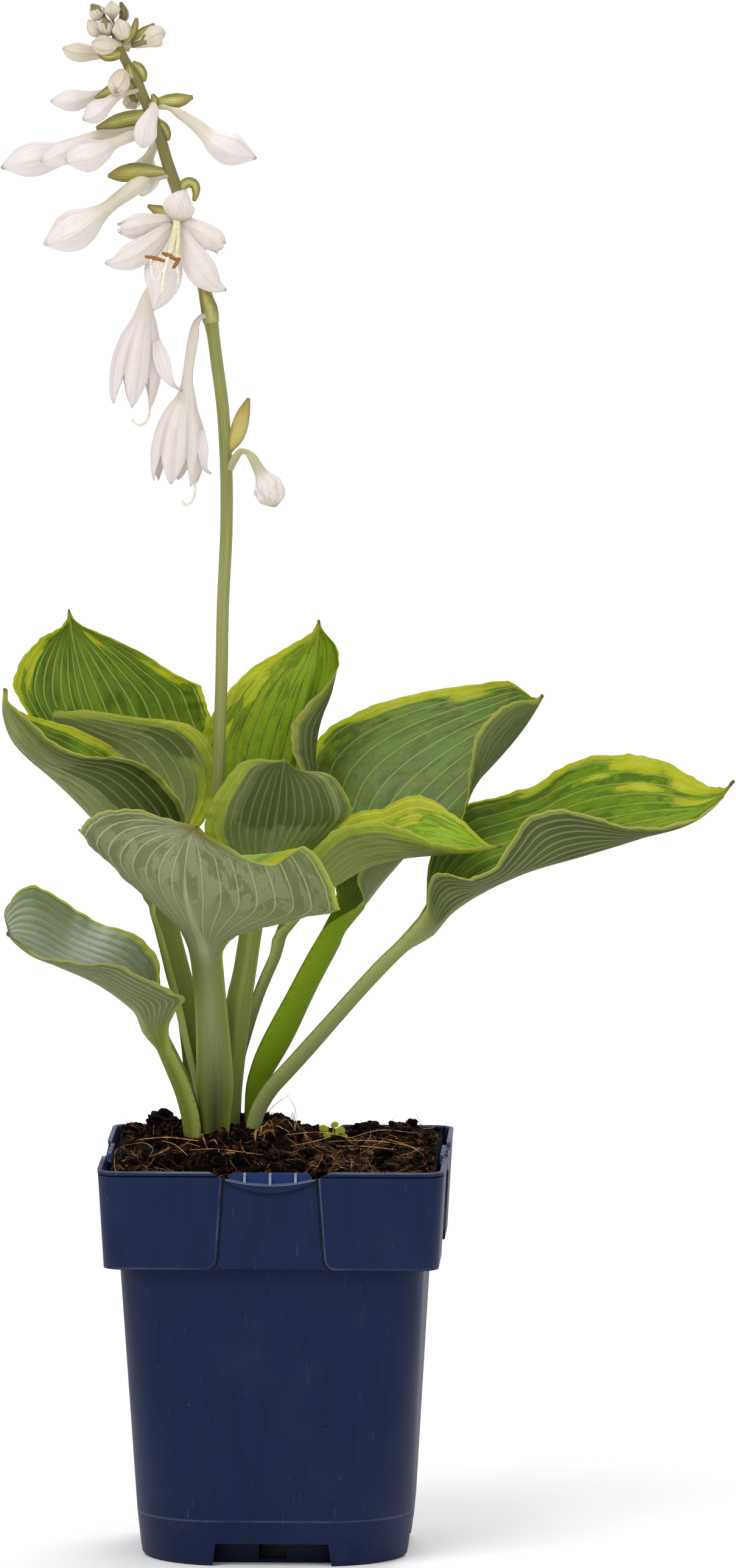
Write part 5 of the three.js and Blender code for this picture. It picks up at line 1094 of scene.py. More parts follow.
class Finish:
    """A material and the nodes that make it."""

    def __init__(self, name):
        self.material = bpy.data.materials.new(name)
        self.material.use_nodes = True
        self.tree = self.material.node_tree
        self.tree.nodes.clear()

    def node(self, kind, settings=None, sockets=None, out=0):
        """Adds a node: its settings first, then values or links for its sockets."""
        node = self.tree.nodes.new(kind)
        for key, value in (settings or {}).items():
            setattr(node, key, value)
        for key, value in (sockets or {}).items():
            if isinstance(value, Number):
                self.tree.links.new(value.socket, node.inputs[key])
            else:
                node.inputs[key].default_value = value
        return Number(self, node.outputs[out]) if len(node.outputs) else None

    def read(self, *names):
        """The numbers that the mesh carries at each point under these names."""
        numbers = [self.node("ShaderNodeAttribute", {"attribute_name": name}, out="Fac") for name in names]
        return numbers if len(numbers) > 1 else numbers[0]

    def spot(self):
        """The place in the object's own space, in metres."""
        return self.node("ShaderNodeTexCoord", out="Object")

    def angle(self):
        """The angle round a stalk, a bud or a bell."""
        return self.node("ShaderNodeMath", {"operation": "ARCTAN2"},
                         {0: self.read("turn_y"), 1: self.read("turn_x")})

    def vector(self, x, y, z=0.0):
        return self.node("ShaderNodeCombineXYZ", {}, {0: x, 1: y, 2: z})

    def stretched(self, vector, x, y, z):
        return self.node("ShaderNodeVectorMath", {"operation": "MULTIPLY"}, {0: vector, 1: (x, y, z)})

    def clouds(self, vector, scale, detail=3.0, roughness=0.5, distortion=0.0):
        """Noise between 0 and 1."""
        return self.node("ShaderNodeTexNoise", {}, {
            "Vector": vector, "Scale": scale, "Detail": detail, "Roughness": roughness,
            "Distortion": distortion})

    def mix(self, a, b, factor, blend="MIX"):
        """Colour a with b over it."""
        return self.node("ShaderNodeMix", {"data_type": "RGBA", "blend_type": blend},
                         {0: factor, 6: painted(a), 7: painted(b)}, out=2)

    def layers(self, colour, *coats):
        """A colour with coats over it, each a colour, how much of it, and how it blends."""
        for coat in coats:
            colour = self.mix(colour, *coat)
        return colour

    def surface(self, colour, roughness, relief=None, shine=0.5, glow=None, glow_share=0.0, **sockets):
        """Ends the material, with relief in millimetres and light that shines through it."""
        sockets.update({"Base Color": painted(colour), "Roughness": roughness, "Specular IOR Level": shine})
        if relief is not None:
            sockets["Normal"] = self.node(
                "ShaderNodeBump", {}, {"Height": relief, "Distance": MM, "Strength": 1.0})
        shader = self.node("ShaderNodeBsdfPrincipled", {}, sockets)
        if glow is not None:
            through = self.node("ShaderNodeBsdfTranslucent", {}, {"Color": painted(glow)})
            shader = self.node("ShaderNodeMixShader", {}, {0: glow_share, 1: shader, 2: through})
        self.node("ShaderNodeOutputMaterial", {}, {"Surface": shader})
        return self.material


def leaf_finish(settings):
    """Satin green with pale veins and gold margins above, glaucous and dull beneath, under each leaf's
    painted light and shade, with painted shade beside the veins and a painted sheen.
    """
    f = Finish("variegated leaf")
    lane, flow, half, margin, part, blade, under, seed = f.read(
        "lane", "flow", "half", "margin", "part", "blade", "under", "seed")
    light, blue, gold, pale, brown, clear, mark, sage = f.read(
        "light", "blue", "gold", "pale", "brown", "clear", "mark", "sage")
    count = lane.abs()
    wide = half / VEINS
    from_vein = (0.5 - (count.fract() - 0.5).abs()) * wide
    line = (wide * 0.16).least(settings.vein_width / MM / 2)
    vein = from_vein.below(line * 0.6, line * 1.5) * (wide.above(0.8, 4.0) * 0.8 + 0.2)
    spine = (under * 2.0 + 0.6 - part * 3.2).most(0.4)
    midrib = 1 - (count * wide).above(spine * 0.6, spine * 1.3)
    lines = vein.most(midrib)
    # beside is painted shade on both sides of each vein, where the veins lie in their grooves.
    beside = from_vein.below(line * 1.2, line * 3.2) * (1 - lines)
    grain = f.clouds(f.vector(lane * 11, flow * 0.55, seed), 1.0, 3, 0.6)
    speck = f.clouds(f.spot(), 1500.0, 2, 0.6)
    cloud = f.clouds(f.vector(lane * 1.0, flow * 0.045, seed), 1.0, 5, 0.62, 0.5)
    patch = cloud.above(0.42, 0.58)
    soft = f.clouds(f.vector(lane * 1.3, flow * 0.07, seed + 9), 1.0, 5, 0.65)
    finger = f.clouds(f.vector((lane * 2.2).floor() * 3.7, flow * 0.045, seed + 5), 1.0, 4, 0.6)
    rough = soft * 2.4 + finger * 1.6 - 2.0
    edge = ((finger * 3.0 + soft * 2.2 - 1.5) - margin / gold).most(mark * 2.4 - 1.2 + rough)
    edge = edge + (mark + 0.25).least(0) * 9
    is_gold = edge.above(-0.05, 0.05)
    is_mid = (edge + 0.5).above(-0.1, 0.2)
    is_deep = (edge + 1.3).above(0.0, 0.5) * finger.above(0.44, 0.5)
    is_dark = (mark * -1 + rough * 0.6).above(0.35, 0.55)
    is_deep = is_deep.most(is_dark)

    # tone is random patches plus the leaf's painted light and shade; it blends the dark and bright greens as
    # their shaded and lit ends, and sunlit adds painted light beyond it.
    tone = patch * 0.2 + light * 0.5 + 0.4
    sunlit = light - 1
    green = f.layers(
        settings.green_dark,
        (settings.green_bright, tone),
        (settings.green_sunlit, sunlit),
        (settings.glaucous, blue),
        (settings.green_deep, is_deep * 0.5),
        (settings.green_mid, is_mid * 0.7))
    yellow = f.layers(
        settings.gold,
        (settings.gold_pale, soft.above(0.45, 0.65)),
        (settings.gold_sunlit, sunlit))
    # Upper face, with painted shade beside the veins.
    upper = f.layers(
        green,
        (yellow, is_gold),
        ((0.6, 0.66, 0.5), beside * clear * (1 - is_gold) * 0.4, "MULTIPLY"),
        (settings.vein, lines * clear * (1 - is_gold * 0.6)))
    lower = f.layers(
        settings.under_dark,
        (settings.under_bright, tone),
        (settings.bloom, blue))
    droplet = f.clouds(f.vector(lane * 1.8, flow * 0.11, seed + 21), 1.0, 4, 0.55, 0.6)
    damp = cloud.above(0.5, 0.53).most(droplet.above(0.6, 0.64)) * part.above(0.25, 0.6)
    lower = f.mix(lower, settings.under_dark, (damp * 0.4).most(is_dark * 0.6))
    reach = pale * (soft * 1.2 + finger * 0.9) - margin
    is_pale = reach.above(-2.0, 2.5).most((mark * 2.4 - 1.2 + rough).above(-0.9, 1.1)) * (1 - damp * 0.3)
    beneath = f.mix(settings.under_gold, settings.gold_sunlit, sunlit)
    # Lower face, with painted shade beside the veins.
    lower = f.layers(
        lower,
        (beneath, is_pale * 0.85),
        ((0.6, 0.66, 0.55), beside * clear * 0.4, "MULTIPLY"),
        (settings.under_vein, lines * clear * (1 - is_pale * 0.6)))
    # Over both faces: painted shade where the painted light is far below zero, then the painted sheen on
    # glaucous upper faces.
    colour = f.layers(
        upper,
        (lower, under),
        ((0.5, 0.58, 0.3), tone * -2.5, "MULTIPLY"),
        (settings.painted_sheen, (blue - 0.6) * (1 - under) * 0.45))
    stripes = f.clouds(f.vector(lane * 2.2, flow * 0.015, seed + 3), 1.0, 4, 0.6)
    petiole = f.mix(settings.petiole, settings.petiole_pale, stripes.above(0.45, 0.7) * 0.4)
    waxy, low = (blue - 0.3).most(0) * under, flow.below(15, 70)
    petiole = f.layers(
        # The last layer is painted shade, darkening the middle of a waxy lower petiole near its foot.
        petiole,
        (settings.bloom, waxy * (1 - low) * 0.7),
        (settings.petiole_pale, count.below(0.8, 2.6) * under * (0.5 - blue * 0.5)),
        (settings.petiole_pale, count.above(6.6, 8.4) * 0.8),
        (settings.petiole_sage, sage),
        (settings.petiole_bright, sage * -1),
        (settings.petiole_foot, flow.below(0, 60) * stripes * 0.4),
        ((0.12, 0.12, 0.03), waxy * low * count.below(2.5, 8.5) * 1.3, "MULTIPLY"))
    colour = f.layers(
        petiole,
        (colour, blade),
        ((0.6, 0.66, 0.5), grain.above(0.4, 0.72) * 0.6, "MULTIPLY"),
        ((0.5, 0.52, 0.45), speck.above(0.58, 0.74) * 0.5, "MULTIPLY"))
    rim = margin.below(0.15, 0.65) * blade
    colour = f.layers(
        colour,
        (settings.rim, rim * 0.75),
        (settings.dry, brown * (grain * 0.9 + 0.5)))

    roughness = 0.36 + grain * 0.14 + under * 0.16
    ridge = lines * (under * 0.9 - 0.35) * blade * clear
    relief = ridge + grain * 0.16 + speck * 0.05
    golden = is_gold * (1 - under) + is_pale * under
    through = (tone.most(0) * 0.25 + golden * 0.8).least(1) * (1 - lines * 0.5) + 0.08
    return f.surface(colour, roughness, relief, glow=settings.glow,
                     glow_share=blade * through * settings.glow_share, shine=0.08,
                     **{"Coat Weight": blue * (1 - under * 0.5) * 0.8, "Coat Roughness": 0.4})


def flesh_finish(name, settings, round_body, glow_share, bell=False):
    """White flower tissue with lilac veins, cream at the foot and brown at the tip."""
    f = Finish(name)
    part, young = f.read("part", "young")
    if round_body:
        angle = f.angle()
        ribs = (angle * 6).ridges(6)
        fine = (angle * 30 + part * 2).ridges(3)
        across = angle * 3
        inside = f.read("full").above(0.3, 0.75).most(part.above(0.6, 0.75))
    else:
        lane = f.read("lane")
        ribs = (lane * 9.4).ridges(3)
        fine = (lane * 28).ridges(2)
        across = lane * 3
        inside = part.above(-0.15, 0.2)
    streak = f.clouds(f.vector(across, part * 2.2, f.read("seed")), 2.0, 4, 0.6)
    mottle = f.clouds(f.spot(), 420.0, 4, 0.6)
    lilac = (ribs * 0.5 + fine * 0.35) * streak.above(0.3, 0.7) * inside
    colour = f.layers(
        settings.petal_colour,
        (settings.tube_colour, (1 - inside) * (0.45 if bell else 1.0)),
        (settings.lilac, lilac * settings.lilac_share * (1.5 if round_body else 1.0)))
    cream = young * 0.8 + (0.1 if round_body else 0.0)
    colour = f.mix(colour, settings.young_colour, cream)
    seams = ribs.most(fine * 0.4) * streak.above(0.35, 0.6) * part.above(0.25, 0.6) * young
    colour = f.mix(colour, settings.seam, seams * 0.4)
    if bell:
        # Painted shade in the creases between the lobes, running up from each notch.
        notch = ((angle * 6).math("COSINE") * -0.5 + 0.5) ** 10
        colour = f.mix(colour, (0.8, 0.76, 0.78), notch * part.above(0.4, 0.75), "MULTIPLY")
    tip = part.above(0.95, 1.0) * mottle.above(0.35, 0.6) * (0.12 if bell else 0.7)
    colour = f.layers(
        colour,
        (settings.seam, tip),
        ((0.9, 0.86, 0.8), mottle.above(0.5, 0.8) * 0.6, "MULTIPLY"))
    relief = ribs * 0.12 + fine * 0.06 + mottle * 0.1
    return f.surface(colour, 0.38 + mottle * 0.16, relief, glow=(0.9, 0.86, 0.78),
                     glow_share=glow_share)


def withered_finish(settings):
    """Limp off-white petals with brown spots and dark creases."""
    f = Finish("withered petals")
    part = f.read("part")
    angle = f.angle()
    crease = f.clouds(f.vector(angle * 2.5, part * 5, 2.0), 1.4, 5, 0.65, 0.8)
    spots = f.clouds(f.spot(), 330.0, 3, 0.6)
    full = f.read("full").above(0.3, 0.7)
    colour = f.layers(
        (0.56, 0.55, 0.30),
        ((0.84, 0.78, 0.74), full),
        ((0.55, 0.42, 0.32), crease.above(0.5, 0.68) * 0.3),
        (settings.seam, spots.above(0.6, 0.72) * 0.35))
    return f.surface(colour, 0.5 + crease * 0.2, crease * 0.6 + spots * 0.1,
                     glow=(0.85, 0.8, 0.7), glow_share=0.15)


def stalk_finish(settings):
    """Smooth green skin with fine lengthwise streaks, olive towards the top."""
    f = Finish("flower stalk skin")
    angle = f.angle()
    part = f.read("part")
    streak = f.clouds(f.vector(angle * 4, part * 9, 1.0), 1.5, 4, 0.6)
    speck = f.clouds(f.spot(), 900.0, 3, 0.6)
    colour = f.layers(
        settings.stalk_low,
        (settings.stalk_green, part.above(0.45, 0.6)),
        (settings.stalk_high, part.above(0.78, 0.86)),
        ((0.6, 0.62, 0.45), streak.above(0.4, 0.65) * 0.6, "MULTIPLY"),
        ((0.2, 0.12, 0.1), speck.above(0.68, 0.78) * part.above(0.5, 1.0) * 0.5))
    return f.surface(colour, 0.38 + streak * 0.14, streak * 0.12 + speck * 0.05)


def bract_finish(settings):
    """Thin green to straw-coloured bracts with purple-brown edges and tips."""
    f = Finish("papery bract")
    lane, part, under, margin, dry = f.read("lane", "part", "under", "margin", "dry")
    veins = (lane * 22).ridges(2)
    streak = f.clouds(f.vector(lane * 4, part * 1.5, f.read("seed")), 2.0, 4, 0.6)
    speck = f.clouds(f.spot(), 700.0, 3, 0.6)
    foot = (part.below(0.1, 0.5) * 0.6).most(dry * 0.9)
    middle = (1 - lane.abs().above(0.1, 0.7)) * streak.above(0.25, 0.6)
    colour = f.layers(
        settings.bract_green,
        (settings.bract_pale, middle.most(foot)),
        ((0.62, 0.62, 0.5), veins * 0.5, "MULTIPLY"))
    dried = (part.above(0.5, 0.95) * streak.above(0.3, 0.5) * 0.6).most(dry * (part * 0.9 + 0.1))
    colour = f.layers(
        colour,
        (settings.bract_tan, dried),
        (settings.bract_young, f.read("young") * 0.85))
    edge = margin.below(0.3, 1.8).most(part.above(0.6, 1.0))
    colour = f.layers(
        colour,
        (settings.bract_edge, edge * streak.above(0.3, 0.65) * 0.7),
        (settings.bract_edge, speck.above(0.62, 0.74) * 0.4))
    return f.surface(colour, 0.45 + streak * 0.15 + under * 0.05, veins * 0.15 + speck * 0.05,
                     glow=(0.8, 0.82, 0.3), glow_share=0.3)


def seedling_finish(settings):
    """Light yellow-green of the young weed."""
    f = Finish("seedling green")
    mottle = f.clouds(f.spot(), 500.0, 4, 0.6)
    colour = f.mix(settings.green_mid, settings.gold, mottle.above(0.35, 0.65) * 0.6 + 0.3)
    return f.surface(colour, 0.4 + mottle * 0.15, mottle * 0.1, glow=settings.glow,
                     glow_share=0.3)


def stamen_finish(settings):
    """Yellow-green strands, cream filaments and powdery orange-brown anthers."""
    f = Finish("stamens")
    kind, strand = f.read("kind", "strand")
    dusty = f.clouds(f.spot(), 900.0, 4, 0.6)
    colour = f.layers(
        settings.style,
        (settings.strand, strand),
        (settings.anther, kind),
        ((0.6, 0.5, 0.4), dusty.above(0.4, 0.7) * 0.6, "MULTIPLY"))
    return f.surface(colour, 0.42 + kind * 0.4, dusty * (kind * 0.35 + 0.05))


def style_finish(settings):
    """Smooth cream of a hooked style."""
    f = Finish("cream style")
    streak = f.clouds(f.spot(), 600.0, 4, 0.6)
    colour = f.mix(settings.style, (0.72, 0.66, 0.5), streak.above(0.45, 0.7) * 0.5, "MULTIPLY")
    return f.surface(colour, 0.42 + streak * 0.1, streak * 0.05)


def pot_finish(settings):
    """Fine-grained matt navy-blue plastic, a little dusty and scuffed and soiled low down, with painted
    highlights and painted shade at its edges, under its collar and beneath.
    """
    f = Finish("navy pot plastic")
    spot = f.spot()
    x, y, height = (f.node("ShaderNodeSeparateXYZ", {}, {0: spot}, out=axis) / MM for axis in "XYZ")
    grain = f.clouds(spot, 2600.0, 2, 0.6)
    cloud = f.clouds(spot, 22.0, 4, 0.6)
    flow = f.clouds(f.stretched(spot, 1.0, 1.0, 0.12), 160.0, 4, 0.6)
    dust = f.clouds(spot, 520.0, 3, 0.7)
    smear = f.clouds(f.stretched(spot, 0.5, 0.5, 1.0), 60.0, 5, 0.7)
    scuff = f.clouds(f.stretched(spot, 1.0, 1.0, 0.06), 420.0, 3, 0.7)
    collar = height.above(COLLAR_BOTTOM, COLLAR_BOTTOM + 1)
    colour = f.layers(
        settings.colour,
        (settings.colour_collar, collar),
        ((0.6, 0.62, 0.72), flow.above(0.4, 0.7) * 0.45, "MULTIPLY"),
        (settings.dust, cloud.above(0.45, 0.8) * 0.025),
        (settings.dust, dust.above(0.68, 0.78) * 0.22),
        (settings.dust, scuff.above(0.66, 0.74) * 0.1),
        (settings.soil_stain, smear.above(0.6, 0.75) * height.below(0, 30) * 0.5))
    line = 1 - (height - BODY_LOW_Z).abs().above(0.2, 0.7)
    colour = f.mix(colour, settings.dust, line * smear.above(0.3, 0.6) * 0.12)

    out, aside = x.abs().most(y.abs()), x.abs().least(y.abs())
    slant = (PANEL_LOW - PANEL_TOP) / 2 / (POT_HEIGHT - COLLAR_BOTTOM)
    past = aside - (POT_HEIGHT - height) * slant - PANEL_TOP / 2
    risen = height - COLLAR_BOTTOM - 0.4
    corner = ((PLATE_CORNER - past).most(0) ** 2 + (PLATE_CORNER - risen).most(0) ** 2) ** 0.5
    inset = PLATE_CORNER - corner
    plate_side = out.above(COLLAR_LOW / 2 - 2, COLLAR_LOW / 2 - 1.4) * collar
    # A painted shade line along the inner edge of each plate, and a painted highlight line just on the
    # plate.
    plate_edge_shade = (1 - (inset + 0.5).abs().above(0.3, 0.9)) * plate_side
    plate_edge_highlight = (1 - (inset - 0.6).abs().above(0.2, 0.6)) * plate_side
    # Painted highlight along the top of the lip.
    lip = height.above(POT_HEIGHT - 0.9, POT_HEIGHT - 0.3)
    sunk = POT_HEIGHT - DIP_DEEP - height - (1 - (aside / SLOT_HALF) ** 2) * (SLOT_DEEP - DIP_DEEP)
    in_slot = aside.below(SLOT_HALF - 0.5, SLOT_HALF) * out.above(RIM / 2 - 4, RIM / 2 - 3.6)
    in_slot = in_slot * sunk.below(1.0, 1.4)
    tongue = out.below(RIM / 2 - 1.7, RIM / 2 - 1.4) * in_slot
    # Painted highlight on the rolled band under the slot; the ribs behind the slot are painted pale.
    band_highlight = (1 - sunk.abs().above(0.2, 0.6)) * in_slot
    rib = 1 - (((aside + RIB_PITCH / 2) / RIB_PITCH).fract() - 0.5).abs().above(0.035, 0.06)
    inner = BASE / 2 - CORNER_BASE
    spoke = ((x.abs() - inner).most(0) ** 2 + (y.abs() - inner).most(0) ** 2) ** 0.5
    # Painted shade and dirt darken the underside inside the skirt; deeper painted shade darkens the hollow
    # inside the foot.
    underside_shade_and_dirt = spoke.below(CORNER_BASE - 1.6, CORNER_BASE - 1.4) * height.below(FLOOR_UNDER, FLOOR_TOP)
    # Painted shadow under the rolled band below the slot.
    hollow = POT_HEIGHT - DIP_DEEP - height - (1 - (aside / (SLOT_HALF + 1)) ** 2) * (SLOT_BAND - DIP_DEEP)
    below = hollow.above(-0.1, 0.2) * hollow.below(0.4, 3.0)
    below = below * aside.below(SLOT_HALF, SLOT_HALF + 1)
    # Painted shade on the body just under the collar.
    collar_shade = (height - COLLAR_BOTTOM + 9).above(0, 9) * (1 - collar)
    colour = f.layers(
        colour,
        ((0.12, 0.12, 0.16), (plate_edge_shade * 0.8).most(below * plate_side * 0.7), "MULTIPLY"),
        ((0.55, 0.7, 0.85), collar_shade, "MULTIPLY"),
        (settings.dust, (plate_edge_highlight * 0.14 + lip * 0.4) * smear.above(0.3, 0.6)),
        (settings.tongue, tongue * 0.8),
        (settings.dust, (in_slot * rib * 0.8 * sunk.below(-0.2, 0.1)).most(band_highlight * 0.35)))
    deep = spoke.below(FOOT / 2 - inner - 3, FOOT / 2 - inner - 2)
    colour = f.layers(
        colour,
        ((0.6, 0.6, 0.65), underside_shade_and_dirt, "MULTIPLY"),
        ((0.2, 0.2, 0.2), underside_shade_and_dirt * deep, "MULTIPLY"))
    roughness = 0.4 + cloud * 0.14 + grain * 0.06
    relief = grain * 0.05 + flow * 0.03 + line * 0.04
    return f.surface(colour, roughness, relief, shine=0.13)


def soil_finish(settings):
    """Damp black-brown peat, reddish where it dries."""
    f = Finish("peat soil")
    spot = f.spot()
    crumb = f.clouds(spot, 300.0, 6, 0.75)
    patch = f.clouds(spot, 45.0, 3, 0.6)
    fleck = f.clouds(spot, 1100.0, 3, 0.6)
    dry = crumb.above(0.5, 0.62) * (patch.above(0.38, 0.6) * 0.8 + 0.2)
    colour = f.layers(
        settings.peat_dark,
        (settings.peat_red, dry),
        (settings.peat_dry, fleck.above(0.62, 0.7) * patch.above(0.4, 0.6) * 0.7),
        ((0.4, 0.4, 0.4), f.read("shade"), "MULTIPLY"))
    relief = crumb * 1.6 + fleck * 0.4
    return f.surface(colour, 0.85 + crumb * 0.15, relief, shine=0.06)


def fibre_finish(settings):
    """Dead fibres, straws and sheath scraps, from reddish brown to pale straw."""
    f = Finish("dead fibres")
    kind = f.read("kind")
    streak = f.clouds(f.stretched(f.spot(), 1.0, 1.0, 0.4), 700.0, 4, 0.6)
    stain = f.clouds(f.spot(), 160.0, 4, 0.7)
    colour = f.layers(
        settings.fibre_red,
        (settings.fibre_straw, kind),
        ((0.45, 0.36, 0.28), streak.above(0.4, 0.7) * 0.8, "MULTIPLY"),
        (settings.peat_dark, stain.above(0.5, 0.62) * 0.85))
    return f.surface(colour, 0.6 + streak * 0.25, streak * 0.15, shine=0.2)


def floor_finish(settings):
    """A plain pale floor."""
    f = Finish("pale floor")
    haze = f.clouds(f.spot(), 1.5, 2, 0.5)
    colour = f.mix(settings.floor, (0.97, 0.97, 0.97), haze.above(0.3, 0.7) * 0.2)
    return f.surface(colour, 0.75, shine=0.2)


# The pot.
def rounded_square(size, radius, z, steps=POT_STEPS):
    """A ring of points round a square with rounded corners."""
    inner = size / 2 - radius
    ring = []
    for corner, (cx, cy) in enumerate(((inner, inner), (-inner, inner), (-inner, -inner), (inner, -inner))):
        for i in range(steps + 1):
            angle = math.pi / 2 * (corner + i / steps)
            ring.append((cx + radius * math.cos(angle), cy + radius * math.sin(angle), z))
    return np.array(ring)


def solid(pile):
    """A body for joining and cutting."""
    return link("body", pile.mesh("body", smooth=False))


def loft(*rows):
    """A closed body through rounded squares: size, corner radius, height."""
    pile = Pile()
    pile.add_rings([rounded_square(*row) for row in rows])
    return solid(pile)


def on_sides(*outlines, sides=4):
    """Prisms that stand through the front wall: outline in x and z, from y0 to y1, on each side."""
    pile = Pile()
    for outline, y0, y1 in outlines:
        count = len(outline)
        area = sum(a[0] * b[1] - b[0] * a[1] for a, b in zip(outline, [*outline[1:], outline[0]]))
        if area > 0:
            outline = outline[::-1]
        front = np.array([(x, y0, z) for x, z in outline], float)
        back = np.array([(x, y1, z) for x, z in outline], float)
        i = np.arange(count)
        j = (i + 1) % count
        for turn in range(sides):
            c, s = round(math.cos(turn * math.pi / 2)), round(math.sin(turn * math.pi / 2))
            spin = np.array([[c, s, 0], [-s, c, 0], [0, 0, 1]])
            points = np.vstack([front, back]) @ spin
            pile.add(points, [np.stack([i, j, j + count, i + count], 1),
                              [i[::-1].tolist()], [(i + count).tolist()]])
    return solid(pile)


def block(x0, x1, y0, y1, z0, z1):
    """A box as an outline for on_sides."""
    return [(x0, z0), (x1, z0), (x1, z1), (x0, z1)], y0, y1


def use_modifiers(body):
    """Turns a body's modifiers into its mesh."""
    graph = bpy.context.evaluated_depsgraph_get()
    mesh = bpy.data.meshes.new_from_object(body.evaluated_get(graph))
    body.modifiers.clear()
    body.data = mesh


def carve(body, tool, operation="DIFFERENCE"):
    """Cuts a body with another, or joins them. The other is used up."""
    modifier = body.modifiers.new("carve", "BOOLEAN")
    modifier.object = tool
    modifier.operation = operation
    modifier.solver = "EXACT"
    modifier.use_self = True
    use_modifiers(body)
    bpy.data.objects.remove(tool)


def slot_arc(half, deep):
    """The hollow line of a label slot, from its left end to its right end."""
    return [(half * t, POT_HEIGHT - DIP_DEEP - (deep - DIP_DEEP) * (1 - t * t))
            for t in np.linspace(-1, 1, 18)]


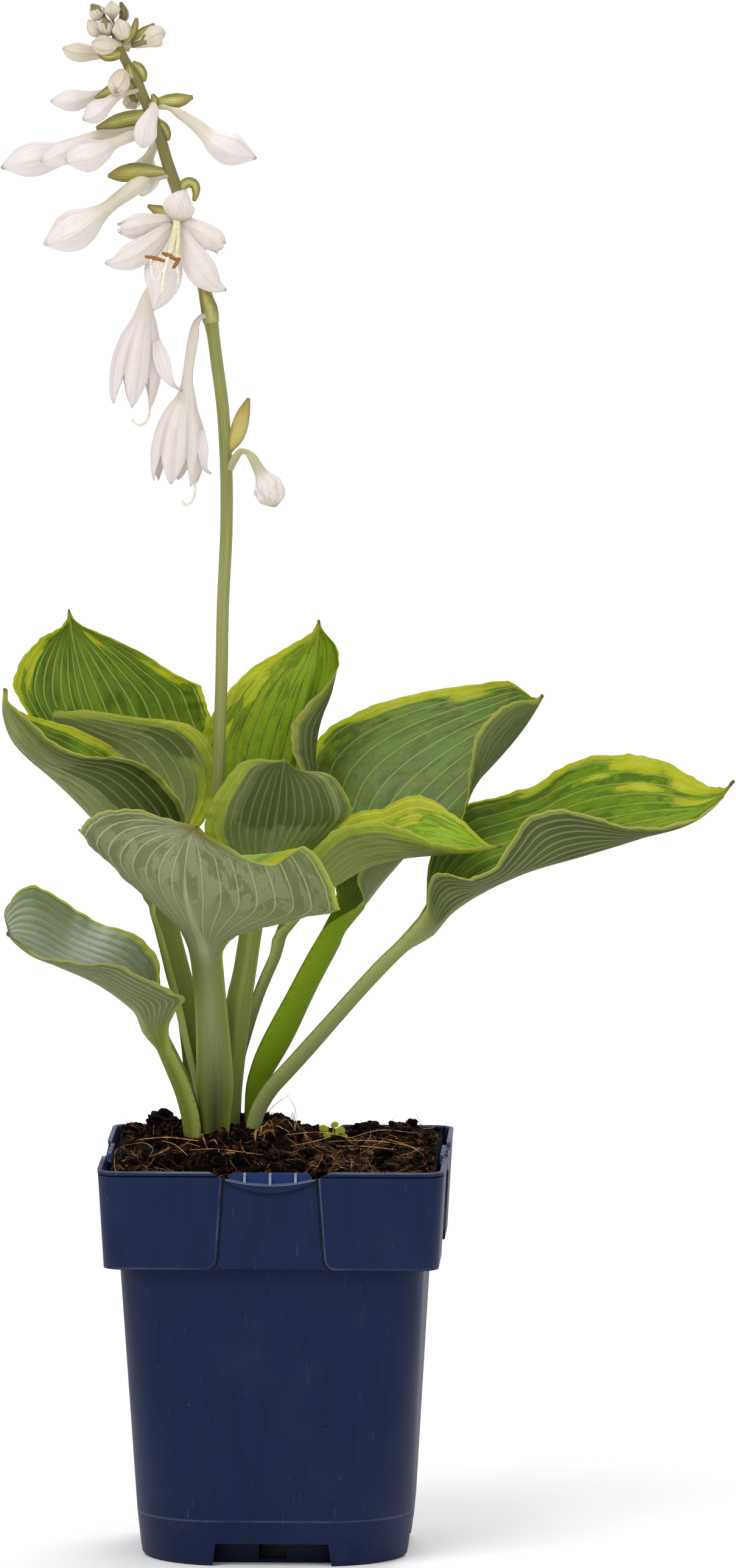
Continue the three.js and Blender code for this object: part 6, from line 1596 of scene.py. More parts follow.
def moulded_pot(settings):
    """The tapered body and collar with plates, label slots and the open underside."""
    neck = COLLAR_LOW - 2 * PLATE_PROUD
    drafts = [(BODY_LOW + (BODY_TOP - BODY_LOW) * t, CORNER_BASE - 3 + (CORNER_BODY - CORNER_BASE + 3) * t,
               BODY_LOW_Z + (COLLAR_BOTTOM - BODY_LOW_Z) * t) for t in (0, 0.2, 0.4, 0.6, 0.8, 1)]
    body = loft(
        (BASE - 2.4, CORNER_BASE - 1, 0), (BASE, CORNER_BASE, 1.4), *drafts,
        (neck, CORNER_RIM - 1, COLLAR_BOTTOM + 0.8),
        (RIM - 0.6 - 2 * PLATE_PROUD, CORNER_RIM - 0.5, POT_HEIGHT - LIP - 0.6),
        (RIM, CORNER_RIM, POT_HEIGHT - LIP), (RIM, CORNER_RIM, POT_HEIGHT))

    plates = loft(
        (COLLAR_LOW, CORNER_RIM, COLLAR_BOTTOM + 0.4), (RIM - 0.4, CORNER_RIM + 0.5, POT_HEIGHT - LIP - 0.8))
    low, high, bottom = PANEL_LOW / 2, PANEL_TOP / 2, COLLAR_BOTTOM - 1
    arc = [(low - PLATE_CORNER * (1 - math.sin(a)), bottom + PLATE_CORNER * (1 - math.cos(a)))
           for a in np.linspace(0, math.pi / 2, 7)]
    right = arc + [(high, POT_HEIGHT)]
    panel = right + [(-x, z) for x, z in reversed(right)]
    front = -RIM / 2
    carve(plates, on_sides((panel, front - 5, front + 15)))
    carve(body, plates, "UNION")
    carve(body, loft(
        (BASE + 1.9 - 2 * WALL, CORNER_BASE - 4, FLOOR_TOP),
        (BODY_TOP - 2 * WALL, CORNER_BODY - 1.5, COLLAR_BOTTOM + 1),
        (neck - 2 * WALL, CORNER_RIM - 2, COLLAR_BOTTOM + 2 + WALL),
        (RIM - 2 * WALL - 0.2, CORNER_RIM - 2, POT_HEIGHT + 1)))

    inner, outer = slot_arc(SLOT_HALF, SLOT_DEEP), slot_arc(SLOT_HALF + 1, SLOT_BAND)
    carve(body, on_sides((outer + inner[::-1], front + 0.1, front + 2.4)), "UNION")
    slope = [(SLOT_HALF + (DIP_HALF - SLOT_HALF) * (1 - t), POT_HEIGHT - DIP_DEEP * t * t * (3 - 2 * t))
             for t in np.linspace(0, 0.92, 8)]
    edge = [(DIP_HALF, POT_HEIGHT + 2)] + slope
    outline = edge + inner[::-1] + [(-x, z) for x, z in reversed(edge)]
    carve(body, on_sides((outline, front - 5, front + 4)))
    top = POT_HEIGHT - 0.5
    plate = [(-TONGUE_HALF, POT_HEIGHT - 12), (TONGUE_HALF, POT_HEIGHT - 12), (TONGUE_HALF, top - 2),
             (TONGUE_HALF - 1.8, top), (1.8 - TONGUE_HALF, top), (-TONGUE_HALF, top - 2)]
    tongues = on_sides((plate, front + 1.8, front + 3.4))
    ribs = [block(x - RIB_HALF, x + RIB_HALF, front + 0.7, front + 2.6, POT_HEIGHT - 6.2, top - 1.4)
            for x in (-RIB_PITCH, 0, RIB_PITCH)]
    carve(tongues, on_sides(*ribs), "UNION")
    carve(body, tongues, "UNION")

    skirt = loft((BASE - 3.4, CORNER_BASE - 3, -1), (BASE - 2, CORNER_BASE - 4, FLOOR_UNDER))
    carve(skirt, loft((FOOT, CORNER_FOOT, -2), (FOOT, CORNER_FOOT, FLOOR_TOP + 1)))
    carve(body, skirt)
    cutout = [(-CUTOUT_LOW / 2, -1), (CUTOUT_LOW / 2, -1), (CUTOUT_HIGH / 2, FLOOR_UNDER),
              (-CUTOUT_HIGH / 2, FLOOR_UNDER)]
    carve(body, on_sides((cutout, -BASE / 2 - 4, -BASE / 2 + 6)))
    for x, y in ((RIM / 2, TUNNEL_HALF), (TUNNEL_HALF, RIM / 2)):
        carve(body, on_sides(block(-x, x, -y, y, TUNNEL_LOW, TUNNEL_HIGH), sides=1))
    holes = Pile()
    for turn in range(4):
        angle = turn * math.pi / 2
        spin = Vector((1, 0, 0)).rotation_difference(Vector((math.cos(angle), math.sin(angle), 0)))
        for x in (-DRAIN_OFFSET, DRAIN_OFFSET):
            middle = Vector((x, -DRAIN_OUT, 0))
            middle.rotate(spin)
            axis = np.array([(*middle.xy, z) for z in (FLOOR_UNDER - 1, FLOOR_TOP + 1)])
            holes.add_rings(rings_along(axis, np.full(2, DRAIN_RADIUS), 24))
    carve(body, solid(holes))
    soften = body.modifiers.new("soft edges", "BEVEL")
    soften.width = settings.edge_round
    soften.segments = 2
    soften.limit_method = "ANGLE"
    soften.angle_limit = math.radians(35)
    soften.use_clamp_overlap = True
    use_modifiers(body)
    mesh = body.data
    mesh.name = "moulded_pot"
    bpy.data.objects.remove(body)
    mesh.polygons.foreach_set("use_smooth", [True] * len(mesh.polygons))
    mesh.set_sharp_from_angle(angle=math.radians(32))
    return mesh


# The soil.
def soil_height(x, y):
    """How high the soil lies."""
    far = ((x - CROWN_X) ** 2 + (y - CROWN_Y) ** 2) / CROWN_WIDE ** 2
    inside = np.maximum(0, 1 - np.maximum(np.abs(x), np.abs(y)) / SOIL_HALF)
    z = SOIL_FRONT + SOIL_TILT * (y + SOIL_HALF) / (2 * SOIL_HALF)
    z = z + SOIL_FILL * np.sqrt(inside) + CROWN_RISE * np.exp(-far * far)
    z = z + 0.9 * np.sin(0.23 * x + 0.11 * y) * np.sin(0.19 * y - 0.07 * x)
    for lump_x, lump_y, wide, high in LUMPS:
        z = z + high * np.exp(-((x - lump_x) ** 2 + (y - lump_y) ** 2) / (wide * wide))
    return z


def rough_soil(x, y):
    """The soil's height with its clods and crumbs."""
    z = float(soil_height(x, y))
    clods = noise.fractal(Vector((x * 0.09, y * 0.09, 3.0)), 0.9, 2.1, 5)
    crumbs = noise.fractal(Vector((x * 0.42, y * 0.42, 9.0)), 0.8, 2.2, 4)
    edge = min(1.0, max(0.0, (SOIL_HALF - max(abs(x), abs(y))) / 6))
    return z + edge * (1.1 * clods + 0.75 * crumbs) - 0.4


# Rings and points of the soil's top; how far from the middle crumbs, clods and the ends of fibres
# lie at most; the steps of a fibre; and the big clod at the left.
SOIL_RINGS = 78
SOIL_POINTS = 280
CRUMB_REACH = 68
CLOD_REACH = 66
FIBRE_END = 68.5
FIBRE_STEPS = 8
BIG_CLOD = (-51, 24)
BIG_CLOD_SIZE = 7.0


def peat_bed():
    """The soil in the whole depth of the pot, with a rough top."""
    sides = [
        (BASE - 2.3, CORNER_BASE - 4, FLOOR_TOP + 0.3),
        (BODY_TOP - 2 * WALL - 0.7, CORNER_BODY - 2, COLLAR_BOTTOM + 1),
        (COLLAR_LOW - 2 * PLATE_PROUD - 2 * WALL - 0.7, CORNER_RIM - 2.4, COLLAR_BOTTOM + 4)]
    corners = [rounded_square(*row, 6) for row in sides + [(RIM - 9, CORNER_RIM - 2.6, SOIL_FRONT)]]
    rings = [spaced(ring) for ring in corners]
    top = rings.pop()
    for share in np.linspace(1, 0.004, SOIL_RINGS):
        ring = top * share
        ring[:, 2] = [rough_soil(x, y) for x, y in ring[:, :2]]
        rings.append(ring)
    pile = Pile()
    pile.add_rings(rings, shade=0.0)
    return pile


def spaced(ring):
    """The same closed ring with its points evenly spaced."""
    closed = np.vstack([ring, ring[:1]])
    far = lengths_along(closed)
    at = np.linspace(0, far[-1], SOIL_POINTS, endpoint=False)
    return np.stack([np.interp(at, far, closed[:, axis]) for axis in range(3)], axis=1)


def crumb_shape(fineness=2):
    """A small ball to make crumbs from."""
    ball = bmesh.new()
    bmesh.ops.create_icosphere(ball, subdivisions=fineness, radius=1.0)
    points = np.array([tuple(v.co) for v in ball.verts])
    faces = np.array([[v.index for v in face.verts] for face in ball.faces])
    ball.free()
    return points, faces


def turned_about(points, rng):
    """Points turned by a random angle about each axis in turn."""
    for a, b in ((0, 1), (1, 2), (0, 2)):
        angle = rng.uniform(0, 2 * math.pi)
        first = points[:, a] * math.cos(angle) - points[:, b] * math.sin(angle)
        second = points[:, a] * math.sin(angle) + points[:, b] * math.cos(angle)
        points = points.copy()
        points[:, a], points[:, b] = first, second
    return points


def peat_crumbs(settings):
    """Loose crumbs and clods on the soil."""
    rng = random.Random(11)
    ball, faces = crumb_shape()
    pile = Pile()
    for _ in range(settings.crumbs):
        x, y = (rng.uniform(-CRUMB_REACH, CRUMB_REACH) for _ in "xy")
        size = 0.55 + 1.9 * rng.random() ** 3.2
        stretch = np.array([rng.uniform(0.7, 1.3), rng.uniform(0.7, 1.2), rng.uniform(0.55, 0.95)])
        offset = Vector((rng.uniform(-50, 50), rng.uniform(-50, 50), 0))
        lumps = np.array([1 + 0.38 * noise.noise(Vector(p) * 1.5 + offset) for p in ball])
        points = turned_about(ball * lumps[:, None] * size * stretch, rng)
        points = points + np.array([x, y, rough_soil(x, y) + 0.25 * size])
        pile.add(points, [faces], shade=rng.uniform(-0.4, 0.7))
    fine_ball, fine_faces = crumb_shape(4)
    for _ in range(settings.clods):
        x, y = (rng.uniform(-CLOD_REACH, CLOD_REACH) for _ in "xy")
        size = rng.uniform(1.6, 3.6)
        add_clod(pile, (x, y, rough_soil(x, y) + 0.3 * size), size, fine_ball, fine_faces, rng)
    middle = (*BIG_CLOD, rough_soil(*BIG_CLOD) + 2.5)
    add_clod(pile, middle, BIG_CLOD_SIZE, fine_ball, fine_faces, rng)
    return pile


def add_clod(pile, middle, size, ball, faces, rng):
    """A rough lump of peat."""
    offset = Vector((rng.uniform(-50, 50), rng.uniform(-50, 50), 0))
    lumps = np.array([1 + 0.5 * noise.fractal(Vector(p) * 1.7 + offset, 0.8, 2.2, 4) for p in ball])
    stretch = np.array([rng.uniform(0.8, 1.3), rng.uniform(0.8, 1.2), rng.uniform(0.6, 0.9)])
    pile.add(ball * lumps[:, None] * size * stretch + np.array(middle), [faces], shade=rng.uniform(0.2, 0.8))


# Rings of threads start from this side, and fewer fibres lie in the bare patch round the crown.
LYING = (0.31, 0.2, 0.93)
BARE_X, BARE_Y, BARE_WIDE, BARE_LONG = -24, -8, 36, 44


def add_thread(pile, points, radius, kind, sides):
    """A thin thread through points, tapered at both ends."""
    points = np.asarray(points, float)
    part = np.linspace(0, 1, len(points))
    radii = radius * (0.35 + 0.65 * np.sin(math.pi * np.clip(part, 0.06, 0.94)))
    pile.add_rings(rings_along(points, radii, sides, LYING), kind=kind)


def peat_fibres(settings):
    """Reddish fibres and straw rootlets on the soil, some standing up and some over the rim."""
    rng = random.Random(23)
    pile = Pile()
    for index in range(settings.fibres):
        lying = index % 5 != 0
        length = 5 + 22 * rng.random() ** 1.6 if lying else rng.uniform(4, 10)
        x, y = (rng.uniform(-CLOD_REACH, CLOD_REACH) for _ in "xy")
        if math.hypot((x - BARE_X) / BARE_WIDE, (y - BARE_Y) / BARE_LONG) < 1 and index % 3 != 0:
            continue
        heading = rng.uniform(0, 2 * math.pi)
        bend = rng.uniform(-0.16, 0.16)
        lift = rng.uniform(0.0, 1.2) if lying else rng.uniform(2, 7)
        points = []
        step = length / FIBRE_STEPS
        for t in np.linspace(0, 1, FIBRE_STEPS + 1):
            x = min(FIBRE_END, max(-FIBRE_END, x + step * math.cos(heading)))
            y = min(FIBRE_END, max(-FIBRE_END, y + step * math.sin(heading)))
            heading += bend + rng.uniform(-0.25, 0.25)
            rise = lift * (math.sin(math.pi * t) if lying else t ** 1.4)
            points.append((x, y, rough_soil(x, y) + 0.25 + rise + rng.uniform(-0.15, 0.15)))
        kind = rng.random() ** 2.6
        add_thread(pile, points, rng.uniform(0.08, 0.14 + 0.07 * kind), kind, sides=4)
    for row in STRAWS:
        add_thread(pile, drawn_out(row, 0, 14)[1], row[0][3] * 0.55, 0.9, sides=7)
    return pile


def sheath_scraps():
    """Dried scraps of old leaf sheaths round the crown, split into curled strips."""
    rng = random.Random(5)
    pile = Pile()
    for x, y, strips in SCRAPS:
        for _ in range(strips):
            heading = rng.uniform(0, 2 * math.pi)
            reach, lift, wide = rng.uniform(4, 11), rng.uniform(0.5, 4), rng.uniform(0.15, 0.7)
            curl = rng.uniform(-1.2, 1.2)
            points = []
            for t in np.linspace(0, 1, 12):
                turn = heading + curl * t
                px, py = x + reach * t * math.cos(turn), y + reach * t * math.sin(turn)
                points.append((px, py, rough_soil(px, py) + 0.4 + lift * math.sin(math.pi * t ** 0.8)))
            points = np.array(points)
            part = np.linspace(0, 1, len(points))
            radii = wide * np.sin(math.pi * np.clip(part, 0.03, 0.97)) ** 0.7
            twist = rng.uniform(-2.5, 2.5) * part[:, None] + rng.uniform(0, 3)
            flat = np.sqrt(0.04 + 0.96 * np.cos(angles_round(8) + twist) ** 2)
            pile.add_rings(rings_along(points, radii[:, None] * flat, 8, LYING), kind=rng.uniform(0.15, 0.8))
    return pile


# The flowers and the stalk. Bracts hug the youngest buds: how far along, before or behind. Buds
# slimmer than a full bud are young. Anthers and frayed petals are rows of their tables. Lights
# are turn and height in degrees, share of the main light, and softness in degrees.
SHEATHED = {"bud_18": 0.5, "bud_14": 0.6, "bud_16": 0.45, "bud_11": -0.75, "bud_09": -0.7,
            "bud_13": -0.7, "bud_17": -0.8, "bud_12": 0.35, "bud_19": 0.4}
FULL_BUD = 4.2
ANTHERS = (3, 4, 5)
TOOTHED = {1: 1.6, 5: 1.6}
FLOOR_REACH = 40.0
LIGHTS = {"window": (-38, 48, 1.0, 40), "fill": (48, 32, 0.3, 60), "behind": (165, 52, 0.9, 30)}


def hugging_rows(rows, reach):
    """The rows of a bract that lies on a bud, in front of it or behind."""
    rows = [row for row in rows if row[3] > 0.85]
    count = max(3, round(abs(reach) * len(rows)))
    side = math.copysign(1, reach)
    hugging = [[x, z, y - side * (radius + 0.3), radius * 0.85] for x, z, y, radius in rows[:count]]
    x, z, y, _ = hugging[-1]
    step = [a - b for a, b in zip(hugging[-1], hugging[-2])]
    return hugging + [[x + 0.8 * step[0], z + 0.8 * step[1], y + side * 0.6, 0.4]]


# Points round a bell, its rows and those of its lobes. The notches between the lobes are so many
# lobe lengths deep, and the lobes' rows start so many lobe lengths from their tips.
BELL_SIDES = 72
BELL_ROWS = 64
LOBE_ROWS = 16
NOTCH_DEEP = 2.1
LOBES_START = 2.6


def hanging_bell(pile, flower, seed):
    """A half-closed flower: six pointed lobes round a hollow mouth."""
    at, line, radius = drawn_out(flower["rows"], 0.3, BELL_ROWS)
    size = max(row[3] for row in flower["rows"])
    swollen = ease(radius, 0.3 * size, 0.9 * size)[:, None]
    from_middle = np.abs((angles_round(BELL_SIDES) * 3 / math.pi + 0.5) % 1 - 0.5) * 2
    rings = rings_along(line, radius[:, None] * (1 + 0.08 * swollen * (0.4 - from_middle ** 2)), BELL_SIDES)
    reach = np.array([0.25, 0.5, 0.75, 1.0])
    mouth, centre, down, lobe = rings[-1], line[-1], unit(line[-1] - line[-2]), flower["lobe"]
    beyond = [mouth + down * lobe * share + (centre - mouth) * (0.02 + 0.16 * share ** 2) for share in reach]
    stack = np.array(list(rings) + beyond)
    far = np.concatenate([at, at[-1] + lobe * reach])
    rng = random.Random(seed)
    uneven = np.repeat([rng.uniform(0, 0.12) for _ in range(6)], BELL_SIDES // 6)
    short = NOTCH_DEEP * lobe * (from_middle ** 1.5 + uneven)
    start = far[-1] - LOBES_START * lobe
    body = [ring for ring, place_along in zip(rings, at) if place_along < start]
    outer = []
    for share in np.linspace(0, 1, LOBE_ROWS):
        stop = start + (far[-1] - short - start) * share
        outer.append(np.stack([[np.interp(stop[i], far, stack[:, i, axis]) for axis in range(3)]
                               for i in range(BELL_SIDES)]))
    spine = np.array([np.interp(start + (far[-1] - start) * share, far, [*line[:, axis], *[
        centre[axis] + down[axis] * lobe * r for r in reach]]) for share in np.linspace(0, 1, LOBE_ROWS)
        for axis in range(3)]).reshape(LOBE_ROWS, 3)
    inner = [ring + (middle - ring) * 0.05 for ring, middle in zip(outer, spine)]
    deep = [body[k] + (line[k] - body[k]) * 0.06 for k in (-1, -5, -9)]
    deep.append(body[-16] + (line[-16 - len(rings) + len(body)] - body[-16]) * 0.3)
    every = np.array(body + outer + inner[::-1] + deep)
    far_out = np.linspace(start, far[-1], LOBE_ROWS)
    part = np.concatenate([at[:len(body)], far_out, far_out[::-1]]) / far[-1]
    part = np.concatenate([part, np.full(len(deep), 0.7)])
    full = np.concatenate([radius[:len(body)] / size, np.ones(len(every) - len(body))])
    closed_rings(pile, every, full, part, seed=seed)


def a_colour(name, description, default):
    """A colour that can be changed in the panel."""
    return FloatVectorProperty(name=name, description=description, default=default, subtype="COLOR",
                               size=3, min=0.0, max=1.0)


def a_length(name, description, default, least, most):
    """A length, given in millimetres, that can be changed in the panel."""
    return FloatProperty(name=name, description=description, default=default * MM, min=least * MM,
                         max=most * MM, unit="LENGTH", precision=5)


def a_strength(name, description, default, most=1.0):
    """A share or a strength that can be changed in the panel."""
    return FloatProperty(name=name, description=description, default=default, min=0.0, max=most)


def a_number(name, description, default, most):
    """A number of things that can be changed in the panel."""
    return IntProperty(name=name, description=description, default=default, min=0, max=most)


class PotSettings(bpy.types.PropertyGroup):
    """The nursery pot."""

    colour: a_colour("Body", "Colour of the tapered body", (0.005, 0.012, 0.050))
    colour_collar: a_colour("Collar", "Colour of the collar", (0.006, 0.014, 0.052))
    tongue: a_colour("Tongue", "Colour of the thin tongue behind the scoop", (0.009, 0.026, 0.115))
    # Besides dust and scuffs, this colour paints the highlights on the lip, the plate edges and the band
    # under the slot, and paints the ribs in the slot pale.
    dust: a_colour("Dust", "Colour of dust and scuffs", (0.28, 0.31, 0.38))
    soil_stain: a_colour("Stain", "Colour of soil on the lower edge", (0.05, 0.04, 0.03))
    edge_round: a_length("Edge rounding", "Rounding of the moulded edges", 0.35, 0.05, 0.6)


class SoilSettings(bpy.types.PropertyGroup):
    """The peat soil."""

    peat_dark: a_colour("Damp peat", "Colour of the damp peat", (0.0022, 0.0012, 0.0008))
    peat_red: a_colour("Reddish peat", "Colour of the reddish crumbs", (0.105, 0.042, 0.019))
    peat_dry: a_colour("Dry flecks", "Colour of dry flecks", (0.19, 0.11, 0.055))
    fibre_red: a_colour("Red fibres", "Colour of the reddish fibres", (0.21, 0.075, 0.026))
    fibre_straw: a_colour("Straw", "Colour of straws and sheath scraps", (0.64, 0.35, 0.12))
    crumbs: a_number("Crumbs", "How many loose crumbs lie on the soil", 1000, 3000)
    clods: a_number("Clods", "How many rough lumps lie on the soil", 110, 500)
    fibres: a_number("Fibres", "How many fibres lie on the soil", 760, 3000)


class LeafSettings(bpy.types.PropertyGroup):
    """The leaves."""

    # The dark and bright greens and undersides are the shaded and lit ends of one colour, blended by each
    # leaf's painted light and random patches; the sunlit colours are painted light.
    green_deep: a_colour("Deep green", "Dark patches beside the gold margin", (0.030, 0.060, 0.008))
    green_dark: a_colour("Dark green", "Darker green of the upper face", (0.048, 0.095, 0.010))
    green_mid: a_colour("Middle green", "Green beside the gold margin", (0.23, 0.34, 0.016))
    green_bright: a_colour("Bright green", "Brighter green of the upper face", (0.25, 0.41, 0.012))
    green_sunlit: a_colour("Sunlit green", "Green of the parts nearest the light", (0.40, 0.60, 0.04))
    glaucous: a_colour("Glaucous", "Waxy grey-green", (0.16, 0.21, 0.10))
    # A painted sheen, laid on the glaucous upper faces.
    painted_sheen: a_colour("Sheen", "Painted sheen where the upper face shines", (0.42, 0.46, 0.38))
    bloom: a_colour("Bloom", "Waxy blue-grey of the lower face", (0.31, 0.33, 0.20))
    gold: a_colour("Gold margin", "Chartreuse of the margins", (0.52, 0.51, 0.030))
    gold_pale: a_colour("Pale margin", "Cream streaks of the margins", (0.56, 0.54, 0.09))
    gold_sunlit: a_colour("Sunlit margin", "Margins nearest the light", (0.78, 0.80, 0.08))
    vein: a_colour("Veins", "Veins of the upper face", (0.33, 0.43, 0.085))
    rim: a_colour("Rim", "Thin rim of the blade", (0.46, 0.36, 0.16))
    dry: a_colour("Dried tips", "Dried tips and frayed edges", (0.13, 0.065, 0.028))
    under_dark: a_colour("Dark underside", "Darker tone of the lower face", (0.034, 0.052, 0.005))
    under_bright: a_colour("Bright underside", "Brighter tone of the lower face", (0.25, 0.30, 0.075))
    under_gold: a_colour("Margin beneath", "Gold margin seen from beneath", (0.56, 0.62, 0.09))
    under_vein: a_colour("Veins beneath", "Raised veins of the lower face", (0.50, 0.54, 0.26))
    petiole: a_colour("Petiole", "Leaf stalks", (0.165, 0.215, 0.025))
    petiole_pale: a_colour("Pale petiole", "Pale streaks of the leaf stalks", (0.34, 0.38, 0.085))
    petiole_sage: a_colour("Sage petiole", "Greyish leaf stalks", (0.30, 0.33, 0.13))
    petiole_bright: a_colour("Bright petiole", "Brightest leaf stalks", (0.17, 0.27, 0.004))
    petiole_foot: a_colour("Petiole foot", "Brownish foot of the leaf stalks", (0.085, 0.075, 0.015))
    glow: a_colour("Light through", "Colour of light that shines through", (0.80, 0.90, 0.10))
    glow_share: a_strength("Light through", "Share of light that passes through", 0.5, 0.8)
    quilting: a_length("Quilting", "How deep the veins lie", 0.6, 0.0, 1.5)
    ripple: a_length("Ripple", "Height of the waves along the margins", 0.9, 0.0, 3.0)
    vein_width: a_length("Vein width", "Width of the side veins", 0.9, 0.3, 3.0)


class FlowerSettings(bpy.types.PropertyGroup):
    """The flower stalk, the buds and the flowers."""

    petal_colour: a_colour("Petals", "White of the petals and buds", (0.87, 0.815, 0.795))
    tube_colour: a_colour("Tubes", "Greenish cream of the tubes", (0.73, 0.67, 0.52))
    young_colour: a_colour("Young buds", "Cream of the youngest buds", (0.74, 0.665, 0.52))
    lilac: a_colour("Lilac veins", "Veins of the petals and buds", (0.60, 0.44, 0.51))
    seam: a_colour("Seams", "Purple-brown seams and tips", (0.32, 0.17, 0.13))
    lilac_share: a_strength("Lilac share", "How strong the lilac veins are", 0.55)
    stalk_low: a_colour("Stalk", "Green of the lower stalk", (0.29, 0.305, 0.092))
    stalk_green: a_colour("Stalk middle", "Green of the stalk among the bells", (0.27, 0.29, 0.075))
    stalk_high: a_colour("Stalk top", "Olive of the upper stalk", (0.22, 0.20, 0.055))
    bract_green: a_colour("Green bracts", "Olive green of the bracts", (0.26, 0.30, 0.065))
    bract_pale: a_colour("Pale bracts", "Straw yellow of the bracts", (0.84, 0.78, 0.30))
    bract_tan: a_colour("Bract ends", "Tan of the drying ends of the bracts", (0.56, 0.38, 0.12))
    bract_young: a_colour("Young bracts", "Purple-grey olive of the youngest bracts", (0.25, 0.215, 0.115))
    bract_edge: a_colour("Bract edges", "Purple-brown edges of the bracts", (0.16, 0.07, 0.05))
    style: a_colour("Styles", "Cream of the styles and filaments", (0.86, 0.83, 0.72))
    strand: a_colour("Strands", "Yellow green of the style's foot", (0.80, 0.76, 0.46))
    anther: a_colour("Anthers", "Orange brown of the anthers", (0.33, 0.13, 0.02))


class StageSettings(bpy.types.PropertyGroup):
    """The floor and the studio light."""

    floor: a_colour("Floor", "Colour of the floor", (0.93, 0.93, 0.93))
    sky: a_strength("Room light", "Strength of the light from all round", 0.58, 5.0)
    sun: a_strength("Main light", "Strength of the main light", 1.42, 20.0)


class HOSTA_OT_pot(bpy.types.Operator):
    """Mould the nursery pot"""

    bl_idname = "hosta.pot"
    bl_label = "Nursery Pot"

    def execute(self, context):
        settings = context.scene.hosta_pot
        place("moulded_pot", moulded_pot(settings), pot_finish(settings), "pot")
        return {"FINISHED"}


class HOSTA_OT_soil(bpy.types.Operator):
    """Fill the pot with peat soil, its crumbs, fibres and scraps"""

    bl_idname = "hosta.soil"
    bl_label = "Peat Soil"

    def execute(self, context):
        settings = context.scene.hosta_soil
        peat, fibres = soil_finish(settings), fibre_finish(settings)
        place("peat_bed", peat_bed(), peat, "soil")
        place("peat_crumbs", peat_crumbs(settings), peat, "soil")
        place("peat_fibres", peat_fibres(settings), fibres, "soil")
        place("sheath_scraps", sheath_scraps(), fibres, "soil")
        return {"FINISHED"}


class HOSTA_OT_leaves(bpy.types.Operator):
    """Grow the ten leaves on their petioles"""

    bl_idname = "hosta.leaves"
    bl_label = "Leaves"

    def execute(self, context):
        settings = context.scene.hosta_leaf
        finish = leaf_finish(settings)
        for index, (name, leaf) in enumerate(LEAVES.items()):
            place(f"veined_{name}", grown_leaf(name, leaf, settings, index), finish, name)
        return {"FINISHED"}


class HOSTA_OT_seedling(bpy.types.Operator):
    """Sow the small weed beside the crown"""

    bl_idname = "hosta.seedling"
    bl_label = "Weed Seedling"

    def execute(self, context):
        pile = Pile()
        add_tube(pile, SEEDLING_STEM, sides=10, spacing=1.0, seed=1.0)
        for index, (x, z, y, radius) in enumerate(SEEDLING_LEAVES):
            stem = [(*SEEDLING_FORK, 0.3), (x, z - 0.3, y, 0.35)]
            add_tube(pile, stem, sides=8, spacing=0.6, seed=1.0)
            out = radius if x > SEEDLING_FORK[0] else -radius
            rows = [(x - out, z - 0.8, y, 0.5), (x - 0.4 * out, z + 0.1, y, radius * 0.85),
                    (x + 0.4 * out, z + 0.2, y, radius * 0.95), (x + out, z - 0.4, y, 0.5)]
            add_boat(pile, rows, 0.15, 0.3, steps=14, seed=float(index))
        finish = seedling_finish(context.scene.hosta_leaf)
        place("sprouted_seedling", pile, finish, "weed_seedling")
        return {"FINISHED"}


class HOSTA_OT_stalk(bpy.types.Operator):
    """Raise the flower stalk with its bracts"""

    bl_idname = "hosta.stalk"
    bl_label = "Flower Stalk"

    def execute(self, context):
        settings = context.scene.hosta_flower
        stalk, bracts = Pile(), Pile()
        add_tube(stalk, STALK, sides=24, spacing=2.0)
        for index, rows in enumerate(BRACTS):
            dry = float(rows[0][1] < LOWEST_BRACTS)
            add_boat(bracts, rows, 0.4, BRACT, steps=24, seed=float(index), dry=dry)
        for index, (name, reach) in enumerate(SHEATHED.items()):
            add_boat(bracts, hugging_rows(BUDS[name], reach), 0.5, 0.4, steps=14, seed=30.0 + index,
                     young=1.0)
        place("leaning_scape", stalk, stalk_finish(settings), "flower_stalk")
        place("papery_bracts", bracts, bract_finish(settings), "flower_stalk")
        return {"FINISHED"}


class HOSTA_OT_buds(bpy.types.Operator):
    """Hang the closed buds and the withered flower on the stalk"""

    bl_idname = "hosta.buds"
    bl_label = "Buds"

    def execute(self, context):
        settings = context.scene.hosta_flower
        closed = flesh_finish("closed bud", settings, True, 0.15)
        for index, (name, rows) in enumerate(BUDS.items()):
            pile = Pile()
            if name == "withered_flower":
                add_tube(pile, rows, sides=48, spacing=0.7, wobble=0.16, seed=float(index))
                place("limp_flower", pile, withered_finish(settings), name)
                continue
            young = float(max(row[3] for row in rows) < FULL_BUD)
            rows = [[*row[:3], row[3] * (1 + 0.25 * young)] for row in rows]
            add_tube(pile, rows, sides=36, spacing=0.7, ribs=0.12, seed=float(index), young=young)
            place(f"ribbed_{name}", pile, closed, name)
        return {"FINISHED"}


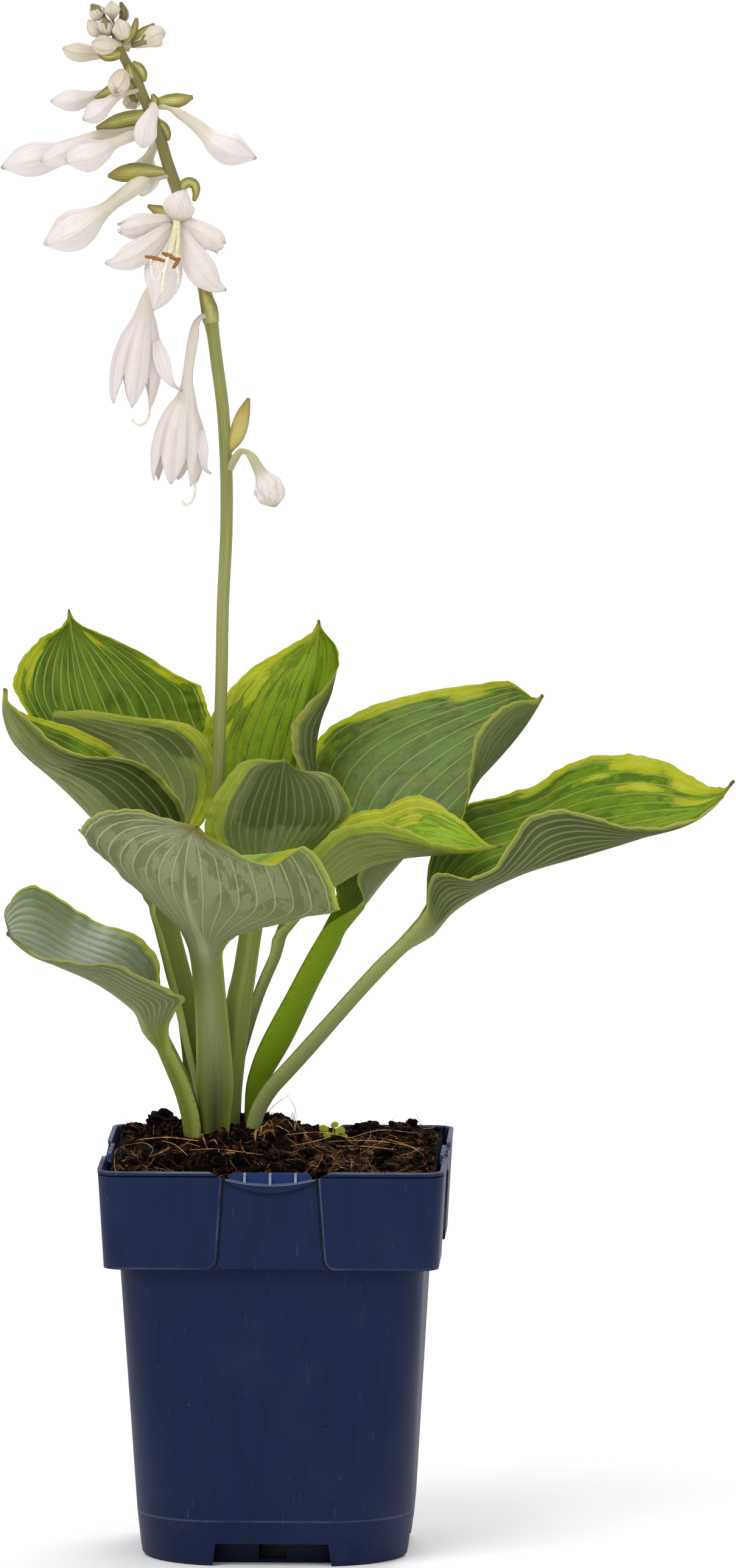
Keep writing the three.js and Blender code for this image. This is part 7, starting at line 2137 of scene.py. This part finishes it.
class HOSTA_OT_bells(bpy.types.Operator):
    """Hang the two half-closed flowers with their hooked styles"""

    bl_idname = "hosta.bells"
    bl_label = "Hanging Bells"

    def execute(self, context):
        settings = context.scene.hosta_flower
        bell = flesh_finish("bell petals", settings, True, 0.25, bell=True)
        petal = flesh_finish("curled petals", settings, False, 0.25)
        hook = style_finish(settings)
        for index, (name, flower) in enumerate(BELLS.items()):
            cup, curl, style = Pile(), Pile(), Pile()
            hanging_bell(cup, flower, float(index))
            add_boat(curl, flower["curl"], -0.3, PETAL, steps=30, seed=float(index))
            add_tube(style, flower["style"], sides=12, spacing=0.8)
            place(f"bell_{name}", cup, bell, name)
            place(f"curled_{name}", curl, petal, name)
            place(f"hooked_{name}", style, hook, f"{name}_style")
        return {"FINISHED"}


class HOSTA_OT_open_flower(bpy.types.Operator):
    """Open the flower with its six petals and its stamens"""

    bl_idname = "hosta.open_flower"
    bl_label = "Open Flower"

    def execute(self, context):
        settings = context.scene.hosta_flower
        petals, tube, stamens = Pile(), Pile(), Pile()
        for index, rows in enumerate(PETALS):
            teeth = TOOTHED.get(index, 0.0)
            add_boat(petals, rows, 0.35, PETAL, steps=34, teeth=teeth, seed=float(index))
        add_tube(tube, OPEN_TUBE, sides=30, spacing=0.5, seed=7.0)
        for index, rows in enumerate(STAMENS):
            add_tube(stamens, rows, sides=10, spacing=0.6, kind=float(index in ANTHERS),
                     strand=float(index < 2))
        place("open_petals", petals, flesh_finish("open petals", settings, False, 0.3),
              "flower_open")
        place("open_tube", tube, flesh_finish("flower tube", settings, True, 0.1), "flower_open")
        place("open_stamens", stamens, stamen_finish(settings),
              "flower_open_stamens")
        return {"FINISHED"}


class HOSTA_OT_stage(bpy.types.Operator):
    """Set the pale floor, the soft light and the camera"""

    bl_idname = "hosta.stage"
    bl_label = "Stage"

    def execute(self, context):
        settings = context.scene.hosta_stage
        mesh = bpy.data.meshes.new("pale_floor")
        corners = [(-1, -1), (1, -1), (1, 1), (-1, 1)]
        mesh.from_pydata([(x * FLOOR_REACH, y * FLOOR_REACH, 0) for x, y in corners], [], [range(4)])
        mesh.materials.append(floor_finish(settings))
        link("pale_floor", mesh)

        world = bpy.data.worlds.new("studio")
        world.use_nodes = True
        back = world.node_tree.nodes["Background"]
        back.inputs["Color"].default_value = (1.0, 1.0, 1.0, 1.0)
        back.inputs["Strength"].default_value = settings.sky
        context.scene.world = world
        for name, (turn, lift, share, soft) in LIGHTS.items():
            light = bpy.data.lights.new(name, "SUN")
            light.energy = settings.sun * share
            light.angle = math.radians(soft)
            turn, lift = math.radians(turn), math.radians(lift)
            flat = math.cos(lift)
            towards = Vector((math.sin(turn) * flat, -math.cos(turn) * flat, math.sin(lift)))
            link(name, light).rotation_euler = towards.to_track_quat("Z", "Y").to_euler()

        lens = bpy.data.cameras.new("photo_view")
        lens.lens = LENS
        lens.clip_end = 200.0
        camera = link("photo_view", lens)
        camera.location = Vector(EYE * MM)
        camera.rotation_euler = Vector((AIM - EYE) * MM).to_track_quat("-Z", "Y").to_euler()
        context.scene.camera = camera
        context.scene.view_settings.view_transform = "Standard"
        return {"FINISHED"}


PIECES = ("pot", "soil", "leaves", "seedling", "stalk", "buds", "bells", "open_flower", "stage")
GROUPS = {"hosta_pot": PotSettings, "hosta_soil": SoilSettings, "hosta_leaf": LeafSettings,
          "hosta_flower": FlowerSettings, "hosta_stage": StageSettings}


class HOSTA_PT_panel(bpy.types.Panel):
    """Lists the pieces and their settings"""

    bl_idname = "HOSTA_PT_panel"
    bl_label = "Potted Hosta"
    bl_space_type = "VIEW_3D"
    bl_region_type = "UI"
    bl_category = "Potted Hosta"

    def draw(self, context):
        for piece in PIECES:
            self.layout.operator(f"hosta.{piece}")
        for name, group in GROUPS.items():
            box = self.layout.box()
            box.label(text=group.__doc__)
            for key in group.__annotations__:
                box.prop(getattr(context.scene, name), key)


CLASSES = (*GROUPS.values(), HOSTA_OT_pot, HOSTA_OT_soil, HOSTA_OT_leaves, HOSTA_OT_seedling,
           HOSTA_OT_stalk, HOSTA_OT_buds, HOSTA_OT_bells, HOSTA_OT_open_flower, HOSTA_OT_stage,
           HOSTA_PT_panel)


def register():
    """Makes the settings, operators and panel known."""
    for cls in CLASSES:
        bpy.utils.register_class(cls)
    for name, group in GROUPS.items():
        setattr(bpy.types.Scene, name, PointerProperty(type=group))


def unregister():
    """Takes them away again."""
    for name in GROUPS:
        delattr(bpy.types.Scene, name)
    for cls in reversed(CLASSES):
        bpy.utils.unregister_class(cls)


def main():
    """Builds everything."""
    register()
    bpy.ops.hosta.stage()
    bpy.ops.hosta.pot()
    bpy.ops.hosta.soil()
    bpy.ops.hosta.leaves()
    bpy.ops.hosta.seedling()
    bpy.ops.hosta.stalk()
    bpy.ops.hosta.buds()
    bpy.ops.hosta.bells()
    bpy.ops.hosta.open_flower()


if __name__ == "__main__":
    main()
